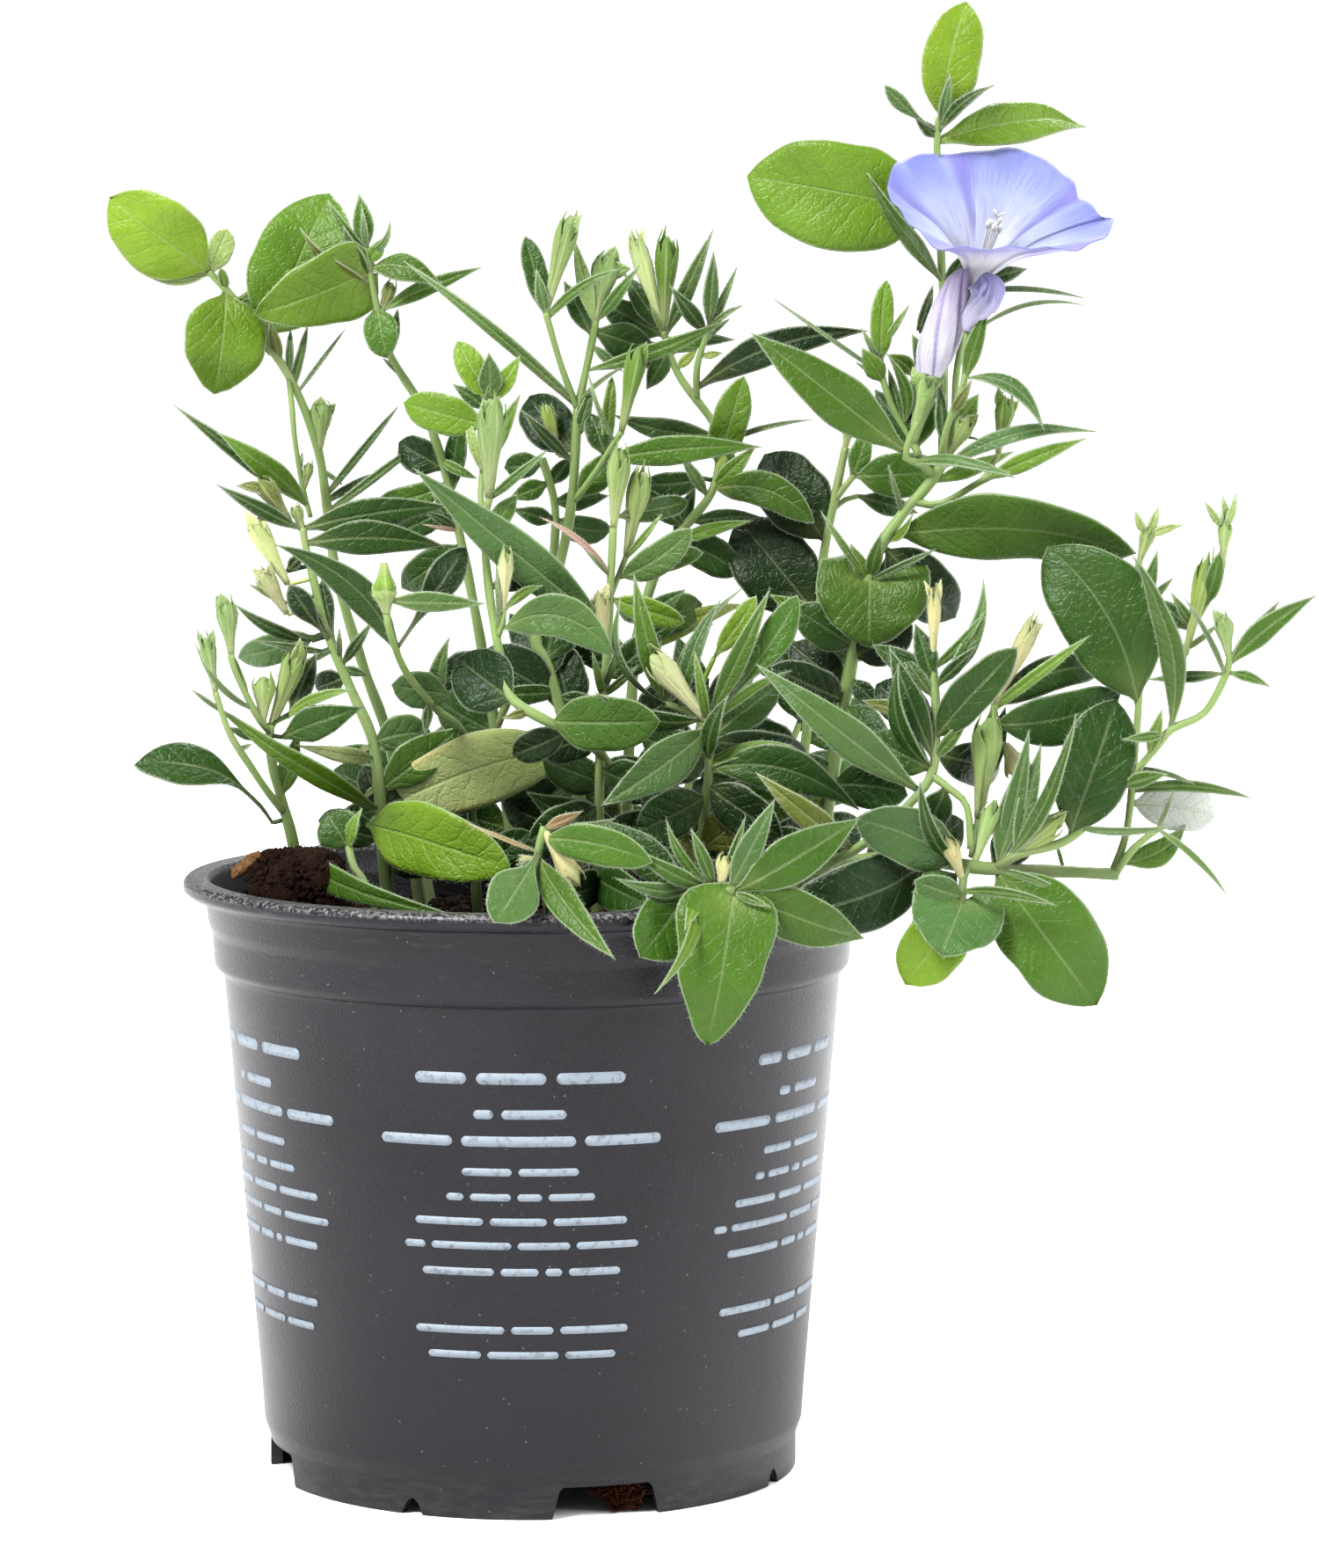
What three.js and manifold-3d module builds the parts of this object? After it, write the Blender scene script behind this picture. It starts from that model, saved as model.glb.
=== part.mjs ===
// A ground morning glory in the round nursery pot that it grows in. Millimetres, +Z up.
// The front is -Y. The finished group stands on z = 0 with the origin under the middle of its box.

import * as THREE from "three";
import { mergeVertices } from "three/addons/utils/BufferGeometryUtils.js";
import Module from "manifold-3d";

const wasm = await Module();
wasm.setup();

// Nursery pot
const RIM_RADIUS = 65;
const POT_HEIGHT = 111.5;
const WALL_SEGMENTS = 36;
const RING_RADIUS = 49.5;
const RING_INNER_RADIUS = 47.3;
const BASE_UNDERSIDE = 6.5;
const BASE_THICKNESS = 2.2;
const ARCH_HEIGHT = 5.9;
const ARCH_BOTTOM_WIDTH = 20;
const ARCH_TOP_WIDTH = 17;
const ARCH_ANGLES = [16.9, 106.9, 196.9, 286.9];
const NOTCH_HEIGHT = 3;
const NOTCH_BOTTOM_WIDTH = 4.2;
const NOTCH_TOP_WIDTH = 1.6;
const NOTCH_ANGLES = [-25, 65, 155, 245];
const DRAIN_RADIUS = 4;
const DRAIN_CENTRE_RADIUS = 41;

// Potting mix and what sits on it or under the pot
const MIX_TOP = 101;
const SEAT_GAP = 0.3;
const LUMP_CENTRE = [-42, -26.5, 110];
const LUMP_RADII = [9.2, 8, 9];
const LUMP_SQUARENESS = 0.6;
const CHIP_CENTRE = [-51.5, -26, 116];
const CHIP_SIZE = [6.5, 4, 1.6];
const TUFT_CENTRE = [17.2, -42.4, 3.3];
const TUFT_RADII = [3.6, 1.6, 2.7];

// Plant
const LEAF_THICKNESS = 0.8;
const LEAF_FOLD = 0.14;
const LEAF_BOW = 0.05;
const NARROWEST_LEAF = 2.5;
const SMALL_LEAF = 8.1;
const THINNEST_HALF_WIDTH = 0.4;
const STALK_RADIUS = 0.5;
const STEM_SIDES = 5;
const SNAP_DISTANCE = 2;

// Open flower
const FLOWER_BASE = [82.2, 221.4, 6];
const FLOWER_RIM_CENTRE = [87, 236, 12.5];
const FLOWER_FACING = [0.12, -0.43, 0.9];
const FLOWER_RADIUS = 20.6;
const PETAL_THICKNESS = 0.7;

// Half width along a leaf of each outline, as a share of its widest half width.
const OUTLINES = {
  oval: [[0, 0.14], [0.13, 0.5], [0.34, 0.95], [0.62, 0.98], [0.86, 0.66]],
  lance: [[0, 0.2], [0.15, 0.6], [0.36, 1], [0.62, 0.82]],
  line: [[0, 0.6], [0.35, 1], [0.72, 0.75]],
  spoon: [[0, 0.14], [0.3, 0.16], [0.5, 0.66], [0.7, 1], [0.88, 0.66]],
  heart: [[0, 0.12], [0.08, 0.8], [0.26, 1], [0.55, 0.82], [0.8, 0.42]],
  kidney: [[0, 0.3], [0.1, 0.9], [0.3, 1], [0.6, 0.84], [0.85, 0.5]],
  round: [[0, 0.14], [0.16, 0.62], [0.42, 1], [0.66, 0.94], [0.88, 0.56]],
};

// The same outlines in fewer steps, for leaves narrower than SMALL_LEAF.
const SMALL_OUTLINES = {
  oval: [[0, 0.16], [0.28, 0.9], [0.66, 0.9]],
  lance: [[0, 0.2], [0.36, 1], [0.7, 0.66]],
  line: [[0, 0.6], [0.5, 1]],
  spoon: [[0, 0.16], [0.36, 0.3], [0.7, 1]],
  heart: [[0, 0.16], [0.24, 1], [0.7, 0.7]],
  round: [[0, 0.16], [0.3, 0.9], [0.74, 0.9]],
};

const TONES = {
  young: 0x7fb33a,
  bright: 0x6aa338,
  mid: 0x4f8238,
  dark: 0x3a5d33,
  deep: 0x2a4630,
  grey: 0x5f7f5a,
  pale: 0x95ad7c,
  yellow: 0xa9b052,
  silver: 0xb9c4ba,
  stem: 0x8aa364,
};

// The plant is laid out on a front elevation drawn in perspective, as an eye sees it that is level
// with z = 227, 1 m in front of the pot's axis. A point is [across, up, toward the eye].
const EYE_ACROSS = 23.8;
const EYE_LEVEL = 227;
const EYE_DISTANCE = 1000;

// Each shoot: stems [radius at the foot, radius at the end, points], cups (calyces and narrow buds)
// [foot across, foot up, end across, end up, width, tone, sepal tips], and leaves [foot across,
// foot up, tip across, tip up, tip's depth toward the eye from its foot, width, turn of the upper
// side away from the eye in degrees, sideways arc, outline, tone]. The leaves under "own" are
// separate pieces, each seated on the shoot by its stalk.
const SHOOTS = [
  {
    name: "left_shoot",
    stems: [
      [1.3, 0.8, [
        [-43, 100, 10], [-44.3, 115, 12], [-46.8, 125.5, 14], [-48.3, 131, 16], [-49, 137, 18],
        [-48.6, 139.5, 19],
      ]],
      [0.8, 0.6, [
        [-46.3, 123, 13.5], [-49.5, 127, 18], [-52.5, 131.5, 21], [-56.5, 138, 24],
        [-59, 145.5, 24],
      ]],
      [0.7, 0.6, [[-48.9, 138, 18.5], [-51.5, 141.5, 21], [-55.3, 149.5, 23], [-56, 152.5, 23]]],
    ],
    cups: [
      [-50, 140, -49.8, 149, 4.6, "pale", []],
      [-48.3, 138.5, -42.8, 154.5, 4.6, "pale", [[-43, 155.5]]],
      [-56, 152.5, -57, 163, 4.2, "pale", [[-58.8, 163.6], [-58, 164]]],
      [-59.2, 145.8, -60.8, 156.5, 3, "pale", [[-62.3, 157], [-59.2, 157.2]]],
    ],
    own: {
      left_cupped_leaf: [-48.5, 121, -74.5, 131.4, 6, 10, -52, -2.6, "spoon", "dark"],
    },
    leaves: [
      [-46.5, 137, -31.8, 142.4, 4, 6.5, 0, 0.5, "lance", "dark"],
      [-46, 126, -43.5, 138, 2, 4, 0, 0, "lance", "mid"],
      [-45.5, 141, -33, 145.8, 3, 2.2, 20, 0.8, "line", "bright"],
      [-45, 141.5, -40, 153, -5, 4.5, 0, 0, "lance", "deep"],
      [-53.3, 141.5, -62.7, 154.6, 3, 1.3, 0, 1.5, "line", "grey"],
      [-52.5, 145, -56, 153, 0, 1.6, 0, 0, "line", "bright"],
      [-58.5, 141.5, -63.5, 146, 1, 1, 0, 0, "line", "dark"],
      [-51, 136.5, -57, 139, 2, 1.8, 0, 0, "lance", "mid"],
      [-54.5, 134.8, -52.3, 135.7, 0, 1, 0, 0, "line", "grey"],
      [-43.5, 116.3, -17.5, 103.8, 43, 5.2, 0, -1.2, "lance", "mid"],
    ],
  },
  {
    name: "small_left_shoot",
    stems: [
      [0.8, 0.7, [[-29, 100, 40], [-31, 109, 36], [-33.3, 112.5, 34], [-34.3, 116.5, 32]]],
    ],
    cups: [],
    own: {},
    leaves: [
      [-34.4, 116.3, -38.3, 122.8, -2, 8.4, 0, 0, "round", "dark"],
      [-34.2, 116, -32.3, 123.6, 2, 3, 40, 0, "lance", "bright"],
    ],
  },
  {
    name: "second_shoot",
    stems: [
      [1.4, 0.7, [
        [-26, 98, 4], [-27.5, 112, 6], [-28.3, 124, 8], [-29.6, 136, 7], [-33.5, 145.5, 5],
        [-37.8, 156, 3], [-41.4, 170, 1], [-42.5, 176, 0],
      ]],
    ],
    cups: [
      [-42.5, 175.5, -44, 180.5, 2.4, "pale", []],
      [-44.8, 177, -50.5, 185.5, 4, "olive", [[-54.8, 183.8]]],
      [-45.3, 165.5, -52.2, 178, 4.2, "yellow", [[-53.3, 179.3], [-50.3, 178.7]]],
      [-45.5, 160, -50.5, 168.3, 3.8, "cream", [[-52, 168.5], [-48.5, 169.5]]],
    ],
    own: {
      long_light_leaf: [-30, 123, -59.3, 141.2, 16, 4.6, 20, -1.7, "lance", "bright"],
      front_left_leaf: [-31, 120.6, -5.8, 112.6, 22, 13.4, 0, 1, "oval", "young"],
    },
    leaves: [
      [-42, 176, -15, 180, 0, 6, 0, 1, "lance", "dark"],
      [-41.5, 173.3, -16, 172.5, 0, 6.5, 0, 1.5, "lance", "dark"],
      [-43, 175.5, -58.5, 184, 2, 3, 0, 0, "lance", "dark"],
      [-45.5, 162, -52.6, 165.6, 1, 1.2, 0, 0, "line", "mid"],
      [-45.5, 168, -42, 172, 0, 2.5, 0, 0, "lance", "deep"],
      [-41, 155, -55.5, 162, 2, 3, 30, 0, "lance", "dark"],
      [-40, 156, -55.5, 151.5, -6, 6, 0, 0, "oval", "grey"],
      [-39, 153, -51.7, 155, 0, 1.6, 0, 0, "line", "dark"],
      [-38, 153, -47.8, 148.3, 2, 1.2, 0, 0, "line", "dark"],
      [-28.2, 127, -13, 139, -3, 8, 0, 0, "lance", "mid"],
      [-30, 133, -43.5, 135.3, 10, 3.2, 0, 0, "lance", "yellow"],
      [-29.5, 136, -18.5, 137.5, -1, 7, 0, 1, "oval", "grey"],
      [-35.5, 150, -30.5, 148.6, 0, 2, 0, 0, "lance", "grey"],
      [-35.5, 152, -39, 166.5, -3, 3, 0, 0, "spoon", "deep"],
      [-35, 150.5, -29.5, 158.8, 2, 2.2, 0, 0, "lance", "dark"],
      [-36, 151, -35.8, 157.5, 0, 1.2, 0, 0, "line", "dark"],
      [-38.5, 154, -45.2, 165.4, 2, 4.8, 0, 0, "spoon", "deep"],
      [-38, 154, -42.5, 164, 0, 1.5, 0, 0, "line", "mid"],
      [-29, 124, -31.2, 131.7, -3, 5, 0, 0, "oval", "deep"],
      [-29, 123.5, -36.5, 122.3, -5, 4, 0, 0, "lance", "dark"],
      [-30, 136, -33.8, 134.2, 2, 1, 0, 0.5, "line", "yellow"],
      [-30, 128, -31.8, 125.2, 1, 1.2, 0, 0, "lance", "yellow"],
      [-27.5, 112, -13, 118, 4, 8, 0, 0, "oval", "dark"],
      [-28, 118, -40, 121.5, -4, 7, 0, 0, "oval", "dark"],
      [-28.3, 124, -14, 130, -5, 9, 0, 0, "oval", "deep"],
      [-34.5, 148.5, -40.5, 146, -3, 5, 0, 0, "oval", "deep"],
    ],
  },
  {
    name: "bud_stem",
    stems: [
      [1.0, 0.65, [
        [-10, 98, 0], [-11, 118, 0], [-12.5, 136.5, 3], [-17.5, 142, 12], [-23.3, 149, 22],
        [-26.2, 156, 28], [-27, 160, 29],
      ]],
    ],
    cups: [
      [-27, 160, -27.6, 165.5, 4.8, "pale", [[-29.8, 165.5], [-25.3, 165.5]]],
      [-27.4, 169.6, -27.2, 163, 4.3, "young", []],
    ],
    own: {
      striped_lance_leaf: [-26.2, 151.8, -47.8, 172.7, 4, 6.5, 20, -4.5, "lance", "dark"],
      glossy_dark_leaf: [-25, 153.5, -12.2, 172.7, -2, 6.5, 0, 0, "spoon", "deep"],
    },
    leaves: [
      [-26.9, 162.5, -8.5, 162, 1, 3.8, 0, 0, "lance", "grey"],
      [-16.8, 142.5, -15.2, 156, 2, 3.4, 0, 1, "lance", "grey"],
      [-15.5, 145, -26.2, 146.8, 3, 7, 0, 0, "oval", "grey"],
      [-19.5, 143.5, -20, 137, 2, 2, 0, 0, "lance", "dark"],
      [-10.6, 112, -0.5, 119, 4, 7, 0, 0, "oval", "dark"],
    ],
  },
  {
    name: "tall_left_shoot",
    stems: [
      [1.2, 0.75, [
        [-20, 98, -14], [-23, 118, -14], [-27, 137.5, -14], [-31.3, 150, -16], [-36.2, 167, -18],
        [-38.2, 182, -18], [-39.3, 189.5, -18], [-41.6, 197, -17], [-45.3, 205, -16],
        [-50, 211.5, -15], [-55, 218.5, -14], [-59.6, 223.5, -13],
      ]],
      [0.55, 0.5, [
        [-44.9, 204, -16], [-44.4, 199, -14], [-43.8, 192, -13], [-42.3, 183, -13],
        [-41, 178, -13],
      ]],
    ],
    cups: [
      [-39.2, 190, -38.7, 200, 4.5, "pale", [[-39, 200.5], [-36.2, 199], [-41, 197.5]]],
      [-41.5, 183, -41, 188.5, 1.8, "pale", []],
    ],
    own: {
      top_left_leaf: [-59.3, 223.8, -77.8, 236.6, 6, 15, 10, -0.5, "oval", "young"],
      round_left_leaf: [-57.5, 219, -58.5, 201, 3, 15.5, 10, 0, "round", "bright"],
      broad_back_leaf: [-49.5, 211, -37, 238, -4, 18, 0, 0, "oval", "bright"],
    },
    leaves: [
      [-59.3, 223, -72.5, 223.4, 4, 3.5, 150, 0, "lance", "pale"],
      [-59.2, 223.2, -56, 231.5, -3, 5, 0, 0, "oval", "pale"],
      [-56.5, 219.8, -57.4, 224.2, 1, 2, 0, 0, "oval", "bright"],
      [-54.8, 218.3, -48.5, 217, -3, 5, 0, 0, "lance", "pale"],
      [-51, 213, -48.5, 208, 2, 1.2, 0, 0, "line", "grey"],
      [-46, 206.5, -48.5, 215, 1, 2.5, 0, 0, "lance", "olive"],
      [-44.7, 204, -44.5, 213, -1, 1.6, 0, 0, "line", "dark"],
      [-43.9, 202.3, -41.3, 213.5, -2, 1.7, 0, 0, "line", "dark"],
      [-43.3, 201, -34.3, 213, -3, 0.9, 0, 0, "line", "dark"],
      [-41.6, 180.5, -66.3, 198.8, 5, 3, 0, 0, "lance", "dark"],
      [-41.5, 180, -58.3, 192.8, 8, 5, 20, -1.5, "lance", "bright"],
      [-38.2, 182, -24.5, 198.8, -3, 1.6, 0, 0, "line", "dark"],
      [-38, 181, -30, 186, -2, 1.6, 0, 0, "line", "dark"],
      [-37.5, 179, -19.8, 192.5, -4, 1.8, 0, 0, "line", "grey"],
      [-38.5, 187, -35, 184, 0, 1, 0, 0, "line", "mid"],
      [-41.2, 187, -42.5, 190.2, 0, 0.8, 0, 0, "line", "mid"],
      [-22, 112, -8, 119, -4, 8, 0, 0, "oval", "deep"],
      [-24, 124, -11, 133, -4, 9, 0, 0, "oval", "deep"],
      [-24.3, 125, -37, 131, -4, 8, 0, 0, "oval", "dark"],
    ],
  },
  {
    name: "upper_left_shoot",
    stems: [
      [1.2, 0.7, [
        [-3, 98, -20], [-4, 118, -20], [-9, 152, -20], [-14, 178, -19], [-16.3, 187.5, -18],
        [-18, 193, -16], [-20.2, 198.5, -15], [-26.3, 208.5, -13], [-28.8, 218, -11],
        [-30.5, 228, -10],
      ]],
      [0.9, 0.8, [[-7, 138, -20], [2, 160, -18], [4.5, 178, -17], [2, 189, -16]]],
    ],
    cups: [
      [-28, 215, -25.5, 222, 2.6, "olive", []],
    ],
    own: {
      heart_gloss_leaf: [-29.6, 223.5, -51, 215.4, 6, 14.5, 15, 0, "heart", "bright"],
    },
    leaves: [
      [-30.5, 227.5, -31.7, 237.8, 0, 4, 0, 0, "lance", "mid"],
      [-30.4, 227, -31.2, 235.5, 2, 1.5, 0, 0, "lance", "grey"],
      [-30, 222, -35, 231.8, 2, 3, 20, 0, "lance", "dark"],
      [-30, 221, -43, 230.8, 4, 3.5, 40, 0, "lance", "olive"],
      [-30.5, 227, -37.7, 236.5, 0, 2, 30, 0, "line", "mid"],
      [-30.2, 227, -26, 232.7, 2, 1.5, 0, -1.5, "line", "grey"],
      [-29.8, 225, -27, 229.8, 1, 3, 0, 0, "lance", "bright"],
      [-29.5, 224, -16.3, 220.9, 4, 5.5, 20, 1.5, "lance", "mid"],
      [-28.4, 216, -9, 224.3, -2, 3.2, 0, 0.5, "lance", "mid"],
      [-28.2, 215, -29.8, 223, 0, 1.2, 0, 0, "line", "grey"],
      [-28.5, 217, -26.8, 207.6, 3, 6.5, 0, 0, "oval", "mid"],
      [-26, 208, -24.6, 217, -2, 2.2, 0, 0, "lance", "mid"],
      [-23.7, 204, -27.5, 207.5, 0, 1, 0, 0, "line", "mid"],
      [-16.3, 188.5, -10.4, 185.3, 3, 2.2, 0, 0, "line", "mid"],
      [-14, 177, -18.7, 183.2, 1, 2.4, 0, 0, "lance", "mid"],
      [-14, 176, -20.3, 179.5, 2, 2, 0, 0, "lance", "dark"],
      [-14, 175.5, -20.2, 176.7, 2, 0.9, 0, 0, "line", "pink"],
      [-13.6, 174.5, -12.2, 180.5, 0, 1.6, 0, 0, "lance", "young"],
      [-16.3, 187, -24.5, 192, -3, 7, 0, 0, "oval", "deep"],
      [-14.8, 182, -12, 199, -1, 5, 30, 0, "lance", "dark"],
      [-13.5, 173, -24.5, 164.5, -4, 6.6, 0, 0, "oval", "dark"],
      [-4, 116, 9, 122, -2, 9, 0, 0, "oval", "deep"],
      [-4, 120, -17, 124, -4, 9, 0, 0, "oval", "dark"],
      [-5, 127, 8, 134, -4, 9, 0, 0, "oval", "deep"],
      [-6.5, 138, -18, 144, -6, 9, 0, 0, "oval", "dark"],
      [-8, 146, 3, 152, -3, 8, 0, 0, "oval", "dark"],
      [3, 188.5, -5, 187.2, -2, 5, 0, 0, "oval", "dark"],
      [-17.5, 184, -28.5, 181, -3, 5, 0, 1, "oval", "mid"],
      [-15, 180, -27, 174, -4, 5.5, 0, 0, "oval", "dark"],
      [4.2, 181, 14.5, 182, -1, 4, 0, 0, "lance", "dark"],
      [4.4, 177.5, 15, 175.8, -1, 5.4, 0, -0.8, "oval", "grey"],
      [4.4, 177.5, -3.5, 179.5, 2, 3.6, 0, 0, "lance", "dark"],
      [3.4, 184.5, -4, 181.5, 1, 4, 0, 0, "lance", "mid"],
      [3.6, 184, 8, 189.5, -2, 3.4, 0, 0, "lance", "dark"],
    ],
  },
  {
    name: "front_bright_shoot",
    stems: [
      [1.25, 0.75, [
        [15, 98, 4], [16, 120, 6], [14, 132, 14], [9, 137, 24], [3.5, 139.7, 28], [-3.3, 143.8, 27],
        [-5.2, 149, 25], [-7.6, 162, 21], [-8.8, 176, 17], [-7.8, 181.5, 16],
      ]],
      [0.6, 0.5, [[-6.4, 155.5, 23], [-5.3, 158.5, 24], [-5.2, 161, 24]]],
      [0.6, 0.6, [[-8.6, 172, 17], [-9.4, 182, 8], [-8.5, 191, 6], [-7.5, 200, 6]]],
    ],
    cups: [
      [-7.8, 181.5, -7.2, 201, 5.6, "pale", [[-9, 200], [-6, 200.5]]],
      [-5.3, 160.5, -4.6, 172.3, 2.9, "cream", []],
    ],
    own: {
      arched_front_leaf: [-5, 156.5, 15.5, 152.5, 6, 8, 0, 5, "oval", "grey"],
      glossy_front_leaf: [3.2, 139.8, 23.8, 140, 6, 10.5, 0, 0, "oval", "mid"],
    },
    leaves: [
      [-5.8, 157, -6.6, 169.3, 1, 0.9, 0, 0, "line", "mid"],
      [-4.8, 160.5, 2.5, 165.4, -3, 2, 0, 1, "lance", "bright"],
      [-3.3, 143.5, -13.5, 151.5, -8, 12, 0, 0, "round", "deep"],
      [-0.3, 141.8, -5.5, 140.5, 2, 2, 0, 0, "lance", "olive"],
      [-8, 195, -23.7, 199.2, -4, 7.5, 0, 0, "oval", "bright"],
      [-7.6, 199.5, -13.7, 210.7, -2, 5.5, 0, 0, "oval", "young"],
      [-7.8, 198, -14.6, 202.7, 0, 3, 0, 0, "lance", "dark"],
      [-7.5, 199.5, -7.8, 208.6, 2, 4.5, 0, 0, "lance", "grey"],
      [-7.5, 199, -2, 208, -2, 3.6, 0, 0, "lance", "young"],
      [-8.8, 187, -2, 200.8, -2, 3.2, 0, 0, "lance", "bright"],
      [-9, 186, -12.5, 198, -2, 2.2, 0, 0, "lance", "pale"],
      [7, 138.2, -4, 133.5, -4, 6, 0, 0, "oval", "deep"],
      [15, 128, 2, 133, -4, 7.5, 0, 0, "oval", "dark"],
      [16, 121, -1, 126.5, 4, 7, 10, 1, "lance", "dark"],
      [15.8, 112, 3, 107, 10, 7, 0, 0, "oval", "deep"],
      [16, 118, 27, 112.5, 10, 7, 0, 0, "oval", "deep"],
      [-8.2, 165, 1.5, 167.5, -3, 4, 0, 0, "oval", "deep"],
      [-8.6, 174, -2.5, 182.5, -6, 4, 0, 0, "lance", "mid"],
      [-6.8, 181.5, 3, 190.5, 1, 1.8, 0, 0, "line", "mid"],
    ],
  },
  {
    name: "centre_shoot",
    stems: [
      [1.4, 0.85, [
        [9, 98, -2], [9, 118, -2], [8, 132, -2], [3.2, 149.5, -3], [0.8, 156, -4],
        [5.3, 169.5, -6], [7.6, 182, -6], [8.6, 198.5, -6],
      ]],
      [0.65, 0.6, [[8.6, 198, -6], [5.6, 206, -4], [2.7, 216, -2]]],
      [0.8, 0.7, [[8.6, 198, -6], [11, 209, -7], [12, 214.5, -7]]],
      [0.65, 0.6, [[7.8, 181, -6], [11, 185, -4], [16.8, 194, 0]]],
    ],
    cups: [
      [2.7, 216, 8, 235.2, 4.4, "pale", [[9.3, 234]]],
      [12, 215, 14.5, 227.5, 5.5, "pale", [[15.7, 228.3], [18.5, 224]]],
      [16.8, 194, 20.3, 210.8, 4.2, "bright", [[21.5, 210.5]]],
      [5, 189.5, 2.5, 199.6, 2.8, "lime", []],
    ],
    own: {
      yellowing_leaf: [8.5, 135, -28.8, 122.5, 12, 13.8, 0, -2.4, "oval", "yellow"],
    },
    leaves: [
      [8, 199, -23.5, 225.3, 3, 2.4, 0, -0.8, "line", "grey"],
      [2.9, 215.5, -1, 230, -3, 4.5, 0, 0, "oval", "dark"],
      [2.7, 215, 1, 224, 1, 2.6, 0, 0, "lance", "grey"],
      [11.8, 213.5, 7.9, 229.8, 1, 3, 0, 0, "lance", "pale"],
      [11.5, 211.5, 6, 222, -2, 4, 0, 0, "lance", "dark"],
      [3, 215, 16.5, 224, 4, 2, 0, 1.2, "line", "mid"],
      [12, 214, 20, 224.5, 2, 2.5, 0, 0, "lance", "mid"],
      [12, 212.5, 24, 208.5, -4, 7, 0, 0, "lance", "dark"],
      [11.2, 210, 17, 205, 0, 2, 0, 0, "lance", "grey"],
      [15.5, 192, 10.6, 205, 1, 1, 0, 0.6, "line", "mid"],
      [9, 199.5, 17.8, 206.3, 2, 0.9, 0, 0.6, "line", "mid"],
      [13.5, 189.5, 15, 204.3, -2, 2.6, 0, 0, "oval", "bright"],
      [8.2, 192, 11.5, 203, 0, 2.6, 0, 0, "lance", "grey"],
      [8, 190, -1, 201, -8, 9.5, 0, 0, "oval", "deep"],
      [7.9, 188, -2, 198, 2, 2.5, 0, 0, "lance", "dark"],
      [14.5, 188, 42.5, 190.9, 3, 5.5, 0, 1, "lance", "mid"],
      [11.3, 205, 36.8, 214.7, 3, 3.2, 0, -0.8, "lance", "mid"],
      [4.5, 145.5, -8, 144.9, 2, 3.6, 0, 0, "line", "dark"],
      [5, 144.5, 13, 143.8, 2, 3, 0, 0, "lance", "dark"],
      [2, 152, -4, 160, -8, 6, 0, 0, "lance", "deep"],
      [4, 148, 3, 160, -6, 7, 0, 0, "oval", "deep"],
      [8, 132, -9, 128, -4, 8, 0, 1, "oval", "deep"],
      [8.6, 126, 22, 132, -3, 8, 0, 0, "oval", "dark"],
      [4.5, 145, -9.5, 153, -2, 11, 0, 0, "round", "deep"],
      [2.8, 151, 5, 163, -6, 10, 0, 0, "oval", "dark"],
      [9, 119, -6, 125, -6, 8, 10, 0, "oval", "deep"],
      [9, 119, 24, 116, -2, 8, 20, 0, "oval", "mid"],
      [8.3, 181.5, 16.8, 191, -2, 5.8, 0, 0, "lance", "mid"],
      [8, 140, 4, 155, -6, 9, 0, 0, "oval", "deep"],
      [14.5, 189, 11, 197.5, -3, 4.5, 0, 0, "oval", "dark"],
    ],
  },
  {
    name: "spent_flower_shoot",
    stems: [
      [1.3, 0.7, [
        [17, 98, -8], [17.5, 118, -8], [19, 150, -9], [21.5, 163, -10], [25.5, 172.5, -10],
        [33.3, 182.3, -9], [35.2, 191.5, -9], [33.5, 196, -10], [27.3, 204.5, -12],
        [24.5, 212.5, -12],
      ]],
      [0.65, 0.6, [[30.8, 199.5, -11], [30.8, 206, -9], [33, 213.2, -8]]],
    ],
    cups: [
      [24.4, 212.5, 19, 230.3, 3.8, "yellow", [[18, 230.3], [21, 231.8]]],
      [24.6, 212.5, 25.3, 231.2, 4.6, "bright", []],
      [34.2, 184, 37, 191.3, 3.4, "lime", []],
    ],
    own: {},
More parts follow.
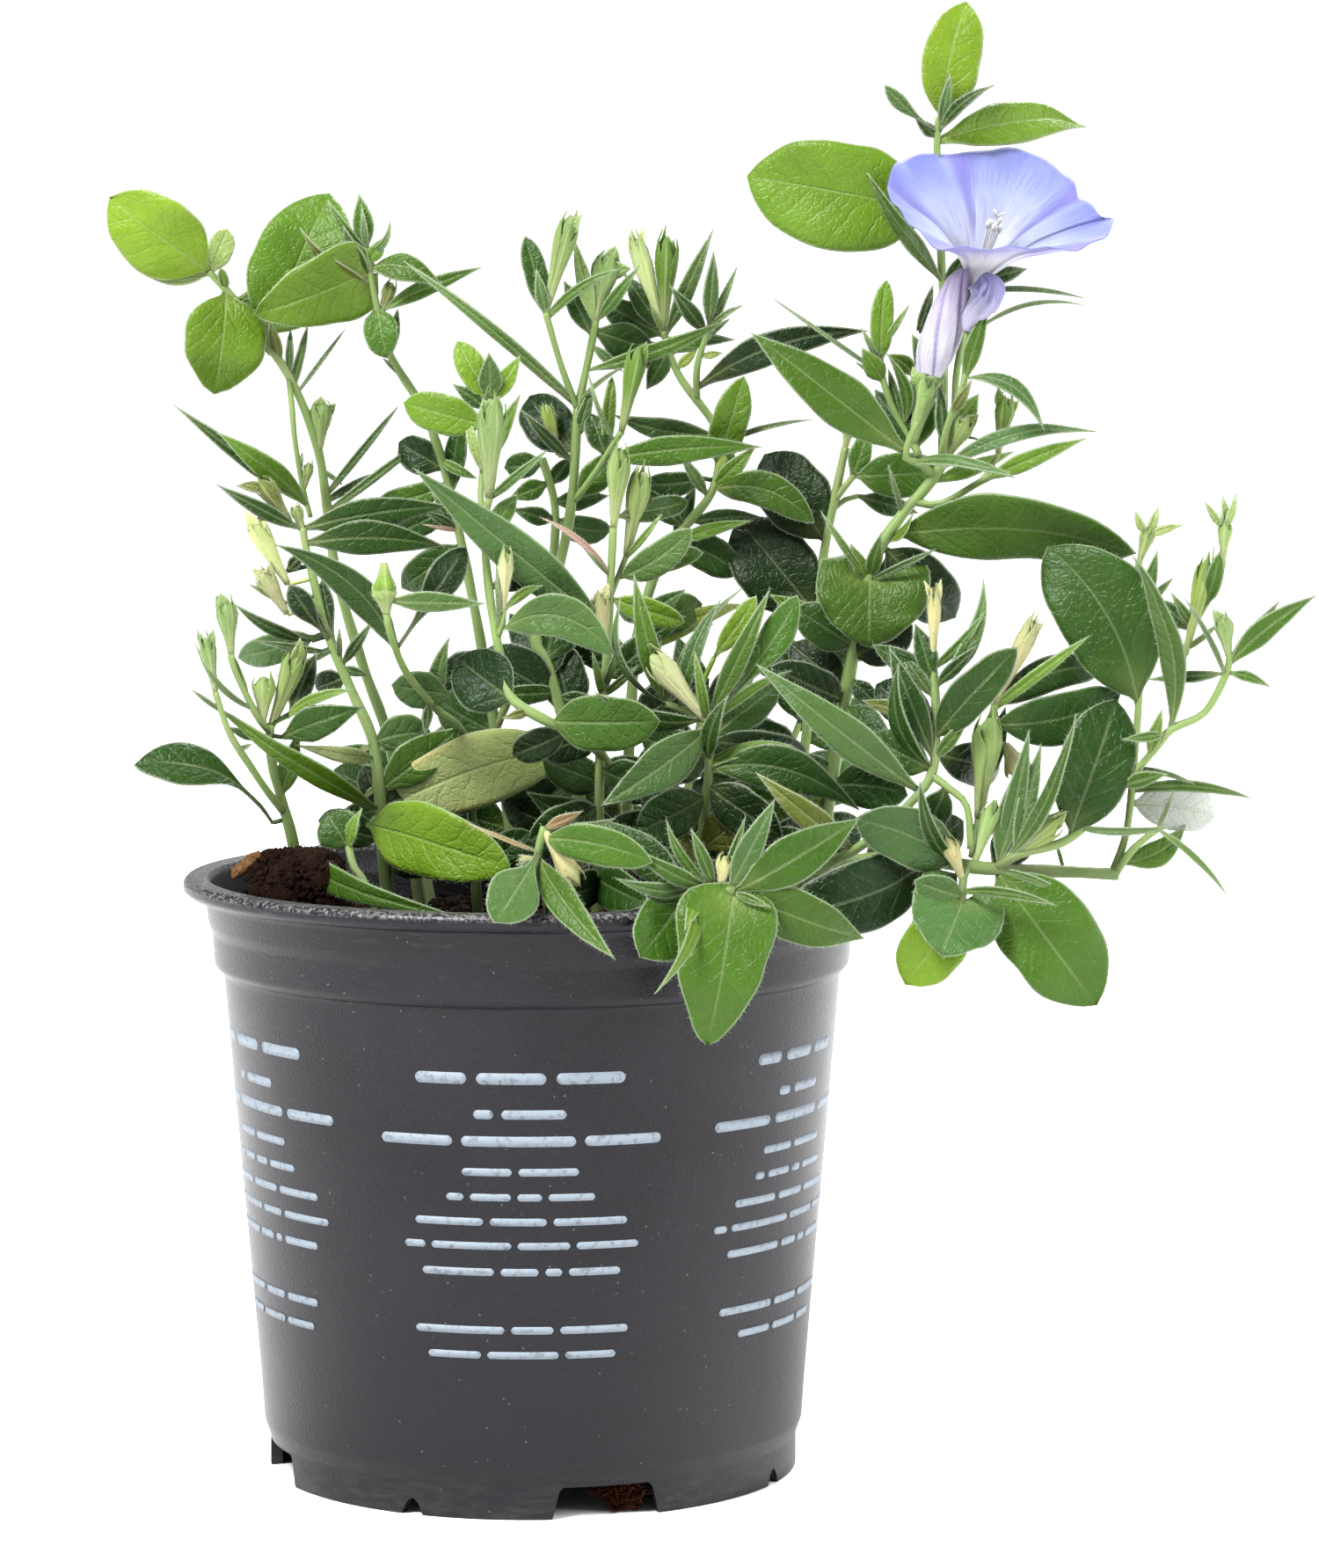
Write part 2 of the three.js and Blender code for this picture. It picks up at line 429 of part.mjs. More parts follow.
    leaves: [
      [24.8, 211, 22, 217.5, 1, 1.2, 0, 0, "line", "bright"],
      [25, 211.5, 33.7, 231.2, 3, 3.2, 0, 0, "lance", "grey"],
      [33, 213, 33.8, 227.3, 0, 3, 0, 0, "lance", "grey"],
      [32, 210, 38.2, 224.5, 0, 1.7, 0, 0, "line", "grey"],
      [32.5, 212, 25.8, 220.8, 2, 3.2, 0, 0, "lance", "dark"],
      [33, 213, 39.3, 217.3, 1, 1.2, 0, 0.5, "line", "mid"],
      [24.6, 211, 37.8, 210.9, -4, 2.6, 0, 0, "lance", "dark"],
      [25, 208, 36.8, 214.7, 3, 3.2, 0, 0, "lance", "mid"],
      [24.8, 210, 18.5, 222.7, -4, 3, 0, 0, "lance", "dark"],
      [30.8, 202, 62.5, 212.5, 5, 6.2, 0, 3, "lance", "deep"],
      [27, 205.5, 31, 209.5, 2, 2, 0, 0, "lance", "lime"],
      [31, 208, 35.5, 208.5, 0, 1.5, 0, 0, "lance", "lime"],
      [35.2, 187, 39.4, 203.8, 5, 6.9, 0, 0, "oval", "bright"],
      [35.2, 191.5, 52, 196, 2, 1.1, 0, 1, "line", "dark"],
      [34, 183.5, 41.5, 191, 2, 3.5, 0, 0, "lance", "bright"],
      [32.5, 182, 27.5, 190, 1, 2.4, 0, 0, "lance", "grey"],
      [28, 176.5, 20, 184, 2, 4, 0, 0, "lance", "dark"],
      [26, 174, 30.5, 184, -4, 3.2, 0, 0, "lance", "dark"],
      [25.5, 173, 41.2, 177.4, 4, 2.8, 20, 0.5, "lance", "bright"],
      [33.8, 183, 52.5, 177, 5, 6.8, 0, 3.2, "oval", "mid"],
      [26.5, 173.5, 38.6, 167.5, -2, 7.2, 0, 1, "oval", "dark"],
      [20.8, 160, 28.5, 164.5, 2, 3.5, 0, 0, "lance", "grey"],
      [20, 155, 28.5, 159.5, 2, 3.5, 0, 0, "lance", "dark"],
      [20.6, 158, 15.5, 163, -3, 3.5, 0, 0, "lance", "grey"],
      [20, 155, 34, 158, -6, 3.5, 0, 2, "lance", "lime"],
      [19.6, 152, 41, 162, -8, 4, 0, 2, "lance", "lime"],
      [18.5, 140, 33, 148, -4, 9, 0, 0, "oval", "deep"],
      [18, 130, 34, 135, -6, 10, 0, 0, "oval", "dark"],
      [17.6, 122, 3, 129, -6, 8, 0, 0, "oval", "dark"],
      [19, 150, 7, 157, -5, 8, 0, 0, "oval", "dark"],
      [20.5, 158, 32, 162, -3, 7.5, 0, 0, "oval", "mid"],
      [17.5, 113, 32, 119, -2, 8, 10, 0, "oval", "mid"],
      [31.8, 185.3, 20.8, 184.3, -2, 4.8, 0, 0.5, "oval", "dark"],
      [24.3, 211.5, 13.5, 217.5, -3, 6, 0, 0, "oval", "dark"],
      [24.4, 212, 17, 223.5, -3, 4.5, 0, 0, "lance", "dark"],
      [24.5, 209.5, 16.2, 206.5, -3, 5, 0, 0, "oval", "dark"],
      [34, 193, 15.3, 197, -2, 4.6, 0, 1, "lance", "grey"],
      [28.5, 177.8, 43, 178, -2, 3.5, 0, 0.5, "lance", "dark"],
      [24.8, 209, 21.3, 201.5, -2, 4, 0, 0, "lance", "dark"],
    ],
  },
  {
    name: "centre_front_shoot",
    stems: [
      [1.1, 0.7, [[12, 98, 14], [12.8, 135, 16], [14, 153, 16], [14.8, 168, 15], [15.2, 176, 14]]],
      [0.55, 0.5, [[14.8, 163.5, 15], [16.3, 167.5, 13], [17.7, 171, 12]]],
    ],
    cups: [
      [15.2, 176, 16.6, 191.5, 4.6, "pale", []],
      [17.7, 171, 20.8, 187.5, 4.6, "pale", [[21.2, 186.5]]],
      [13.9, 152, 12.6, 165, 3.4, "cream", [[11.8, 164], [14.4, 166]]],
    ],
    own: {
      pale_lance_leaf: [14.4, 157.5, -22, 187.3, 10, 8.2, 0, 0, "lance", "grey"],
    },
    leaves: [
      [13.2, 144, 11.3, 153, 3, 1.6, 0, 0, "line", "bright"],
      [13.3, 145, 20, 150.5, 2, 1.6, 0, 0, "line", "mid"],
      [13.3, 146, 16.5, 155, 3, 1.5, 0, 0, "line", "mid"],
      [14.8, 167, 1.5, 178, 2, 1.3, 0, -1.5, "line", "pink"],
      [14.8, 167, 9.5, 172.6, 2, 0.9, 0, 0, "line", "mid"],
      [17.5, 170.5, 24.3, 178.7, 1, 1.4, 0, 0, "line", "bright"],
      [12.6, 131, 26, 127, 4, 8, -10, 0, "oval", "dark"],
      [12.5, 124, -1, 118, 6, 8, 10, 0, "oval", "dark"],
      [12.8, 138, 1, 134, 3, 7, 0, 0, "oval", "deep"],
      [12.4, 116, 27, 121, 5, 9, 0, 1, "oval", "deep"],
      [13.5, 148, 24, 156, -2, 6.5, 0, 0, "oval", "dark"],
      [12.2, 111, 22, 105.5, 20, 8, 0, 0, "oval", "dark"],
      [12.2, 110, 1.5, 106, 22, 7, 0, 0, "oval", "deep"],
      [15.4, 178, 30, 181, -9, 4.4, 0, 0, "oval", "dark"],
      [16.5, 166.5, 30, 176, 3, 6, 0, -1, "oval", "grey"],
      [17.5, 167, 32, 171.5, 1, 5, 0, 0.5, "oval", "mid"],
      [14.5, 163, 28.5, 158.5, -2, 5, 0, 0, "oval", "bright"],
    ],
  },
  {
    name: "right_front_shoot",
    stems: [
      [0.95, 0.8, [[30, 98, 25], [31, 112, 26], [33, 131, 29], [33, 140.5, 29]]],
      [0.75, 0.7, [[33, 140, 29], [28.5, 142, 26], [24.5, 143.3, 24]]],
    ],
    cups: [
      [32.5, 140.8, 21.5, 153.3, 5.2, "cream", []],
    ],
    own: {},
    leaves: [
      [24.6, 143.3, 19, 167.4, 2, 4.2, 0, 0.3, "lance", "mid"],
      [24.8, 143.2, 15.2, 162, 6, 3, 60, 2.2, "line", "grey"],
      [32.6, 140.3, 30.3, 153.2, 4, 2, 0, 0, "line", "bright"],
      [27.5, 142.3, 35, 163, -3, 3.6, 20, 0.5, "lance", "grey"],
      [25, 143, 39, 165, -6, 1.9, 30, 1.5, "line", "grey"],
      [33, 140.5, 44.4, 164.6, 2, 3.9, 0, 0, "lance", "mid"],
      [33.2, 140, 49.5, 163.5, -3, 6.2, 10, -1.5, "spoon", "mid"],
      [33, 139, 49, 149.6, -4, 2, 0, 1.5, "lance", "bright"],
      [33, 137, 46, 147, -7, 7, 0, 0, "oval", "dark"],
      [33, 132.2, 36.7, 145, 4, 4, 30, 0.5, "lance", "dark"],
      [33, 131.8, 49, 135.3, 2, 3, 40, 1, "line", "bright"],
      [33, 131, 61, 123.3, 4, 8.5, 0, 4, "lance", "dark"],
      [32.7, 138.8, 12.6, 124, 9, 8.2, 0, 0.5, "lance", "grey"],
      [32, 140.4, 11.8, 145, 6, 4.2, 20, 1.5, "lance", "dark"],
      [33, 136.5, 52, 134, -6, 6, 0, 0, "oval", "deep"],
      [31.8, 122, 19.5, 127, -3, 5, 0, 0, "oval", "dark"],
      [31, 113, 26, 128, -5, 8, 0, 0, "oval", "olive"],
      [32, 126, 19, 119, 6, 9, 10, 0, "oval", "dark"],
      [32.5, 128, 47, 118.5, 5, 9, -10, 0, "oval", "deep"],
      [31, 116, 43, 125, 2, 8.5, 0, 0, "oval", "olive"],
      [33, 134, 20, 137, -4, 7, 0, 0, "oval", "dark"],
      [31, 112, 43.5, 107.5, 9, 8, 0, 0, "oval", "deep"],
      [34, 152, 42, 163.5, -2, 4, 0, 0, "oval", "young"],
    ],
  },
  {
    name: "front_rosette",
    stems: [
      [1.2, 1.0, [
        [24, 98, 24], [26, 103, 38], [28, 107.5, 50], [30.5, 109, 56], [34, 108.6, 59],
        [38, 108, 61],
      ]],
    ],
    cups: [
      [35.3, 108.8, 36.2, 115.2, 3.2, "cream", []],
    ],
    own: {
      hanging_front_leaf: [37.6, 108.1, 32.8, 79, 6, 17.6, 0, 0.3, "heart", "mid"],
      left_front_leaf: [29.5, 108.4, 20.3, 95.8, 14, 11.5, 0, 0, "oval", "mid"],
      long_right_leaf: [38, 108.2, 61.2, 121.8, -6, 8.5, 0, 0, "lance", "mid"],
    },
    leaves: [
      [30.5, 108.8, 23.1, 88.8, 22, 3, 30, 0.8, "lance", "bright"],
      [31.5, 108.8, 28.6, 100.8, 12, 3, 0, 0, "lance", "bright"],
      [37.5, 108.1, 44.8, 105, 4, 1.8, 0, 0, "lance", "mid"],
      [34.3, 108.8, 29.6, 120, 1, 2.6, 0, 0, "lance", "mid"],
      [36.8, 108.3, 45.4, 125.4, 0, 4.6, 0, 0, "lance", "grey"],
      [37.8, 108, 63, 98.5, -8, 9.5, 0, 0, "lance", "mid"],
      [35.5, 108.5, 40, 122.4, -2, 2, 0, 0, "lance", "mid"],
      [34, 108.7, 25, 121.9, -2, 2.2, 0, 1.5, "lance", "mid"],
      [33.3, 108.8, 18.3, 116.3, 2, 3.3, 0, 0.5, "lance", "mid"],
      [30.5, 109, 15.4, 110.6, 6, 3, 0, 1.2, "lance", "grey"],
      [29, 108.5, 13, 121.7, -8, 7, 0, 0, "lance", "dark"],
    ],
  },
  {
    name: "centre_low_shoot",
    stems: [
      [0.95, 0.7, [[4, 98, 44], [2.5, 108, 52], [1, 114, 56], [2.3, 120.2, 57]]],
    ],
    cups: [
      [2.6, 119.6, 9, 108.2, 4.2, "cream", []],
      [0.9, 114.5, -2.8, 113.6, 2, "cream", []],
    ],
    own: {
      rim_hanging_leaf: [1.2, 114.5, 15.9, 94.9, 18, 5.6, 0, -0.8, "lance", "mid"],
    },
    leaves: [
      [2.2, 120, 9.5, 123.2, 1, 2.4, 0, 0, "lance", "tan"],
      [2, 119.5, 16, 121.8, -3, 2.4, 0, -0.8, "lance", "mid"],
      [1, 115.5, -12.6, 121, -2, 0.9, 0, 0, "line", "tan"],
      [1.6, 118, 22.6, 113.6, 5, 7, 0, 1.4, "oval", "mid"],
      [1, 115.5, -6.5, 103, 15, 9.6, 0, 0, "spoon", "grey"],
      [1, 114, -3.6, 107, 8, 4.2, 0, 0, "round", "grey"],
    ],
  },
  {
    name: "centre_right_shoot",
    stems: [
      [1.2, 0.8, [[46, 98, -6], [51.5, 140, -7], [53.3, 160, -8], [54.5, 172, -8], [58.3, 191, -8]]],
      [0.65, 0.6, [[56.3, 181, -8], [58.3, 183.8, -7], [59.9, 185.8, -7]]],
      [0.6, 0.5, [[56, 179.5, -8], [58.3, 181.3, -9], [60.6, 182, -10]]],
    ],
    cups: [
      [58.3, 190.5, 59.3, 196.3, 2.6, "pale", []],
    ],
    own: {
      slate_leaf: [54.4, 173.5, 43, 190, -6, 13, 0, 0, "oval", "deep"],
      big_dark_leaf: [53, 160, 38.5, 177.5, -7, 15, 0, 0, "oval", "deep"],
    },
    leaves: [
      [59.8, 185.7, 76.5, 186.5, -2, 8.5, 0, 0, "oval", "mid"],
      [60.6, 182, 72, 178.8, -4, 4.2, 0, 0, "lance", "dark"],
      [59.5, 185.2, 62.8, 195, -2, 4.3, 0, 0, "lance", "mid"],
      [53.3, 159, 44.5, 163.5, 3, 4, 0, 0, "lance", "bright"],
      [50.5, 132, 37, 139, -4, 10, 0, 0, "oval", "deep"],
      [51, 136, 65, 142, -6, 9, 0, 0, "oval", "dark"],
      [52.3, 148, 41, 155, -4, 9, 0, 0, "oval", "dark"],
      [52.6, 152, 65, 159, -6, 9, 0, 0, "oval", "deep"],
      [49, 120, 35, 127, -3, 9, 0, 0, "oval", "dark"],
      [48.5, 115, 62, 121, -3, 9, 0, 0, "oval", "deep"],
      [50, 126, 63, 131, -6, 8, 0, 0, "oval", "mid"],
    ],
  },
  {
    name: "tall_right_shoot",
    stems: [
      [1.6, 1.0, [
        [50, 98, 2], [54, 118, 4], [58.5, 145, 6], [63, 168, 9], [68.7, 178.3, 9], [72, 182, 9],
        [74.8, 185.5, 9], [76.3, 188, 8],
      ]],
      [0.75, 0.7, [
        [74.8, 185.5, 9], [72.5, 187.8, 10], [69.5, 189, 11], [69.6, 191, 11.5], [71.8, 196, 12],
      ]],
      [0.8, 0.55, [
        [72, 188.2, 10], [71.5, 190.5, 7], [69, 194.8, 6], [66.8, 199, 6], [65, 204.5, 6],
        [64.8, 210, 6],
      ]],
      [0.85, 0.7, [[76.3, 188, 8], [76.3, 193, 3], [76.5, 212, -2], [75, 246, -4], [75.8, 252, -4]]],
      [0.65, 0.6, [[76.3, 187.5, 8], [78.3, 197, 8], [79, 206, 8], [82, 222, 6]]],
      [0.65, 0.6, [
        [76, 187.5, 8], [76.6, 192.5, 11], [78, 197.5, 13], [80.2, 203, 14], [80.6, 212, 14],
      ]],
      [0.75, 0.6, [[71, 181, 9], [76, 180.5, 10], [83.5, 184.7, 12], [88, 186.8, 12]]],
      [0.55, 0.5, [[83.5, 184.7, 12], [85.5, 187.5, 10], [86.8, 190.3, 9]]],
    ],
    cups: [
      [71.5, 192, 73.8, 205, 4.8, "pale", [[70.6, 206], [74.8, 204.5], [77, 205]]],
      [86.8, 190, 88.4, 201, 3.8, "bright", [[86.4, 202], [90.4, 199.5]]],
      [77, 188.3, 81.3, 197, 4.2, "pale", [[79.2, 196.7], [82.9, 197.1]]],
    ],
    own: {
      upright_top_leaf: [75.7, 251, 80.2, 273, -2, 10.8, 0, 0.8, "oval", "young"],
      right_top_leaf: [75.6, 247.4, 104, 251.4, -16, 8.8, 20, 1, "lance", "bright"],
      big_oval_right_leaf: [75.4, 234.6, 40, 241, -4, 20, 0, 0, "oval", "bright"],
      long_green_leaf: [69.6, 190.2, 40.6, 212.3, 0, 9.5, 0, 0, "lance", "mid"],
      big_right_leaf: [66, 175, 112.6, 172, 9, 13.8, -25, 4.2, "oval", "mid"],
      heart_leaf: [62.2, 167, 62.8, 154.2, 5, 21, 0, 0, "kidney", "mid"],
    },
    leaves: [
      [75.6, 249, 85.6, 257.7, 4, 2.6, 20, 0.8, "lance", "dark"],
      [75.4, 249, 65.3, 257.8, 1, 3, 30, 0, "spoon", "grey"],
      [75.5, 250, 77.4, 260, 2, 2.2, 0, 0, "lance", "grey"],
      [75.2, 248, 71, 251.5, 0, 2.5, 0, 0, "lance", "dark"],
      [75.9, 221.5, 61.5, 240.8, 5, 5, 50, -1.2, "lance", "grey"],
      [76, 220, 81.5, 227.6, -3, 3, 0, 0, "lance", "dark"],
      [71.8, 212.5, 74.4, 221, 0, 2, 0, 0, "line", "deep"],
      [69, 194.8, 65.5, 208, 4, 2.8, 30, -2.5, "lance", "mid"],
      [64.9, 206.5, 65.8, 222, 1, 4.3, 0, 0.5, "oval", "bright"],
      [64.8, 209.5, 70, 217.3, 2, 1.4, 0, 0, "line", "bright"],
      [64.8, 206, 61.2, 213, 1, 1.4, 0, 0, "line", "grey"],
      [65, 204.5, 44.5, 218.7, 3, 0.9, 0, 0, "line", "grey"],
      [65.4, 203, 60, 206.9, -1, 0.9, 0, 0, "line", "dark"],
      [69, 194.8, 66.2, 205.6, -3, 1.9, 0, 0, "line", "dark"],
      [70.5, 192.5, 69.8, 200.6, -3, 2.4, 0, 0, "lance", "deep"],
      [80.2, 203, 84.8, 217.3, 1, 3.4, 0, 0.3, "lance", "mid"],
      [83, 213, 102.5, 217.2, 1, 0.9, 0, 2.4, "line", "grey"],
      [80.2, 203.8, 95.2, 194, 6, 3.6, 30, 2.5, "lance", "grey"],
      [78, 197, 81.7, 203.6, 3, 2.2, 0, 0, "lance", "olive"],
      [82.3, 221.5, 92, 224, -2, 3.4, 0, 0, "lance", "dark"],
      [82, 219.5, 102.6, 218.5, 3, 1.1, 0, 1.2, "line", "grey"],
      [71, 187.9, 89.8, 185, 8, 2.8, 40, 0.3, "line", "grey"],
      [75.6, 186.3, 105, 194.4, 3, 3.2, 20, 1.8, "lance", "grey"],
      [74, 184.3, 89.8, 190.3, -5, 3, 0, 0, "lance", "bright"],
      [84, 184.9, 102.9, 192.8, 5, 3.4, 10, 0, "lance", "bright"],
      [76.3, 190.4, 84.9, 191.4, 2, 0.6, 0, 2, "line", "dark"],
      [69, 178.5, 66.2, 188, 3, 1.1, 0, 0, "line", "dark"],
      [62.3, 166, 53.7, 179.2, 2, 1.6, 0, 0, "line", "mid"],
      [62.3, 166, 59.3, 173.2, 2, 3, 0, 0, "lance", "bright"],
      [62.5, 166.5, 65, 175.3, 4, 3, 0, 0, "lance", "mid"],
      [62.3, 166, 75.5, 172.3, 3, 1.6, 0, 0, "line", "dark"],
      [66, 173.5, 71, 178.8, 4, 2.6, 60, -1.5, "lance", "bright"],
      [65.5, 172.5, 79.5, 158.8, -5, 11, 0, 0, "oval", "deep"],
      [58.8, 146, 48, 154.5, -4, 8, 0, 0, "oval", "deep"],
      [59.3, 148, 66, 142, 2, 4, 0, 0, "lance", "deep"],
      [58, 143, 66, 132, 8, 8.5, 0, 0, "oval", "dark"],
      [58.3, 144, 45, 150, 6, 8, 0, 0, "oval", "deep"],
      [56.5, 132, 43, 130, 4, 8, 0, 1, "oval", "dark"],
      [56, 128, 70, 126, 4, 9, 0, 1, "oval", "dark"],
      [54.5, 121, 41, 114, 6, 9, 10, 0, "oval", "deep"],
      [60, 152, 71, 158, 4, 8, 0, 0, "oval", "deep"],
      [60.5, 154, 49, 161, 3, 8, 0, 0, "oval", "dark"],
      [61.5, 160, 71, 168, -4, 7.5, 0, 0, "oval", "dark"],
      [71.5, 190.5, 63.5, 202, -6, 6, 0, 0, "lance", "dark"],
      [76.2, 191, 83, 201, -5, 5, 0, 0, "lance", "bright"],
      [76.4, 200, 70.5, 212, -3, 4.5, 0, 0, "lance", "mid"],
      [71, 204, 65.8, 208.2, 2, 3, 0, -0.8, "lance", "bright"],
      [65.4, 203, 61.2, 209.5, 2, 4, 0, 0, "lance", "bright"],
      [76.4, 191, 75.8, 203, -2, 2.6, 0, 0, "lance", "dark"],
      [71.8, 191, 74.4, 202, -6, 4.6, 0, 0, "lance", "mid"],
    ],
  },
  {
    name: "right_low_shoot",
    stems: [
      [1.1, 0.8, [
        [44, 98, 26], [50.5, 110, 34], [56, 113.5, 37.5], [62, 117, 40], [70, 124, 39],
        [74.8, 130.8, 38], [75.3, 142, 36], [74.7, 151, 34],
      ]],
      [0.75, 0.7, [[74.4, 130, 38], [78, 127.3, 40], [81.2, 124, 41], [82, 116, 42]]],
    ],
    cups: [
      [74.7, 150.5, 74.9, 165, 2.4, "cream", [[73, 166.3], [76.3, 166.6]]],
    ],
    own: {
      silver_long_leaf: [72.2, 127, 42, 150.3, 4, 7, 0, 0, "lance", "grey"],
    },
    leaves: [
      [74.8, 131.2, 68.3, 150.9, 3, 4.6, 40, 1.8, "lance", "dark"],
      [75, 132.6, 81.6, 141, 2, 2.6, 0, 0, "lance", "mid"],
      [75, 136.5, 90.3, 153.4, 4, 7.6, 0, 0.8, "oval", "dark"],
      [74.9, 150, 84.5, 160.6, 1, 1.9, 0, -0.5, "line", "mid"],
      [75.2, 146.5, 83, 154.3, 2, 2.6, 0, 0, "lance", "dark"],
      [75.2, 146, 84, 166.8, -4, 3.2, 0, -2.5, "lance", "grey"],
      [75.3, 141, 61.2, 143.9, -2, 3.6, 0, 0, "lance", "olive"],
      [75.2, 144, 68.5, 153.2, -3, 2.6, 0, 0, "lance", "grey"],
      [60, 116, 42, 130, 3, 5, 0, 0, "lance", "olive"],
      [74.8, 131, 63, 137, -4, 7.5, 0, 0, "oval", "dark"],
      [75.3, 139, 64, 147, -6, 8, 0, 0, "oval", "deep"],
      [75, 134, 88, 131, -18, 8, 0, 0, "oval", "deep"],
      [75, 133, 66.5, 154, -4, 5, 0, 0, "lance", "dark"],
      [74.8, 148, 63, 154.5, -6, 4.5, 0, 0, "lance", "dark"],
      [77, 127.5, 74, 120, -7, 6, 0, 0, "oval", "dark"],
      [75, 147, 71.3, 158.5, -4, 4.2, 0, 0, "lance", "dark"],
    ],
  },
  {
    name: "right_upright_shoot",
    stems: [
      [0.8, 0.7, [[82.3, 114.5, 38], [83.3, 121, 35], [84.6, 130, 32], [86.3, 143.3, 31]]],
    ],
    cups: [
      [82.2, 122, 85.5, 142, 6, "pale", []],
      [88.3, 135.8, 91.6, 129.6, 5.4, "cream", []],
      [86.2, 143, 93.9, 159.5, 3.6, "cream", [[93, 160], [95.2, 158.3]]],
    ],
    own: {},
    leaves: [
      [86.3, 142.5, 104, 156, 2, 2.3, 0, 0.3, "line", "bright"],
      [86, 139.5, 109.8, 145, -2, 9.5, 0, -1.5, "oval", "dark"],
      [86.3, 142.4, 107, 149.5, -6, 6.5, 0, 3, "oval", "dark"],
      [84, 128, 88.5, 143, -3, 4, 0, 0, "lance", "dark"],
    ],
  },
  {
    name: "runner_shoot",
    stems: [
      [1.5, 1.1, [
        [38, 98, 16], [46, 105, 22], [54, 112, 29], [62, 114, 34], [70, 114.3, 38],
        [78, 113.3, 41], [86, 112.3, 42], [99, 111.8, 38], [109.5, 111.3, 36],
      ]],
      [0.9, 0.8, [[81.5, 112.9, 42], [80.6, 110.5, 44], [80.4, 105.3, 46]]],
      [0.9, 0.7, [
        [86.5, 112.3, 42], [91, 115, 43], [99.5, 117.5, 42], [106, 123, 40], [116, 134.5, 41],
        [119.3, 138.5, 42], [125.5, 141.7, 43], [129.6, 149.5, 44], [129.9, 153, 44],
      ]],
      [0.75, 0.6, [
        [108.5, 111.5, 36], [111, 119, 35.5], [112.3, 131, 33], [113.2, 145, 30], [113.8, 160, 30],
        [112.5, 165, 29], [113, 170, 29],
      ]],
      [0.6, 0.55, [
        [119, 138, 42], [120.3, 145, 37], [122.5, 156, 35], [127.3, 165, 35], [128.6, 170, 35],
      ]],
      [0.8, 0.7, [[109, 111.5, 36], [112.3, 116, 37.5], [116.8, 119.8, 37.5]]],
    ],
    cups: [
      [129.8, 152, 128.5, 160, 3.5, "pale", [[126.7, 161], [130.2, 158.5]]],
      [113, 169.5, 115, 176.5, 2.8, "pale", [[112, 179.3], [116.5, 180], [121, 176.7]]],
      [128.6, 169.5, 129, 178, 2.6, "pale", [[125, 181.2], [128.5, 182.2], [131, 182.5]]],
      [121.5, 152.5, 125.8, 171.5, 3.4, "lime", []],
      [80.6, 110, 77.4, 118.6, 3.4, "cream", []],
      [82.4, 112.5, 86.9, 126.2, 3.6, "pale", []],
      [87.5, 112.8, 98.8, 122.2, 5, "pale", [[99.8, 123.3], [98.3, 119.8]]],
    ],
    own: {
      big_lower_right_leaf: [86.5, 112.3, 105.7, 86.5, 5, 17, 0, 0, "oval", "mid"],
      grey_heart_leaf: [79.5, 106.5, 76.5, 96, 8, 17, 0, 0, "kidney", "grey"],
      deep_right_leaf: [100.5, 118.3, 109, 144.2, -4, 13.5, 0, 0, "oval", "dark"],
      right_broad_leaf: [112.5, 143, 96, 172.5, -6, 18, 0, -3, "oval", "dark"],
    },
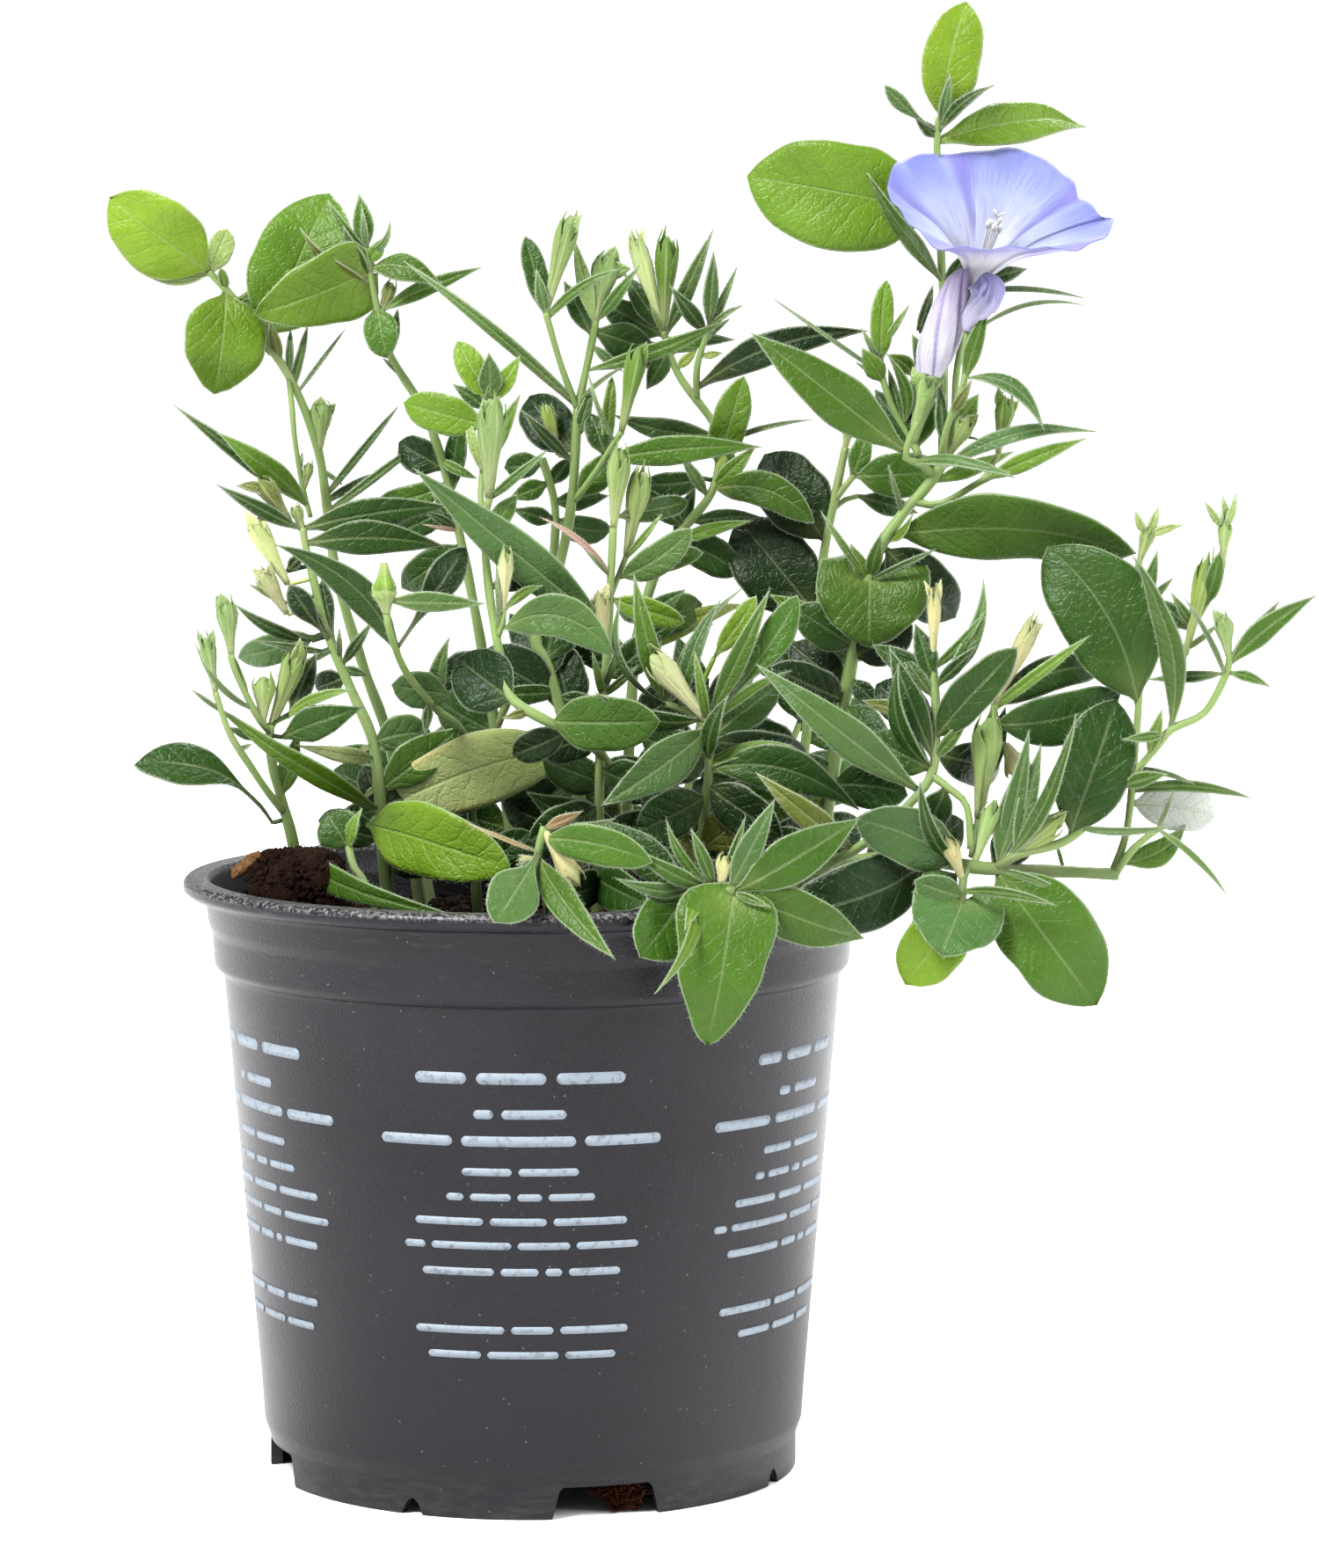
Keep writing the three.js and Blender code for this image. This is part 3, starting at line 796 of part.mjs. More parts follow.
    leaves: [
      [80.4, 105.5, 69.8, 90.4, 1, 11.5, 0, 0, "oval", "young"],
      [80.4, 107, 71.6, 110, 4, 6, 0, 0, "oval", "grey"],
      [79.5, 114.5, 60.2, 121.8, 6, 10.5, 0, -1.5, "oval", "grey"],
      [80.6, 108, 98, 105.2, 6, 2, 0, 1.2, "line", "mid"],
      [86.8, 112.3, 101.5, 106.3, 2, 1.6, 0, 0.8, "line", "grey"],
      [79.5, 113.2, 72.2, 128, 9, 3.2, 20, 1, "line", "dark"],
      [87.2, 112.5, 92.6, 138.6, -1, 3.9, 10, -0.6, "lance", "grey"],
      [87.5, 113, 100.3, 141.6, 5, 3.6, 40, -3.5, "lance", "grey"],
      [90, 114.2, 95, 136, -4, 3.6, 0, 0, "lance", "grey"],
      [74, 112.5, 47.5, 104, 8, 13, 0, 1.6, "oval", "deep"],
      [99.5, 111.8, 97.8, 117.5, -5, 0.8, 0, 0, "line", "mid"],
      [129.8, 150.3, 146, 163.4, 2, 4.2, 0, 1.2, "lance", "mid"],
      [129.8, 151.5, 139.3, 162.6, 0, 2.2, 0, 0, "lance", "mid"],
      [129.3, 148.5, 121.2, 163.4, 6, 1.1, 0, -0.5, "line", "dark"],
      [129.6, 149, 137.7, 146.3, 1, 2, 0, 0.6, "lance", "mid"],
      [129.3, 149, 114.5, 147.8, -3, 2.2, 0, 0, "lance", "dark"],
      [119, 138, 110.3, 170.2, 5, 5.5, 40, -5, "lance", "grey"],
      [118.5, 137.8, 109.8, 136.5, 2, 2, 0, 0, "lance", "mid"],
      [115, 133.4, 117.5, 142.2, 2, 2.6, 0, 0, "lance", "bright"],
      [110, 127.6, 118.7, 130, 2, 3, 0, 0.5, "lance", "mid"],
      [102.5, 120, 120, 120.3, 4, 1.6, 0, -0.5, "line", "grey"],
      [112, 127, 134.6, 125.2, 2, 2.2, 0, 1.8, "line", "mid"],
      [113.8, 161.3, 116.4, 171.8, 2, 2.6, 0, 0, "lance", "mid"],
      [113.7, 161, 119.3, 166.8, 0, 1.5, 0, 0, "line", "bright"],
      [113.5, 149, 117.5, 157, -2, 2.2, 0, 0, "lance", "mid"],
      [122.8, 157, 116.2, 163, -3, 3.8, 0, 0, "lance", "dark"],
      [122, 153.5, 128, 158.3, 2, 1.2, 0, 0, "line", "mid"],
      [125.5, 161.5, 128, 171.5, 3, 3.2, 0, 0, "oval", "mid"],
      [123, 157.5, 119, 164, 2, 2, 0, 0, "lance", "mid"],
      [116.8, 119.8, 130.2, 107, 2, 1.3, 0, 1, "line", "mid"],
      [112.5, 124.5, 128.3, 122, -6, 9, 0, 1, "oval", "silver"],
      [110.5, 113.3, 122.5, 120.5, -3, 5, 0, -1.5, "lance", "mid"],
      [116.8, 119.8, 119.8, 127, 1, 0.9, 0, 0, "line", "mid"],
      [112.3, 131, 124, 128, 4, 1.2, 0, 0.8, "line", "dark"],
      [62, 114, 73, 120, -6, 8, 0, 0, "oval", "deep"],
      [70, 114.3, 81, 121.5, -6, 7.5, 0, 0, "oval", "dark"],
      [54, 112, 46, 120, 2, 7, 0, 0, "oval", "dark"],
      [86, 112.3, 93, 122, -8, 8, 0, 0, "oval", "deep"],
      [87, 113, 90.4, 131, -3, 4.6, 0, 0, "lance", "grey"],
    ],
  },
  {
    name: "back_left_shoot",
    stems: [
      [1.1, 0.7, [[-18, 100, -35], [-21, 118, -41], [-22, 128, -46], [-19, 146, -52]]],
    ],
    cups: [],
    own: {},
    leaves: [
      [-21.5, 124, -37, 121.5, -8, 8, 160, 1, "oval", "mid"],
      [-22, 129, -38, 135, -6, 7.5, 0, 0, "lance", "dark"],
      [-21, 134, -6, 139, -8, 8, 0, 0, "oval", "dark"],
      [-19.5, 143, -13, 150, -4, 6.5, 0, 0, "lance", "deep"],
      [-19.2, 145, -10, 153, -5, 6, 0, 0, "oval", "deep"],
      [-21, 121.5, -8, 127.5, -4, 9, 0, 0, "oval", "dark"],
    ],
  },
  {
    name: "back_centre_shoot",
    stems: [
      [1.1, 0.7, [[22, 100, -38], [27, 118, -43], [30, 132, -47], [32, 144, -50]]],
    ],
    cups: [],
    own: {},
    leaves: [
      [26, 118, 12, 124, -6, 8, 0, 0, "oval", "mid"],
      [28, 124, 42, 122, -8, 8, 180, 0, "oval", "grey"],
      [29.5, 130, 46, 138, -4, 8, 0, 0, "lance", "dark"],
      [30, 134, 17, 143, -5, 8, 0, 0, "oval", "deep"],
      [31.5, 142, 43, 153, -3, 6.5, 0, 0, "lance", "deep"],
      [32, 143.5, 27, 156, -2, 6.5, 0, 0, "lance", "dark"],
      [24.5, 111, 39, 116, -4, 9, 0, 0, "oval", "deep"],
      [30, 132, 45, 128, -6, 8, 180, 0, "oval", "mid"],
      [27.5, 120, 19.5, 133, -3, 8, 0, 0, "oval", "deep"],
      [30, 132, 22.5, 141, -2, 8, 0, 0, "oval", "deep"],
      [26.5, 117, 33.5, 129.5, -6, 8, 0, 0, "oval", "deep"],
    ],
  },
  {
    name: "back_right_shoot",
    stems: [
      [1.1, 0.7, [[36, 100, -30], [41, 118, -37], [46, 130, -43], [50.5, 141, -48]]],
    ],
    cups: [],
    own: {},
    leaves: [
      [42, 120, 57, 122, -8, 8, 0, 0, "oval", "mid"],
      [45, 127, 59, 133, -6, 8, 0, 0, "oval", "dark"],
      [46.5, 131, 37, 140, -5, 7.5, 0, 0, "oval", "mid"],
      [50, 138, 58, 148, -4, 7, 0, 0, "lance", "deep"],
      [50.3, 140, 46, 151, -2, 6, 0, 0, "lance", "dark"],
      [39, 111, 54, 115, -4, 9, 0, 0, "oval", "deep"],
    ],
  },
];

function place(across, up, toward) {
  const scale = 1 - toward / EYE_DISTANCE;
  const x = EYE_ACROSS + scale * (across - EYE_ACROSS);
  const z = EYE_LEVEL + scale * (up - EYE_LEVEL);
  return new THREE.Vector3(x, -toward, z);
}

function signedVolume(points, triangles) {
  let six = 0;
  const across = new THREE.Vector3();
  for (let i = 0; i < triangles.length; i += 3) {
    across.crossVectors(points[triangles[i + 1]], points[triangles[i + 2]]);
    six += points[triangles[i]].dot(across);
  }
  return six / 6;
}

function solidFromPoints(points, triangles) {
  const order = signedVolume(points, triangles) < 0 ? [0, 2, 1] : [0, 1, 2];
  const triVerts = new Uint32Array(triangles.length);
  for (let i = 0; i < triangles.length; i += 3) {
    order.forEach((from, to) => {
      triVerts[i + to] = triangles[i + from];
    });
  }
  const vertProperties = new Float32Array(points.flatMap((point) => point.toArray()));
  return new wasm.Manifold(new wasm.Mesh({ numProp: 3, vertProperties, triVerts }));
}

function solidFromGeometry(geometry) {
  const bare = geometry.clone();
  bare.deleteAttribute("normal");
  bare.deleteAttribute("uv");
  const merged = mergeVertices(bare, 1e-4);
  const position = merged.getAttribute("position");
  const points = [];
  for (let i = 0; i < position.count; i += 1) {
    points.push(new THREE.Vector3().fromBufferAttribute(position, i));
  }
  const index = Array.from(merged.index.array);
  const triangles = [];
  for (let i = 0; i < index.length; i += 3) {
    const [a, b, c] = index.slice(i, i + 3);
    if (a !== b && b !== c && c !== a) {
      triangles.push(a, b, c);
    }
  }
  return solidFromPoints(points, triangles);
}

// A closed skin over rings of equal length. A first or last ring of one point is an apex.
function loft(rings) {
  const points = rings.flat();
  const starts = [];
  let count = 0;
  for (const ring of rings) {
    starts.push(count);
    count += ring.length;
  }
  const triangles = [];
  for (let r = 0; r + 1 < rings.length; r += 1) {
    const here = rings[r].length;
    const next = rings[r + 1].length;
    const sides = Math.max(here, next);
    for (let i = 0; i < sides; i += 1) {
      const j = (i + 1) % sides;
      const a = starts[r] + (here > 1 ? i : 0);
      const b = starts[r] + (here > 1 ? j : 0);
      const c = starts[r + 1] + (next > 1 ? i : 0);
      const d = starts[r + 1] + (next > 1 ? j : 0);
      if (here > 1) {
        triangles.push(a, b, c);
      }
      if (next > 1) {
        triangles.push(b, d, c);
      }
    }
  }
  const last = rings.length - 1;
  for (let i = 1; i + 1 < rings[0].length; i += 1) {
    triangles.push(starts[0], starts[0] + i + 1, starts[0] + i);
  }
  for (let i = 1; i + 1 < rings[last].length; i += 1) {
    triangles.push(starts[last], starts[last] + i, starts[last] + i + 1);
  }
  return solidFromPoints(points, triangles);
}

function sideOf(direction) {
  const away = Math.abs(direction.y) < 0.8 ? new THREE.Vector3(0, 1, 0) : new THREE.Vector3(1, 0, 0);
  return new THREE.Vector3().crossVectors(direction, away).normalize();
}

function ringAround(centre, direction, radius, sides) {
  const side = sideOf(direction);
  const other = new THREE.Vector3().crossVectors(direction, side);
  const ring = [];
  for (let i = 0; i < sides; i += 1) {
    const turn = (2 * Math.PI * i) / sides;
    const point = centre.clone();
    point.addScaledVector(side, radius * Math.cos(turn));
    point.addScaledVector(other, radius * Math.sin(turn));
    ring.push(point);
  }
  return ring;
}

// A round rod through points, its radius running evenly from the first to the last.
function rod(points, footRadius, endRadius, grow) {
  const rings = points.map((point, i) => {
    const before = points[Math.max(i - 1, 0)];
    const after = points[Math.min(i + 1, points.length - 1)];
    const direction = after.clone().sub(before).normalize();
    const share = i / (points.length - 1);
    const radius = footRadius + (endRadius - footRadius) * share + grow;
    const centre = point.clone();
    if (i === 0) {
      centre.addScaledVector(direction, -grow);
    }
    if (i === points.length - 1) {
      centre.addScaledVector(direction, grow);
    }
    return ringAround(centre, direction, radius, STEM_SIDES);
  });
  return loft(rings);
}

// A calyx or narrow bud: blunt at both ends and fullest near the middle.
function cup(foot, end, width, grow) {
  const direction = end.clone().sub(foot).normalize();
  const shares = [[0, 0.3], [0.28, 0.95], [0.76, 0.9], [1, 0.36]];
  const rings = shares.map(([along, part]) => {
    const centre = foot.clone().lerp(end, along);
    centre.addScaledVector(direction, grow * (2 * along - 1));
    return ringAround(centre, direction, (width / 2) * part + grow, STEM_SIDES);
  });
  return loft(rings);
}

// A leaf blade, folded a little along its midrib and bowed along its length. A wide one is a thin
// lens in section, a small one is flat above with a keel below.
function blade(foot, tip, width, face, arc, outline, grow) {
  const along = tip.clone().sub(foot);
  const length = along.length();
  along.normalize();
  const towardEye = new THREE.Vector3(0, -1, 0);
  const facing = towardEye.clone().addScaledVector(along, -towardEye.dot(along)).normalize();
  const left = new THREE.Vector3().crossVectors(facing, along);
  const turn = THREE.MathUtils.degToRad(face);
  const normal = facing.clone().multiplyScalar(Math.cos(turn)).addScaledVector(left, Math.sin(turn));
  const side = new THREE.Vector3().crossVectors(normal, along);
  const small = width < SMALL_LEAF;
  const steps = small ? SMALL_OUTLINES[outline] : OUTLINES[outline];
  const rings = steps.map(([share, part], i) => {
    const rise = 4 * share * (1 - share);
    const centre = foot.clone().addScaledVector(along, length * share);
    centre.addScaledVector(left, arc * rise);
    centre.addScaledVector(normal, LEAF_BOW * length * rise);
    if (i === 0) {
      centre.addScaledVector(along, -grow);
    }
    const half = Math.max((width / 2) * part, THINNEST_HALF_WIDTH) + grow;
    const thick = LEAF_THICKNESS / 2 + grow;
    if (small) {
      const keel = centre.clone().addScaledVector(normal, -thick);
      const upper = centre.clone().addScaledVector(normal, thick / 2);
      const reach = half + grow / 2;
      const one = upper.clone().addScaledVector(side, -reach);
      const two = upper.clone().addScaledVector(side, reach);
      return [keel, one, two];
    }
    const lift = i === 0 ? 0 : LEAF_FOLD * half;
    const top = centre.clone().addScaledVector(normal, thick);
    const bottom = centre.clone().addScaledVector(normal, -thick);
    const leftEdge = centre.clone().addScaledVector(side, half).addScaledVector(normal, lift);
    const rightEdge = centre.clone().addScaledVector(side, -half).addScaledVector(normal, lift);
    return [top, rightEdge, bottom, leftEdge];
  });
  rings.push([tip.clone().addScaledVector(along, grow)]);
  return loft(rings);
}

// Nearest point of a shoot's stems to a point of the elevation.
function nearestOnStems(stems, across, up) {
  let best = { distance: Infinity };
  for (const [, , points] of stems) {
    for (let i = 0; i + 1 < points.length; i += 1) {
      const [u0, v0, d0] = points[i];
      const [u1, v1, d1] = points[i + 1];
      const run = (u1 - u0) ** 2 + (v1 - v0) ** 2;
      const raw = ((across - u0) * (u1 - u0) + (up - v0) * (v1 - v0)) / run;
      const share = Math.min(Math.max(raw, 0), 1);
      const u = u0 + share * (u1 - u0);
      const v = v0 + share * (v1 - v0);
      const distance = Math.hypot(across - u, up - v);
      if (distance < best.distance) {
        best = { distance, u, v, d: d0 + share * (d1 - d0) };
      }
    }
  }
  return best;
}

function footOf(stems, across, up) {
  const seat = nearestOnStems(stems, across, up);
  const point = place(seat.u, seat.v, seat.d);
  if (seat.distance <= SNAP_DISTANCE) {
    return { point, depth: seat.d, stalk: null };
  }
  return { point: place(across, up, seat.d), depth: seat.d, stalk: point };
}

function leafSolid(shoot, row, grow) {
  const [footAcross, footUp, tipAcross, tipUp, deeper, width, face, arc, outline] = row;
  const foot = footOf(shoot.stems, footAcross, footUp);
  const tip = place(tipAcross, tipUp, foot.depth + deeper);
  let solid = blade(foot.point, tip, width, face, arc, outline, grow);
  if (foot.stalk) {
    solid = solid.add(rod([foot.stalk, foot.point], STALK_RADIUS, STALK_RADIUS, grow));
  }
  return solid;
}

function cupSolid(shoot, row, grow) {
  const [footAcross, footUp, endAcross, endUp, width] = row;
  const foot = footOf(shoot.stems, footAcross, footUp);
  const end = place(endAcross, endUp, foot.depth);
  let solid = cup(foot.point, end, width, grow);
  if (foot.stalk) {
    solid = solid.add(rod([foot.stalk, foot.point], STALK_RADIUS, STALK_RADIUS, grow));
  }
  return solid;
}

function shootSolid(shoot, grow) {
  const parts = [];
  for (const [footRadius, endRadius, points] of shoot.stems) {
    const path = points.map((point) => place(...point));
    parts.push(rod(path, footRadius, endRadius, grow));
  }
  for (const row of shoot.cups) {
    parts.push(cupSolid(shoot, row, grow));
  }
  for (const row of shoot.leaves) {
    if (row[5] >= NARROWEST_LEAF) {
      parts.push(leafSolid(shoot, row, grow));
    }
  }
  return parts.reduce((body, part) => body.add(part));
}

function turned(profile, segments) {
  const geometry = new THREE.LatheGeometry(profile.map(([r, z]) => new THREE.Vector2(r, z)), segments);
  geometry.rotateX(Math.PI / 2);
  return solidFromGeometry(geometry);
}

// Angles are counted from the front toward the right.
function aroundAxis(angle, radius) {
  const turn = THREE.MathUtils.degToRad(angle);
  return [radius * Math.sin(turn), -radius * Math.cos(turn)];
}

// A slot through the foot ring, wider at the floor than at its top.
function ringSlot(angle, bottomWidth, topWidth, height) {
  const below = 1;
  const slope = (bottomWidth - topWidth) / height;
  const bottom = (bottomWidth + slope * below) / 2;
  const shape = new THREE.Shape([
    new THREE.Vector2(-bottom, -below),
    new THREE.Vector2(bottom, -below),
    new THREE.Vector2(topWidth / 2, height),
    new THREE.Vector2(-topWidth / 2, height),
  ]);
  const depth = 10;
  const geometry = new THREE.ExtrudeGeometry(shape, { depth, bevelEnabled: false });
  geometry.rotateX(Math.PI / 2);
  geometry.rotateZ(THREE.MathUtils.degToRad(angle));
  const [x, y] = aroundAxis(angle, RING_RADIUS - depth / 2);
  geometry.translate(x, y, 0);
  return solidFromGeometry(geometry);
}

function potSolid(grow) {
  const floor = BASE_UNDERSIDE + BASE_THICKNESS;
  const g = grow;
  const outer = [
    [0, BASE_UNDERSIDE - g],
    [RING_INNER_RADIUS - g, BASE_UNDERSIDE - g],
    [RING_INNER_RADIUS - g, -g],
    [RING_RADIUS + g, -g],
    [RING_RADIUS + g, 6.6],
    [50.6 + g, 9.3],
    [57.5 + g, 92.5],
    [59.4 + g, 96.2],
    [59.7 + g, 101.4],
    [60.2 + g, 102.6],
    [61 + g, 107.3],
    [64 + g, 108.3],
    [RIM_RADIUS + g, 109.3],
    [RIM_RADIUS + g, 110.6],
    [64.2 + g, POT_HEIGHT + g],
  ];
  const inner = [
    [60.5 - g, POT_HEIGHT + g],
    [58.6 - g, 106],
    [58.2 - g, 96.4],
    [56 - g, 92.5],
    [49.2 - g, 11],
    [48.2 - g, floor + g],
    [0, floor + g],
  ];
  let body = turned([...outer, ...inner], WALL_SEGMENTS);
  if (grow > 0) {
    return body;
  }
  for (const angle of ARCH_ANGLES) {
    body = body.subtract(ringSlot(angle, ARCH_BOTTOM_WIDTH, ARCH_TOP_WIDTH, ARCH_HEIGHT));
    const drain = new THREE.CylinderGeometry(DRAIN_RADIUS, DRAIN_RADIUS, 3 * BASE_THICKNESS, 10);
    drain.rotateX(Math.PI / 2);
    const [x, y] = aroundAxis(angle, DRAIN_CENTRE_RADIUS);
    drain.translate(x, y, BASE_UNDERSIDE + BASE_THICKNESS / 2);
    body = body.subtract(solidFromGeometry(drain));
  }
  for (const angle of NOTCH_ANGLES) {
    body = body.subtract(ringSlot(angle, NOTCH_BOTTOM_WIDTH, NOTCH_TOP_WIDTH, NOTCH_HEIGHT));
  }
  return body;
}

function mixSolid(grow) {
  const floor = BASE_UNDERSIDE + BASE_THICKNESS + SEAT_GAP;
  const profile = [
    [0, floor - grow],
    [47.6 + grow, floor - grow],
    [48.8 + grow, 11.4],
    [55.6 + grow, 92.6],
    [57.8 + grow, 96.6],
    [58.1 + grow, MIX_TOP - 0.6 + grow],
    [40, MIX_TOP + 0.4 + grow],
    [0, MIX_TOP + grow],
  ];
  return turned(profile, WALL_SEGMENTS);
}

// An ellipsoid. Squareness above 0 pushes its corners out, as on a block.
function ellipsoid(centre, radii, grow, sides, squareness) {
  const geometry = new THREE.SphereGeometry(1, sides, Math.round(sides * 0.6));
  const points = geometry.attributes.position;
  const point = new THREE.Vector3();
  for (let i = 0; i < points.count; i += 1) {
    point.fromBufferAttribute(points, i);
    const corner = (point.x ** 4 + point.y ** 4 + point.z ** 4) ** 0.25;
    point.multiplyScalar(1 + squareness * (1 / corner - 1));
    points.setXYZ(i, point.x, point.y, point.z);
  }
  geometry.scale(radii[0] + grow, radii[1] + grow, radii[2] + grow);
  geometry.translate(...centre);
  return solidFromGeometry(geometry);
}

function chipSolid(grow) {
  const [long, wide, thick] = CHIP_SIZE;
  const geometry = new THREE.BoxGeometry(long + 2 * grow, wide + 2 * grow, thick + 2 * grow);
  geometry.rotateX(0.25);
  geometry.rotateY(-0.65);
  geometry.translate(...CHIP_CENTRE);
  return solidFromGeometry(geometry);
}

// The funnel: a tube that flares into a wide five-sided limb, open at the top.
function corollaSolid(grow) {
  const foot = place(...FLOWER_BASE);
  const rim = place(...FLOWER_RIM_CENTRE);
  const facing = new THREE.Vector3(...FLOWER_FACING).normalize();
  const across = new THREE.Vector3(1, 0, 0);
  across.addScaledVector(facing, -facing.x).normalize();
  const other = new THREE.Vector3().crossVectors(facing, across);
  const sides = 20;
  const profile = [[0, 0.06], [0.3, 0.19], [0.62, 0.4], [0.86, 0.7], [1, 1]];
  const ringAt = (share, radius, lift) => {
    const ring = [];
    for (let i = 0; i < sides; i += 1) {
      const turn = (2 * Math.PI * i) / sides;
      const corner = 1 + 0.03 * share * Math.cos(5 * turn);
      const centre = foot.clone().lerp(rim, share).addScaledVector(facing, lift);
      centre.addScaledVector(across, radius * corner * Math.cos(turn));
      centre.addScaledVector(other, radius * corner * Math.sin(turn));
      ring.push(centre);
    }
    return ring;
  };
  const outside = profile.map(([share, part], i) => {
    const lift = i === 0 ? -grow : -PETAL_THICKNESS / 2 - grow;
    return ringAt(share, part * FLOWER_RADIUS + grow, lift);
  });
  const inside = profile.slice(1).map(([share, part]) => {
    return ringAt(share, part * FLOWER_RADIUS - PETAL_THICKNESS - grow, PETAL_THICKNESS / 2 + grow);
  });
  const bottom = foot.clone().lerp(rim, 0.18).addScaledVector(facing, grow);
  return loft([...outside, ...inside.reverse(), [bottom]]);
}

// Lofts through centres on the elevation: [across, up, toward, radius].
function lumpy(rows, grow) {
  const centres = rows.map(([across, up, toward]) => place(across, up, toward));
  const rings = centres.map((centre, i) => {
    const before = centres[Math.max(i - 1, 0)];
    const after = centres[Math.min(i + 1, centres.length - 1)];
    const direction = after.clone().sub(before).normalize();
    const end = i === 0 ? -grow : grow * Number(i === centres.length - 1);
    const moved = centre.clone().addScaledVector(direction, end);
    return ringAround(moved, direction, rows[i][3] + grow, 8);
  });
  return loft(rings);
}

const STAMENS = [
  [83.6, 226, 7.6, 0.7],
  [84.6, 229, 9, 1.1],
  [85.3, 232.4, 10.6, 1.7],
  [85.6, 234, 11.3, 0.7],
];
const CLOSED_BUD = [
  [73.7, 204.4, 12, 2.2],
  [74.8, 208.5, 12, 3.3],
  [76.6, 213.5, 12, 3.5],
  [78.4, 218.5, 12, 3.1],
  [79.6, 222.3, 12, 2.1],
  [80.1, 224, 12, 0.7],
];
const FADING_FLOWER = [
  [80.6, 212.6, 14, 0.8],
  [82.2, 216, 14.5, 2.4],
  [84.3, 219.3, 15, 3.4],
  [84.2, 221.8, 15, 2.4],
  [83.6, 223, 15, 1],
];

// Every piece once at its size and once grown by the seat gap, which is cut from those after it.
const pieces = [];

function addPiece(name, color, roughness, make) {
  pieces.push({ name, color, roughness, make });
}

addPiece("pot", 0x45474a, 0.62, potSolid);
for (const shoot of SHOOTS) {
  addPiece(shoot.name, TONES.stem, 0.75, (grow) => shootSolid(shoot, grow));
}
addPiece("flower_corolla", 0xaab2ee, 0.6, corollaSolid);
addPiece("flower_stamens", 0xf2f2ea, 0.7, (grow) => lumpy(STAMENS, grow));
addPiece("closed_bud", 0xe3def2, 0.6, (grow) => lumpy(CLOSED_BUD, grow));
addPiece("fading_flower", 0xa9a8d8, 0.7, (grow) => lumpy(FADING_FLOWER, grow));
for (const shoot of SHOOTS) {
  for (const [name, row] of Object.entries(shoot.own)) {
    addPiece(name, TONES[row[9]], 0.65, (grow) => leafSolid(shoot, row, grow));
  }
}
addPiece("potting_mix", 0x3a2a20, 0.95, mixSolid);
addPiece("peat_lump", 0x33241b, 0.95, (grow) => ellipsoid(LUMP_CENTRE, LUMP_RADII, grow, 14, LUMP_SQUARENESS));
addPiece("bark_chip", 0xb38a5c, 0.85, chipSolid);
addPiece("root_tuft", 0x6b3d2a, 0.9, (grow) => ellipsoid(TUFT_CENTRE, TUFT_RADII, grow, 10, 0));

function boxesMeet(first, second) {
  return [0, 1, 2].every((k) => first.min[k] < second.max[k] && second.min[k] < first.max[k]);
}

// The biggest connected body of a solid that a cut has left in several.
function biggestBody(mesh) {
  const { numProp, vertProperties, triVerts } = mesh;
  const parent = Array.from({ length: vertProperties.length / numProp }, (_, i) => i);
  const find = (i) => {
    let at = i;
    while (parent[at] !== at) {
      parent[at] = parent[parent[at]];
      at = parent[at];
    }
    return at;
  };
  for (let i = 0; i < triVerts.length; i += 3) {
    parent[find(triVerts[i])] = find(triVerts[i + 1]);
    parent[find(triVerts[i + 1])] = find(triVerts[i + 2]);
  }
  const bodies = new Map();
  for (let i = 0; i < triVerts.length; i += 3) {
    const root = find(triVerts[i]);
    if (!bodies.has(root)) {
      bodies.set(root, []);
    }
    bodies.get(root).push(triVerts[i], triVerts[i + 1], triVerts[i + 2]);
  }
  const points = parent.map((_, i) => {
    return new THREE.Vector3().fromArray(vertProperties, i * numProp);
  });
  let best = { volume: 0, triangles: [] };
  for (const triangles of bodies.values()) {
    const volume = signedVolume(points, triangles);
    if (volume > best.volume) {
      best = { volume, triangles };
    }
  }
  const used = [...new Set(best.triangles)];
  const renamed = new Map(used.map((old, i) => [old, i]));
  const geometry = new THREE.BufferGeometry();
  const positions = new Float32Array(used.flatMap((old) => points[old].toArray()));
  geometry.setAttribute("position", new THREE.BufferAttribute(positions, 3));
  geometry.setIndex(best.triangles.map((old) => renamed.get(old)));
  return geometry;
}

const group = new THREE.Group();
const placed = [];
for (const piece of pieces) {
  let solid = piece.make(0);
  for (const earlier of placed) {
    if (boxesMeet(solid.boundingBox(), earlier.box)) {
      solid = solid.subtract(earlier.grown);
    }
  }
  const grown = piece.make(SEAT_GAP);
  placed.push({ grown, box: grown.boundingBox() });
  const material = new THREE.MeshStandardMaterial({
    color: piece.color,
    roughness: piece.roughness,
    metalness: 0,
  });
  const mesh = new THREE.Mesh(biggestBody(solid.getMesh()), material);
  mesh.name = piece.name;
  group.add(mesh);
}

const box = new THREE.Box3().setFromObject(group);
const middle = box.getCenter(new THREE.Vector3());
group.position.set(-middle.x, -middle.y, -box.min.z);

export default group;
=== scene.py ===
"""A ground morning glory in its nursery pot: the surface of every piece, its finishes, light and camera."""

import math
import random

import bmesh
import bpy
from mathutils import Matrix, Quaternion, Vector, noise


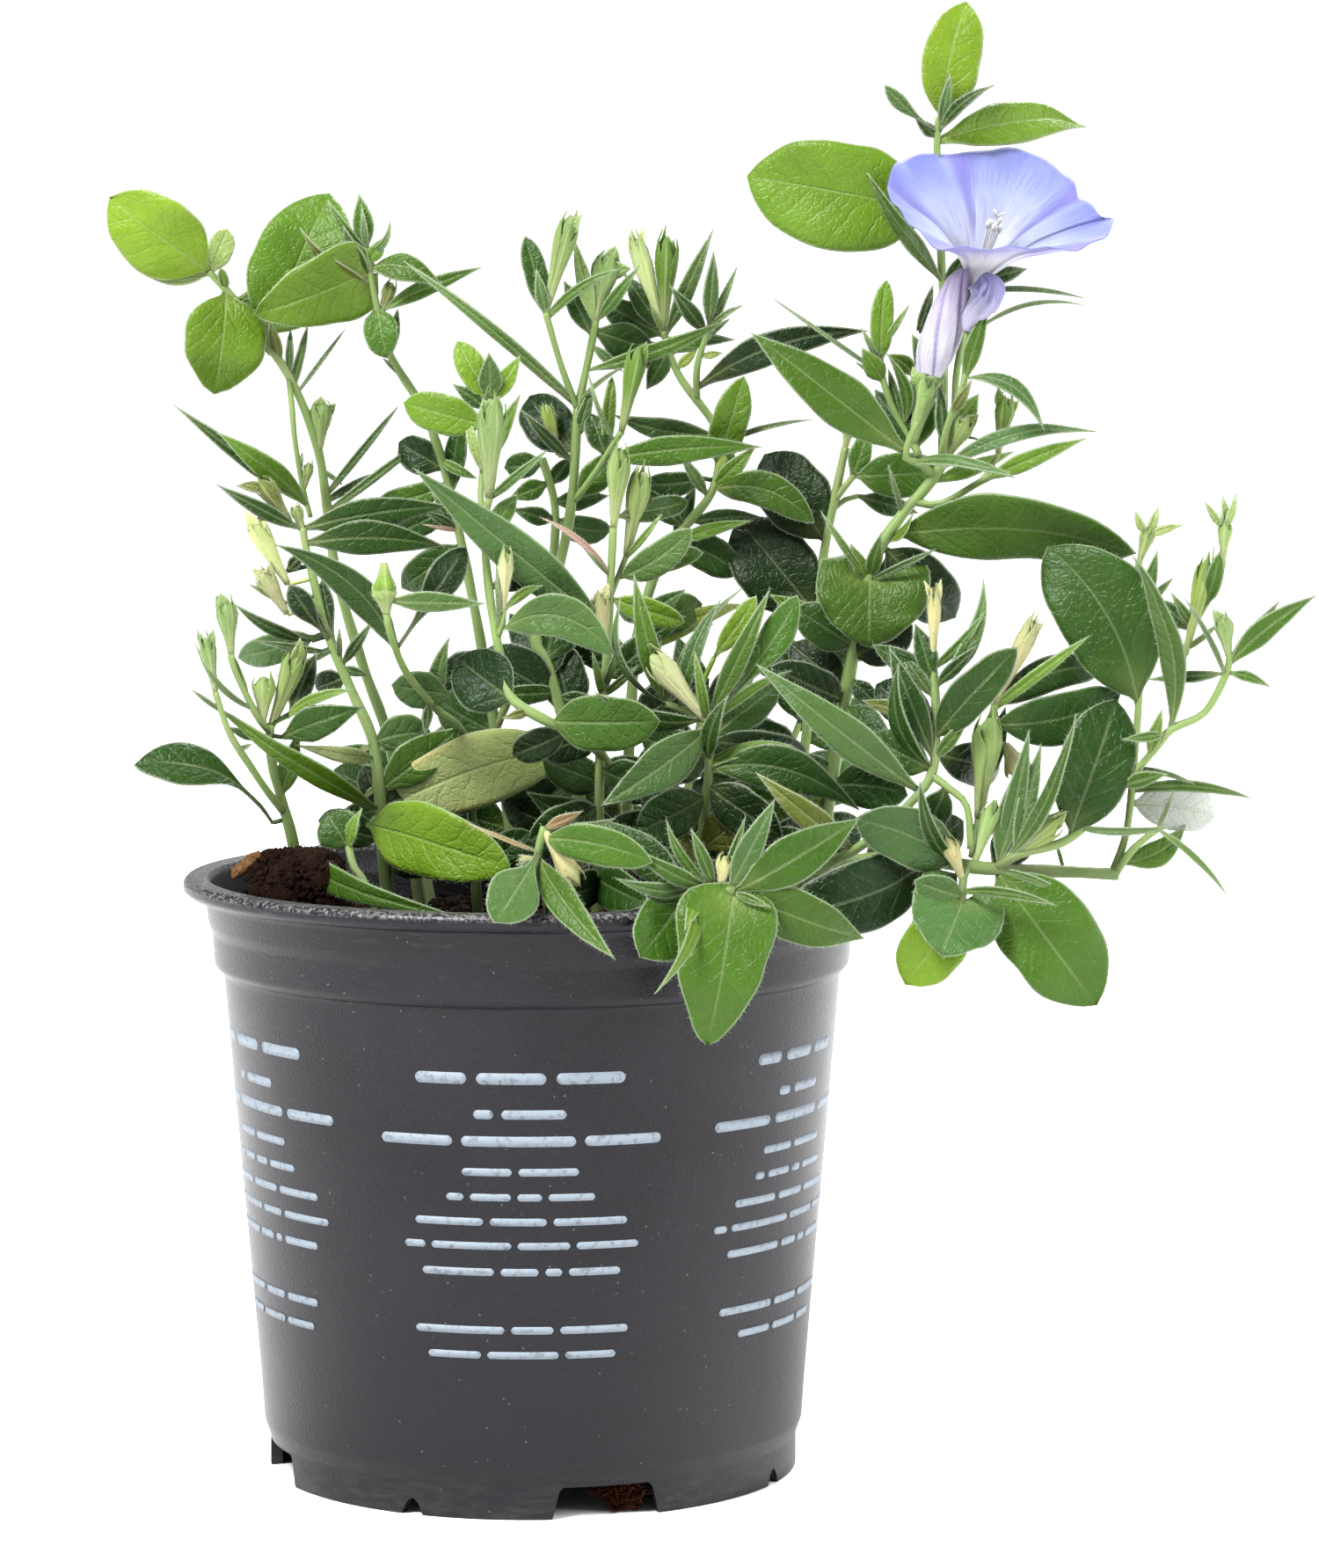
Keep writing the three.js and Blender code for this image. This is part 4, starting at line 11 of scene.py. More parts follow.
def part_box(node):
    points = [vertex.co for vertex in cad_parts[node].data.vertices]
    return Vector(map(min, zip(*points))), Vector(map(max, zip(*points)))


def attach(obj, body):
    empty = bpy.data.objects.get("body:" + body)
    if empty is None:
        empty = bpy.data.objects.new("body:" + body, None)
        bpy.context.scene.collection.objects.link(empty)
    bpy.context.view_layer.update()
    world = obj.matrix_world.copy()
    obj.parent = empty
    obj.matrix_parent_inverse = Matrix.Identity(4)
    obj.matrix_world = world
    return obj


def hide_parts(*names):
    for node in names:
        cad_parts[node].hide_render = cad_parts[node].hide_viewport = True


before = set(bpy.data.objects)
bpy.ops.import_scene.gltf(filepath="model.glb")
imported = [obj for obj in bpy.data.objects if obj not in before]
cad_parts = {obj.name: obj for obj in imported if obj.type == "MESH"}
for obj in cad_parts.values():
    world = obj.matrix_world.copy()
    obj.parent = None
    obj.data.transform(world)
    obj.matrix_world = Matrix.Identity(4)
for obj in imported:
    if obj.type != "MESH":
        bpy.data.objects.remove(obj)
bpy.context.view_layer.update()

MM = 0.001
POT_LOW, POT_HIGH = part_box("pot")
POT_AXIS = Vector(((POT_LOW[0] + POT_HIGH[0]) / 2, (POT_LOW[1] + POT_HIGH[1]) / 2, 0))

# The plan is a front elevation in perspective: across, up and toward the eye, in millimetres,
# seen from an eye 1 m in front of the pot's axis.
EYE_ACROSS = 23.8
EYE_LEVEL = 227
EYE_DISTANCE = 1000

# The camera's tilt in degrees up from straight down, its focal length and the width of its film.
CAMERA_TILT = 84.36
CAMERA_LENS = 123.6
FILM_WIDTH = 36

# Nursery pot
RIM_RADIUS = 65
POT_HEIGHT = 111.5
RING_RADIUS = 49.5
RING_INNER_RADIUS = 47.3
BASE_UNDERSIDE = 6.5
BASE_THICKNESS = 2.2
WALL_FOOT = (50.6, 9.3)
WALL_TOP = (57.5, 92.5)
# Openings in the foot ring: width at the bottom, width at the top, height.
ARCH = (20, 17, 5.9)
ARCH_ANGLES = (16.9, 106.9, 196.9, 286.9)
NOTCH = (4.2, 1.6, 3)
NOTCH_ANGLES = (-25, 65, 155, 245)
SLOT_DEPTH = 10
DRAIN_RADIUS = 4
DRAIN_CENTRE_RADIUS = 41
DRAIN_SIDES = 32

# Bars in place of a printed notice: how far a row lies below the first, its height, its bars' lengths.
PRINT_ROWS = (
    (0, 3, (9.5, 12.5, 12.5)),
    (6.5, 2.4, (3.6, 11.6)),
    (11.4, 2.7, (13.6, 20.6, 14.2)),
    (17, 2, (9, 10.8)),
    (21.6, 1.9, (3.2, 7.4, 4.4, 8.4)),
    (26.1, 2, (12.6, 10.2, 13.4)),
    (30.5, 1.9, (4, 14.6, 9.4, 11.4)),
    (35.3, 2, (13.2, 6.8, 3, 9.4)),
    (46, 2, (16.4, 7.6, 12.4)),
    (50.6, 1.9, (9.8, 12.8, 9.2)),
)

# How high the first row is, and where the panels are round the pot, in degrees from the front.
PRINT_TOP = 81.3
FRONT_PANEL = -1
PANEL_ANGLES = (FRONT_PANEL, 62, -64, 122, -127, 180)

# Potting mix and what lies on it or under the pot
MIX_TOP = 101
LUMP_CENTRE = Vector((-42, -26.5, 110))
LUMP_RADII = (9, 7.7, 8.8)
LUMP_SQUARENESS = 0.75
CHIP_CENTRE = Vector((-51.5, -26, 116))
CHIP_SIZE = (6.5, 4, 1.6)
TUFT_CENTRE = Vector((17.2, -42.4, 3.3))
ROOT_CLEARANCE = 0.4

# Plant
LEAF_THICKNESS = 0.34
HAIR_WIDTH = 0.034
HAIR_SPACING = 0.45
# A leaf or calyx whose foot lies further than this from its stem gets a stalk.
SNAP_DISTANCE = 2

# The light in the scene is bright, so a finish gives back only this share of what its colour code says.
DEPTH = 0.36

TONES = {
    "young": "86ab30",
    "bright": "6f952a",
    "mid": "527824",
    "dark": "375b1c",
    "deep": "233f18",
    "grey": "5a7b40",
    "pale": "a3bd70",
    "yellow": "e2eea0",
    "olive": "767f36",
    "lime": "abc257",
    "cream": "e0dba0",
    "tan": "b58f60",
    "pink": "c79a92",
    "silver": "c5cfc6",
    "stem": "9cb86e",
}

# Half width along a leaf of each outline, as a share of its widest half width.
OUTLINES = {
    "oval": (
        (0, 0.07), (0.05, 0.12), (0.12, 0.44), (0.22, 0.76), (0.36, 0.96), (0.52, 1),
        (0.68, 0.94), (0.82, 0.76), (0.92, 0.46), (0.98, 0.17), (1, 0),
    ),
    "lance": (
        (0, 0.16), (0.08, 0.3), (0.2, 0.68), (0.37, 1), (0.55, 0.93), (0.72, 0.67), (0.88, 0.3), (1, 0),
    ),
    "line": ((0, 0.5), (0.2, 0.9), (0.45, 1), (0.7, 0.78), (0.9, 0.34), (1, 0)),
    "spoon": (
        (0, 0.12), (0.25, 0.15), (0.4, 0.38), (0.58, 0.85), (0.72, 1), (0.86, 0.78), (0.95, 0.42), (1, 0),
    ),
    "heart": (
        (0, 0.12), (0.03, 0.5), (0.09, 0.86), (0.22, 1), (0.42, 0.93), (0.65, 0.74), (0.85, 0.44),
        (0.96, 0.2), (1, 0),
    ),
    "kidney": (
        (0, 0.3), (0.03, 0.72), (0.1, 0.92), (0.25, 1), (0.45, 0.95), (0.65, 0.78), (0.82, 0.55),
        (0.93, 0.33), (1, 0.04),
    ),
    "round": (
        (0, 0.08), (0.05, 0.13), (0.13, 0.52), (0.3, 0.92), (0.48, 1), (0.7, 0.88), (0.86, 0.58),
        (0.95, 0.3), (1, 0),
    ),
}

# How far the two lobes of an outline reach back past the foot, as a share of the leaf's length.
LOBES = {"heart": 0.06, "kidney": 0.36}

# The plan of the plant in millimetres: one line for each stem, calyx and leaf of a shoot.
# stem: radius at the foot, radius at the end, then its points: across, up, toward the eye.
# cup: a calyx or narrow bud: foot across, foot up, end across, end up, width, tone, then where
# the tips of its spread sepals are.
# leaf: foot across, foot up, tip across, tip up, how much nearer the eye the tip is than the foot,
# width, outline, tone, and where it has them, the turn of its upper side in degrees and its sideways arc.
# own: a leaf that is a piece of its own, with its name before the rest.
# A line that ends in a comma goes on in the next one.
PLAN = """
shoot left_shoot
stem 1.3 0.8, -43 100 10, -44.3 115 12, -46.8 125.5 14, -48.3 131 16, -49 137 18, -48.6 139.5 19
stem 0.8 0.6, -46.3 123 13.5, -49.5 127 18, -52.5 131.5 21, -56.5 138 24, -59 145.5 24
stem 0.7 0.6, -48.9 138 18.5, -51.5 141.5 21, -55.3 149.5 23, -56 152.5 23
cup -50 140 -49.8 149 4.6 pale
cup -48.3 138.5 -42.8 154.5 4.6 pale, -43 155.5
cup -56 152.5 -57 163 4.2 pale, -58.8 163.6, -58 164
cup -59.2 145.8 -60.8 156.5 3 pale, -62.3 157, -59.2 157.2
leaf -46.5 137 -31.8 142.4 4 6.5 lance dark 0 0.5
leaf -46 126 -43.5 138 2 4 lance mid
leaf -45.5 141 -33 145.8 3 2.2 line bright 20 0.8
leaf -45 141.5 -40 153 -5 4.5 lance deep
leaf -53.3 141.5 -62.7 154.6 3 1.3 line grey 0 1.5
leaf -52.5 145 -56 153 0 1.6 line bright
leaf -58.5 141.5 -63.5 146 1 1 line dark
leaf -51 136.5 -57 139 2 1.8 lance mid
leaf -54.5 134.8 -52.3 135.7 0 1 line grey
leaf -43.5 116.3 -17.5 103.8 43 5.2 lance mid 0 -1.2
own left_cupped_leaf -48.5 121 -74.5 131.4 6 10 spoon dark -52 -2.6

shoot small_left_shoot
stem 0.8 0.7, -29 100 40, -31 109 36, -33.3 112.5 34, -34.3 116.5 32
leaf -34.4 116.3 -38.3 122.8 -2 8.4 round dark
leaf -34.2 116 -32.3 123.6 2 3 lance bright 40

shoot second_shoot
stem 1.4 0.7, -26 98 4, -27.5 112 6, -28.3 124 8, -29.6 136 7, -33.5 145.5 5, -37.8 156 3, -41.4 170 1,
-42.5 176 0
cup -42.5 175.5 -44 180.5 2.4 pale
cup -44.8 177 -50.5 185.5 4 olive, -54.8 183.8
cup -45.3 165.5 -52.2 178 4.2 yellow, -53.3 179.3, -50.3 178.7
cup -45.5 160 -50.5 168.3 3.8 cream, -52 168.5, -48.5 169.5
leaf -42 176 -15 180 0 6 lance dark 0 1
leaf -41.5 173.3 -16 172.5 0 6.5 lance dark 0 1.5
leaf -43 175.5 -58.5 184 2 3 lance dark
leaf -45.5 162 -52.6 165.6 1 1.2 line mid
leaf -45.5 168 -42 172 0 2.5 lance deep
leaf -41 155 -55.5 162 2 3 lance dark 30
leaf -40 156 -55.5 151.5 -6 6 oval grey
leaf -39 153 -51.7 155 0 1.6 line dark
leaf -38 153 -47.8 148.3 2 1.2 line dark
leaf -28.2 127 -13 139 -3 8 lance mid
leaf -30 133 -43.5 135.3 10 3.2 lance yellow
leaf -29.5 136 -18.5 137.5 -1 7 oval grey 0 1
leaf -35.5 150 -30.5 148.6 0 2 lance grey
leaf -35.5 152 -39 166.5 -3 3 spoon deep
leaf -35 150.5 -29.5 158.8 2 2.2 lance dark
leaf -36 151 -35.8 157.5 0 1.2 line dark
leaf -38.5 154 -45.2 165.4 2 4.8 spoon deep
leaf -38 154 -42.5 164 0 1.5 line mid
leaf -29 124 -31.2 131.7 -3 5 oval deep
leaf -29 123.5 -36.5 122.3 -5 4 lance dark
leaf -30 136 -33.8 134.2 2 1 line yellow 0 0.5
leaf -30 128 -31.8 125.2 1 1.2 lance yellow
leaf -27.5 112 -13 118 4 8 oval dark
leaf -28 118 -40 121.5 -4 7 oval dark
leaf -28.3 124 -14 130 -5 9 oval deep
leaf -34.5 148.5 -40.5 146 -3 5 oval deep
own long_light_leaf -30 123 -59.3 141.2 16 4.6 lance bright 20 -1.7
own front_left_leaf -31 120.6 -5.8 112.6 22 13.4 oval young 0 1

shoot bud_stem
stem 1 0.65, -10 98 0, -11 118 0, -12.5 136.5 3, -17.5 142 12, -23.3 149 22, -26.2 156 28, -27 160 29
cup -27 160 -27.6 165.5 4.8 pale, -29.8 165.5, -25.3 165.5
cup -27.4 169.6 -27.2 163 4.3 young
leaf -26.9 162.5 -8.5 162 1 3.8 lance grey
leaf -16.8 142.5 -15.2 156 2 3.4 lance grey 0 1
leaf -15.5 145 -26.2 146.8 3 7 oval grey
leaf -19.5 143.5 -20 137 2 2 lance dark
leaf -10.6 112 -0.5 119 4 7 oval dark
own striped_lance_leaf -26.2 151.8 -47.8 172.7 4 6.5 lance dark 20 -4.5
own glossy_dark_leaf -25 153.5 -12.2 172.7 -2 6.5 spoon deep

shoot tall_left_shoot
stem 1.2 0.75, -20 98 -14, -23 118 -14, -27 137.5 -14, -31.3 150 -16, -36.2 167 -18, -38.2 182 -18,
-39.3 189.5 -18, -41.6 197 -17, -45.3 205 -16, -50 211.5 -15, -55 218.5 -14, -59.6 223.5 -13
stem 0.55 0.5, -44.9 204 -16, -44.4 199 -14, -43.8 192 -13, -42.3 183 -13, -41 178 -13
cup -39.2 190 -38.7 200 4.5 pale, -39 200.5, -36.2 199, -41 197.5
cup -41.5 183 -41 188.5 1.8 pale
leaf -59.3 223 -72.5 223.4 4 3.5 lance pale 150
leaf -59.2 223.2 -56 231.5 -3 5 oval pale
leaf -56.5 219.8 -57.4 224.2 1 2 oval bright
leaf -54.8 218.3 -48.5 217 -3 5 lance pale
leaf -51 213 -48.5 208 2 1.2 line grey
leaf -46 206.5 -48.5 215 1 2.5 lance olive
leaf -44.7 204 -44.5 213 -1 1.6 line dark
leaf -43.9 202.3 -41.3 213.5 -2 1.7 line dark
leaf -43.3 201 -34.3 213 -3 0.9 line dark
leaf -41.6 180.5 -66.3 198.8 5 3 lance dark
leaf -41.5 180 -58.3 192.8 8 5 lance bright 20 -1.5
leaf -38.2 182 -24.5 198.8 -3 1.6 line dark
leaf -38 181 -30 186 -2 1.6 line dark
leaf -37.5 179 -19.8 192.5 -4 1.8 line grey
leaf -38.5 187 -35 184 0 1 line mid
leaf -41.2 187 -42.5 190.2 0 0.8 line mid
leaf -22 112 -8 119 -4 8 oval deep
leaf -24 124 -11 133 -4 9 oval deep
leaf -24.3 125 -37 131 -4 8 oval dark
own top_left_leaf -59.3 223.8 -77.8 236.6 6 15 oval young 10 -0.5
own round_left_leaf -57.5 219 -58.5 201 3 15.5 round bright 10
own broad_back_leaf -49.5 211 -37 238 -4 18 oval bright

shoot upper_left_shoot
stem 1.2 0.7, -3 98 -20, -4 118 -20, -9 152 -20, -14 178 -19, -16.3 187.5 -18, -18 193 -16,
-20.2 198.5 -15, -26.3 208.5 -13, -28.8 218 -11, -30.5 228 -10
stem 0.9 0.8, -7 138 -20, 2 160 -18, 4.5 178 -17, 2 189 -16
cup -28 215 -25.5 222 2.6 olive
leaf -30.5 227.5 -31.7 237.8 0 4 lance mid
leaf -30.4 227 -31.2 235.5 2 1.5 lance grey
leaf -30 222 -35 231.8 2 3 lance dark 20
leaf -30 221 -43 230.8 4 3.5 lance olive 40
leaf -30.5 227 -37.7 236.5 0 2 line mid 30
leaf -30.2 227 -26 232.7 2 1.5 line grey 0 -1.5
leaf -29.8 225 -27 229.8 1 3 lance bright
leaf -29.5 224 -16.3 220.9 4 5.5 lance mid 20 1.5
leaf -28.4 216 -9 224.3 -2 3.2 lance mid 0 0.5
leaf -28.2 215 -29.8 223 0 1.2 line grey
leaf -28.5 217 -26.8 207.6 3 6.5 oval mid
leaf -26 208 -24.6 217 -2 2.2 lance mid
leaf -23.7 204 -27.5 207.5 0 1 line mid
leaf -16.3 188.5 -10.4 185.3 3 2.2 line mid
leaf -14 177 -18.7 183.2 1 2.4 lance mid
leaf -14 176 -20.3 179.5 2 2 lance dark
leaf -14 175.5 -20.2 176.7 2 0.9 line pink
leaf -13.6 174.5 -12.2 180.5 0 1.6 lance young
leaf -16.3 187 -24.5 192 -3 7 oval deep
leaf -14.8 182 -12 199 -1 5 lance dark 30
leaf -13.5 173 -24.5 164.5 -4 6.6 oval dark
leaf -4 116 9 122 -2 9 oval deep
leaf -4 120 -17 124 -4 9 oval dark
leaf -5 127 8 134 -4 9 oval deep
leaf -6.5 138 -18 144 -6 9 oval dark
leaf -8 146 3 152 -3 8 oval dark
leaf 3 188.5 -5 187.2 -2 5 oval dark
leaf -17.5 184 -28.5 181 -3 5 oval mid 0 1
leaf -15 180 -27 174 -4 5.5 oval dark
leaf 4.2 181 14.5 182 -1 4 lance dark
leaf 4.4 177.5 15 175.8 -1 5.4 oval grey 0 -0.8
leaf 4.4 177.5 -3.5 179.5 2 3.6 lance dark
leaf 3.4 184.5 -4 181.5 1 4 lance mid
leaf 3.6 184 8 189.5 -2 3.4 lance dark
own heart_gloss_leaf -29.6 223.5 -51 215.4 6 14.5 heart bright 15

shoot front_bright_shoot
stem 1.25 0.75, 15 98 4, 16 120 6, 14 132 14, 9 137 24, 3.5 139.7 28, -3.3 143.8 27, -5.2 149 25,
-7.6 162 21, -8.8 176 17, -7.8 181.5 16
stem 0.6 0.5, -6.4 155.5 23, -5.3 158.5 24, -5.2 161 24
stem 0.6 0.6, -8.6 172 17, -9.4 182 8, -8.5 191 6, -7.5 200 6
cup -7.8 181.5 -7.2 201 5.6 pale, -9 200, -6 200.5
cup -5.3 160.5 -4.6 172.3 2.9 cream
leaf -5.8 157 -6.6 169.3 1 0.9 line mid
leaf -4.8 160.5 2.5 165.4 -3 2 lance bright 0 1
leaf -3.3 143.5 -13.5 151.5 -8 12 round deep
leaf -0.3 141.8 -5.5 140.5 2 2 lance olive
leaf -8 195 -23.7 199.2 -4 7.5 oval bright
leaf -7.6 199.5 -13.7 210.7 -2 5.5 oval young
leaf -7.8 198 -14.6 202.7 0 3 lance dark
leaf -7.5 199.5 -7.8 208.6 2 4.5 lance grey
leaf -7.5 199 -2 208 -2 3.6 lance young
leaf -8.8 187 -2 200.8 -2 3.2 lance bright
leaf -9 186 -12.5 198 -2 2.2 lance pale
leaf 7 138.2 -4 133.5 -4 6 oval deep
leaf 15 128 2 133 -4 7.5 oval dark
leaf 16 121 -1 126.5 4 7 lance dark 10 1
leaf 15.8 112 3 107 10 7 oval deep
leaf 16 118 27 112.5 10 7 oval deep
leaf -8.2 165 1.5 167.5 -3 4 oval deep
leaf -8.6 174 -2.5 182.5 -6 4 lance mid
leaf -6.8 181.5 3 190.5 1 1.8 line mid
own arched_front_leaf -5 156.5 15.5 152.5 6 8 oval grey 0 5
own glossy_front_leaf 3.2 139.8 23.8 140 6 10.5 oval mid

shoot centre_shoot
stem 1.4 0.85, 9 98 -2, 9 118 -2, 8 132 -2, 3.2 149.5 -3, 0.8 156 -4, 5.3 169.5 -6, 7.6 182 -6,
8.6 198.5 -6
stem 0.65 0.6, 8.6 198 -6, 5.6 206 -4, 2.7 216 -2
stem 0.8 0.7, 8.6 198 -6, 11 209 -7, 12 214.5 -7
stem 0.65 0.6, 7.8 181 -6, 11 185 -4, 16.8 194 0
cup 2.7 216 8 235.2 4.4 pale, 9.3 234
cup 12 215 14.5 227.5 5.5 pale, 15.7 228.3, 18.5 224
cup 16.8 194 20.3 210.8 4.2 bright, 21.5 210.5
cup 5 189.5 2.5 199.6 2.8 lime
leaf 8 199 -23.5 225.3 3 2.4 line grey 0 -0.8
leaf 2.9 215.5 -1 230 -3 4.5 oval dark
leaf 2.7 215 1 224 1 2.6 lance grey
leaf 11.8 213.5 7.9 229.8 1 3 lance pale
leaf 11.5 211.5 6 222 -2 4 lance dark
leaf 3 215 16.5 224 4 2 line mid 0 1.2
leaf 12 214 20 224.5 2 2.5 lance mid
leaf 12 212.5 24 208.5 -4 7 lance dark
leaf 11.2 210 17 205 0 2 lance grey
leaf 15.5 192 10.6 205 1 1 line mid 0 0.6
leaf 9 199.5 17.8 206.3 2 0.9 line mid 0 0.6
leaf 13.5 189.5 15 204.3 -2 2.6 oval bright
leaf 8.2 192 11.5 203 0 2.6 lance grey
leaf 8 190 -1 201 -8 9.5 oval deep
leaf 7.9 188 -2 198 2 2.5 lance dark
leaf 14.5 188 42.5 190.9 3 5.5 lance mid 0 1
leaf 11.3 205 36.8 214.7 3 3.2 lance mid 0 -0.8
leaf 4.5 145.5 -8 144.9 2 3.6 line dark
leaf 5 144.5 13 143.8 2 3 lance dark
leaf 2 152 -4 160 -8 6 lance deep
leaf 4 148 3 160 -6 7 oval deep
leaf 8 132 -9 128 -4 8 oval deep 0 1
leaf 8.6 126 22 132 -3 8 oval dark
leaf 4.5 145 -9.5 153 -2 11 round deep
leaf 2.8 151 5 163 -6 10 oval dark
leaf 9 119 -6 125 -6 8 oval deep 10
leaf 9 119 24 116 -2 8 oval mid 20
leaf 8.3 181.5 16.8 191 -2 5.8 lance mid
leaf 8 140 4 155 -6 9 oval deep
leaf 14.5 189 11 197.5 -3 4.5 oval dark
own yellowing_leaf 8.5 135 -28.8 122.5 12 13.8 oval yellow 0 -2.4

shoot spent_flower_shoot
stem 1.3 0.7, 17 98 -8, 17.5 118 -8, 19 150 -9, 21.5 163 -10, 25.5 172.5 -10, 33.3 182.3 -9, 35.2 191.5 -9,
33.5 196 -10, 27.3 204.5 -12, 24.5 212.5 -12
stem 0.65 0.6, 30.8 199.5 -11, 30.8 206 -9, 33 213.2 -8
cup 24.4 212.5 19 230.3 3.8 yellow, 18 230.3, 21 231.8
cup 24.6 212.5 25.3 231.2 4.6 bright
cup 34.2 184 37 191.3 3.4 lime
leaf 24.8 211 22 217.5 1 1.2 line bright
leaf 25 211.5 33.7 231.2 3 3.2 lance grey
leaf 33 213 33.8 227.3 0 3 lance grey
leaf 32 210 38.2 224.5 0 1.7 line grey
leaf 32.5 212 25.8 220.8 2 3.2 lance dark
leaf 33 213 39.3 217.3 1 1.2 line mid 0 0.5
leaf 24.6 211 37.8 210.9 -4 2.6 lance dark
leaf 25 208 36.8 214.7 3 3.2 lance mid
leaf 24.8 210 18.5 222.7 -4 3 lance dark
leaf 30.8 202 62.5 212.5 5 6.2 lance deep 0 3
leaf 27 205.5 31 209.5 2 2 lance lime
leaf 31 208 35.5 208.5 0 1.5 lance lime
leaf 35.2 187 39.4 203.8 5 6.9 oval bright
leaf 35.2 191.5 52 196 2 1.1 line dark 0 1
leaf 34 183.5 41.5 191 2 3.5 lance bright
leaf 32.5 182 27.5 190 1 2.4 lance grey
leaf 28 176.5 20 184 2 4 lance dark
leaf 26 174 30.5 184 -4 3.2 lance dark
leaf 25.5 173 41.2 177.4 4 2.8 lance bright 20 0.5
leaf 33.8 183 52.5 177 5 6.8 oval mid 0 3.2
leaf 26.5 173.5 38.6 167.5 -2 7.2 oval dark 0 1
leaf 20.8 160 28.5 164.5 2 3.5 lance grey
leaf 20 155 28.5 159.5 2 3.5 lance dark
leaf 20.6 158 15.5 163 -3 3.5 lance grey
leaf 20 155 34 158 -6 3.5 lance lime 0 2
leaf 19.6 152 41 162 -8 4 lance lime 0 2
leaf 18.5 140 33 148 -4 9 oval deep
leaf 18 130 34 135 -6 10 oval dark
leaf 17.6 122 3 129 -6 8 oval dark
leaf 19 150 7 157 -5 8 oval dark
leaf 20.5 158 32 162 -3 7.5 oval mid
leaf 17.5 113 32 119 -2 8 oval mid 10
leaf 31.8 185.3 20.8 184.3 -2 4.8 oval dark 0 0.5
leaf 24.3 211.5 13.5 217.5 -3 6 oval dark
leaf 24.4 212 17 223.5 -3 4.5 lance dark
leaf 24.5 209.5 16.2 206.5 -3 5 oval dark
leaf 34 193 15.3 197 -2 4.6 lance grey 0 1
leaf 28.5 177.8 43 178 -2 3.5 lance dark 0 0.5
leaf 24.8 209 21.3 201.5 -2 4 lance dark

shoot centre_front_shoot
stem 1.1 0.7, 12 98 14, 12.8 135 16, 14 153 16, 14.8 168 15, 15.2 176 14
stem 0.55 0.5, 14.8 163.5 15, 16.3 167.5 13, 17.7 171 12
cup 15.2 176 16.6 191.5 4.6 pale
cup 17.7 171 20.8 187.5 4.6 pale, 21.2 186.5
cup 13.9 152 12.6 165 3.4 cream, 11.8 164, 14.4 166
leaf 13.2 144 11.3 153 3 1.6 line bright
leaf 13.3 145 20 150.5 2 1.6 line mid
leaf 13.3 146 16.5 155 3 1.5 line mid
leaf 14.8 167 1.5 178 2 1.3 line pink 0 -1.5
leaf 14.8 167 9.5 172.6 2 0.9 line mid
leaf 17.5 170.5 24.3 178.7 1 1.4 line bright
leaf 12.6 131 26 127 4 8 oval dark -10
leaf 12.5 124 -1 118 6 8 oval dark 10
leaf 12.8 138 1 134 3 7 oval deep
leaf 12.4 116 27 121 5 9 oval deep 0 1
leaf 13.5 148 24 156 -2 6.5 oval dark
leaf 12.2 111 22 105.5 20 8 oval dark
leaf 12.2 110 1.5 106 22 7 oval deep
leaf 15.4 178 30 181 -9 4.4 oval dark
leaf 16.5 166.5 30 176 3 6 oval grey 0 -1
leaf 17.5 167 32 171.5 1 5 oval mid 0 0.5
leaf 14.5 163 28.5 158.5 -2 5 oval bright
own pale_lance_leaf 14.4 157.5 -22 187.3 10 8.2 lance grey

shoot right_front_shoot
stem 0.95 0.8, 30 98 25, 31 112 26, 33 131 29, 33 140.5 29
stem 0.75 0.7, 33 140 29, 28.5 142 26, 24.5 143.3 24
cup 32.5 140.8 21.5 153.3 5.2 cream
leaf 24.6 143.3 19 167.4 2 4.2 lance mid 0 0.3
leaf 24.8 143.2 15.2 162 6 3 line grey 60 2.2
leaf 32.6 140.3 30.3 153.2 4 2 line bright
leaf 27.5 142.3 35 163 -3 3.6 lance grey 20 0.5
leaf 25 143 39 165 -6 1.9 line grey 30 1.5
leaf 33 140.5 44.4 164.6 2 3.9 lance mid
leaf 33.2 140 49.5 163.5 -3 6.2 spoon mid 10 -1.5
leaf 33 139 49 149.6 -4 2 lance bright 0 1.5
leaf 33 137 46 147 -7 7 oval dark
leaf 33 132.2 36.7 145 4 4 lance dark 30 0.5
leaf 33 131.8 49 135.3 2 3 line bright 40 1
leaf 33 131 61 123.3 4 8.5 lance dark 0 4
leaf 32.7 138.8 12.6 124 9 8.2 lance grey 0 0.5
leaf 32 140.4 11.8 145 6 4.2 lance dark 20 1.5
leaf 33 136.5 52 134 -6 6 oval deep
leaf 31.8 122 19.5 127 -3 5 oval dark
leaf 31 113 26 128 -5 8 oval olive
leaf 32 126 19 119 6 9 oval dark 10
leaf 32.5 128 47 118.5 5 9 oval deep -10
leaf 31 116 43 125 2 8.5 oval olive
leaf 33 134 20 137 -4 7 oval dark
leaf 31 112 43.5 107.5 9 8 oval deep
leaf 34 152 42 163.5 -2 4 oval young

shoot front_rosette
stem 1.2 1, 24 98 24, 26 103 38, 28 107.5 50, 30.5 109 56, 34 108.6 59, 38 108 61
cup 35.3 108.8 36.2 115.2 3.2 cream
leaf 30.5 108.8 23.1 88.8 22 3 lance bright 30 0.8
leaf 31.5 108.8 28.6 100.8 12 3 lance bright
leaf 37.5 108.1 44.8 105 4 1.8 lance mid
leaf 34.3 108.8 29.6 120 1 2.6 lance mid
leaf 36.8 108.3 45.4 125.4 0 4.6 lance grey
leaf 37.8 108 63 98.5 -8 9.5 lance mid
leaf 35.5 108.5 40 122.4 -2 2 lance mid
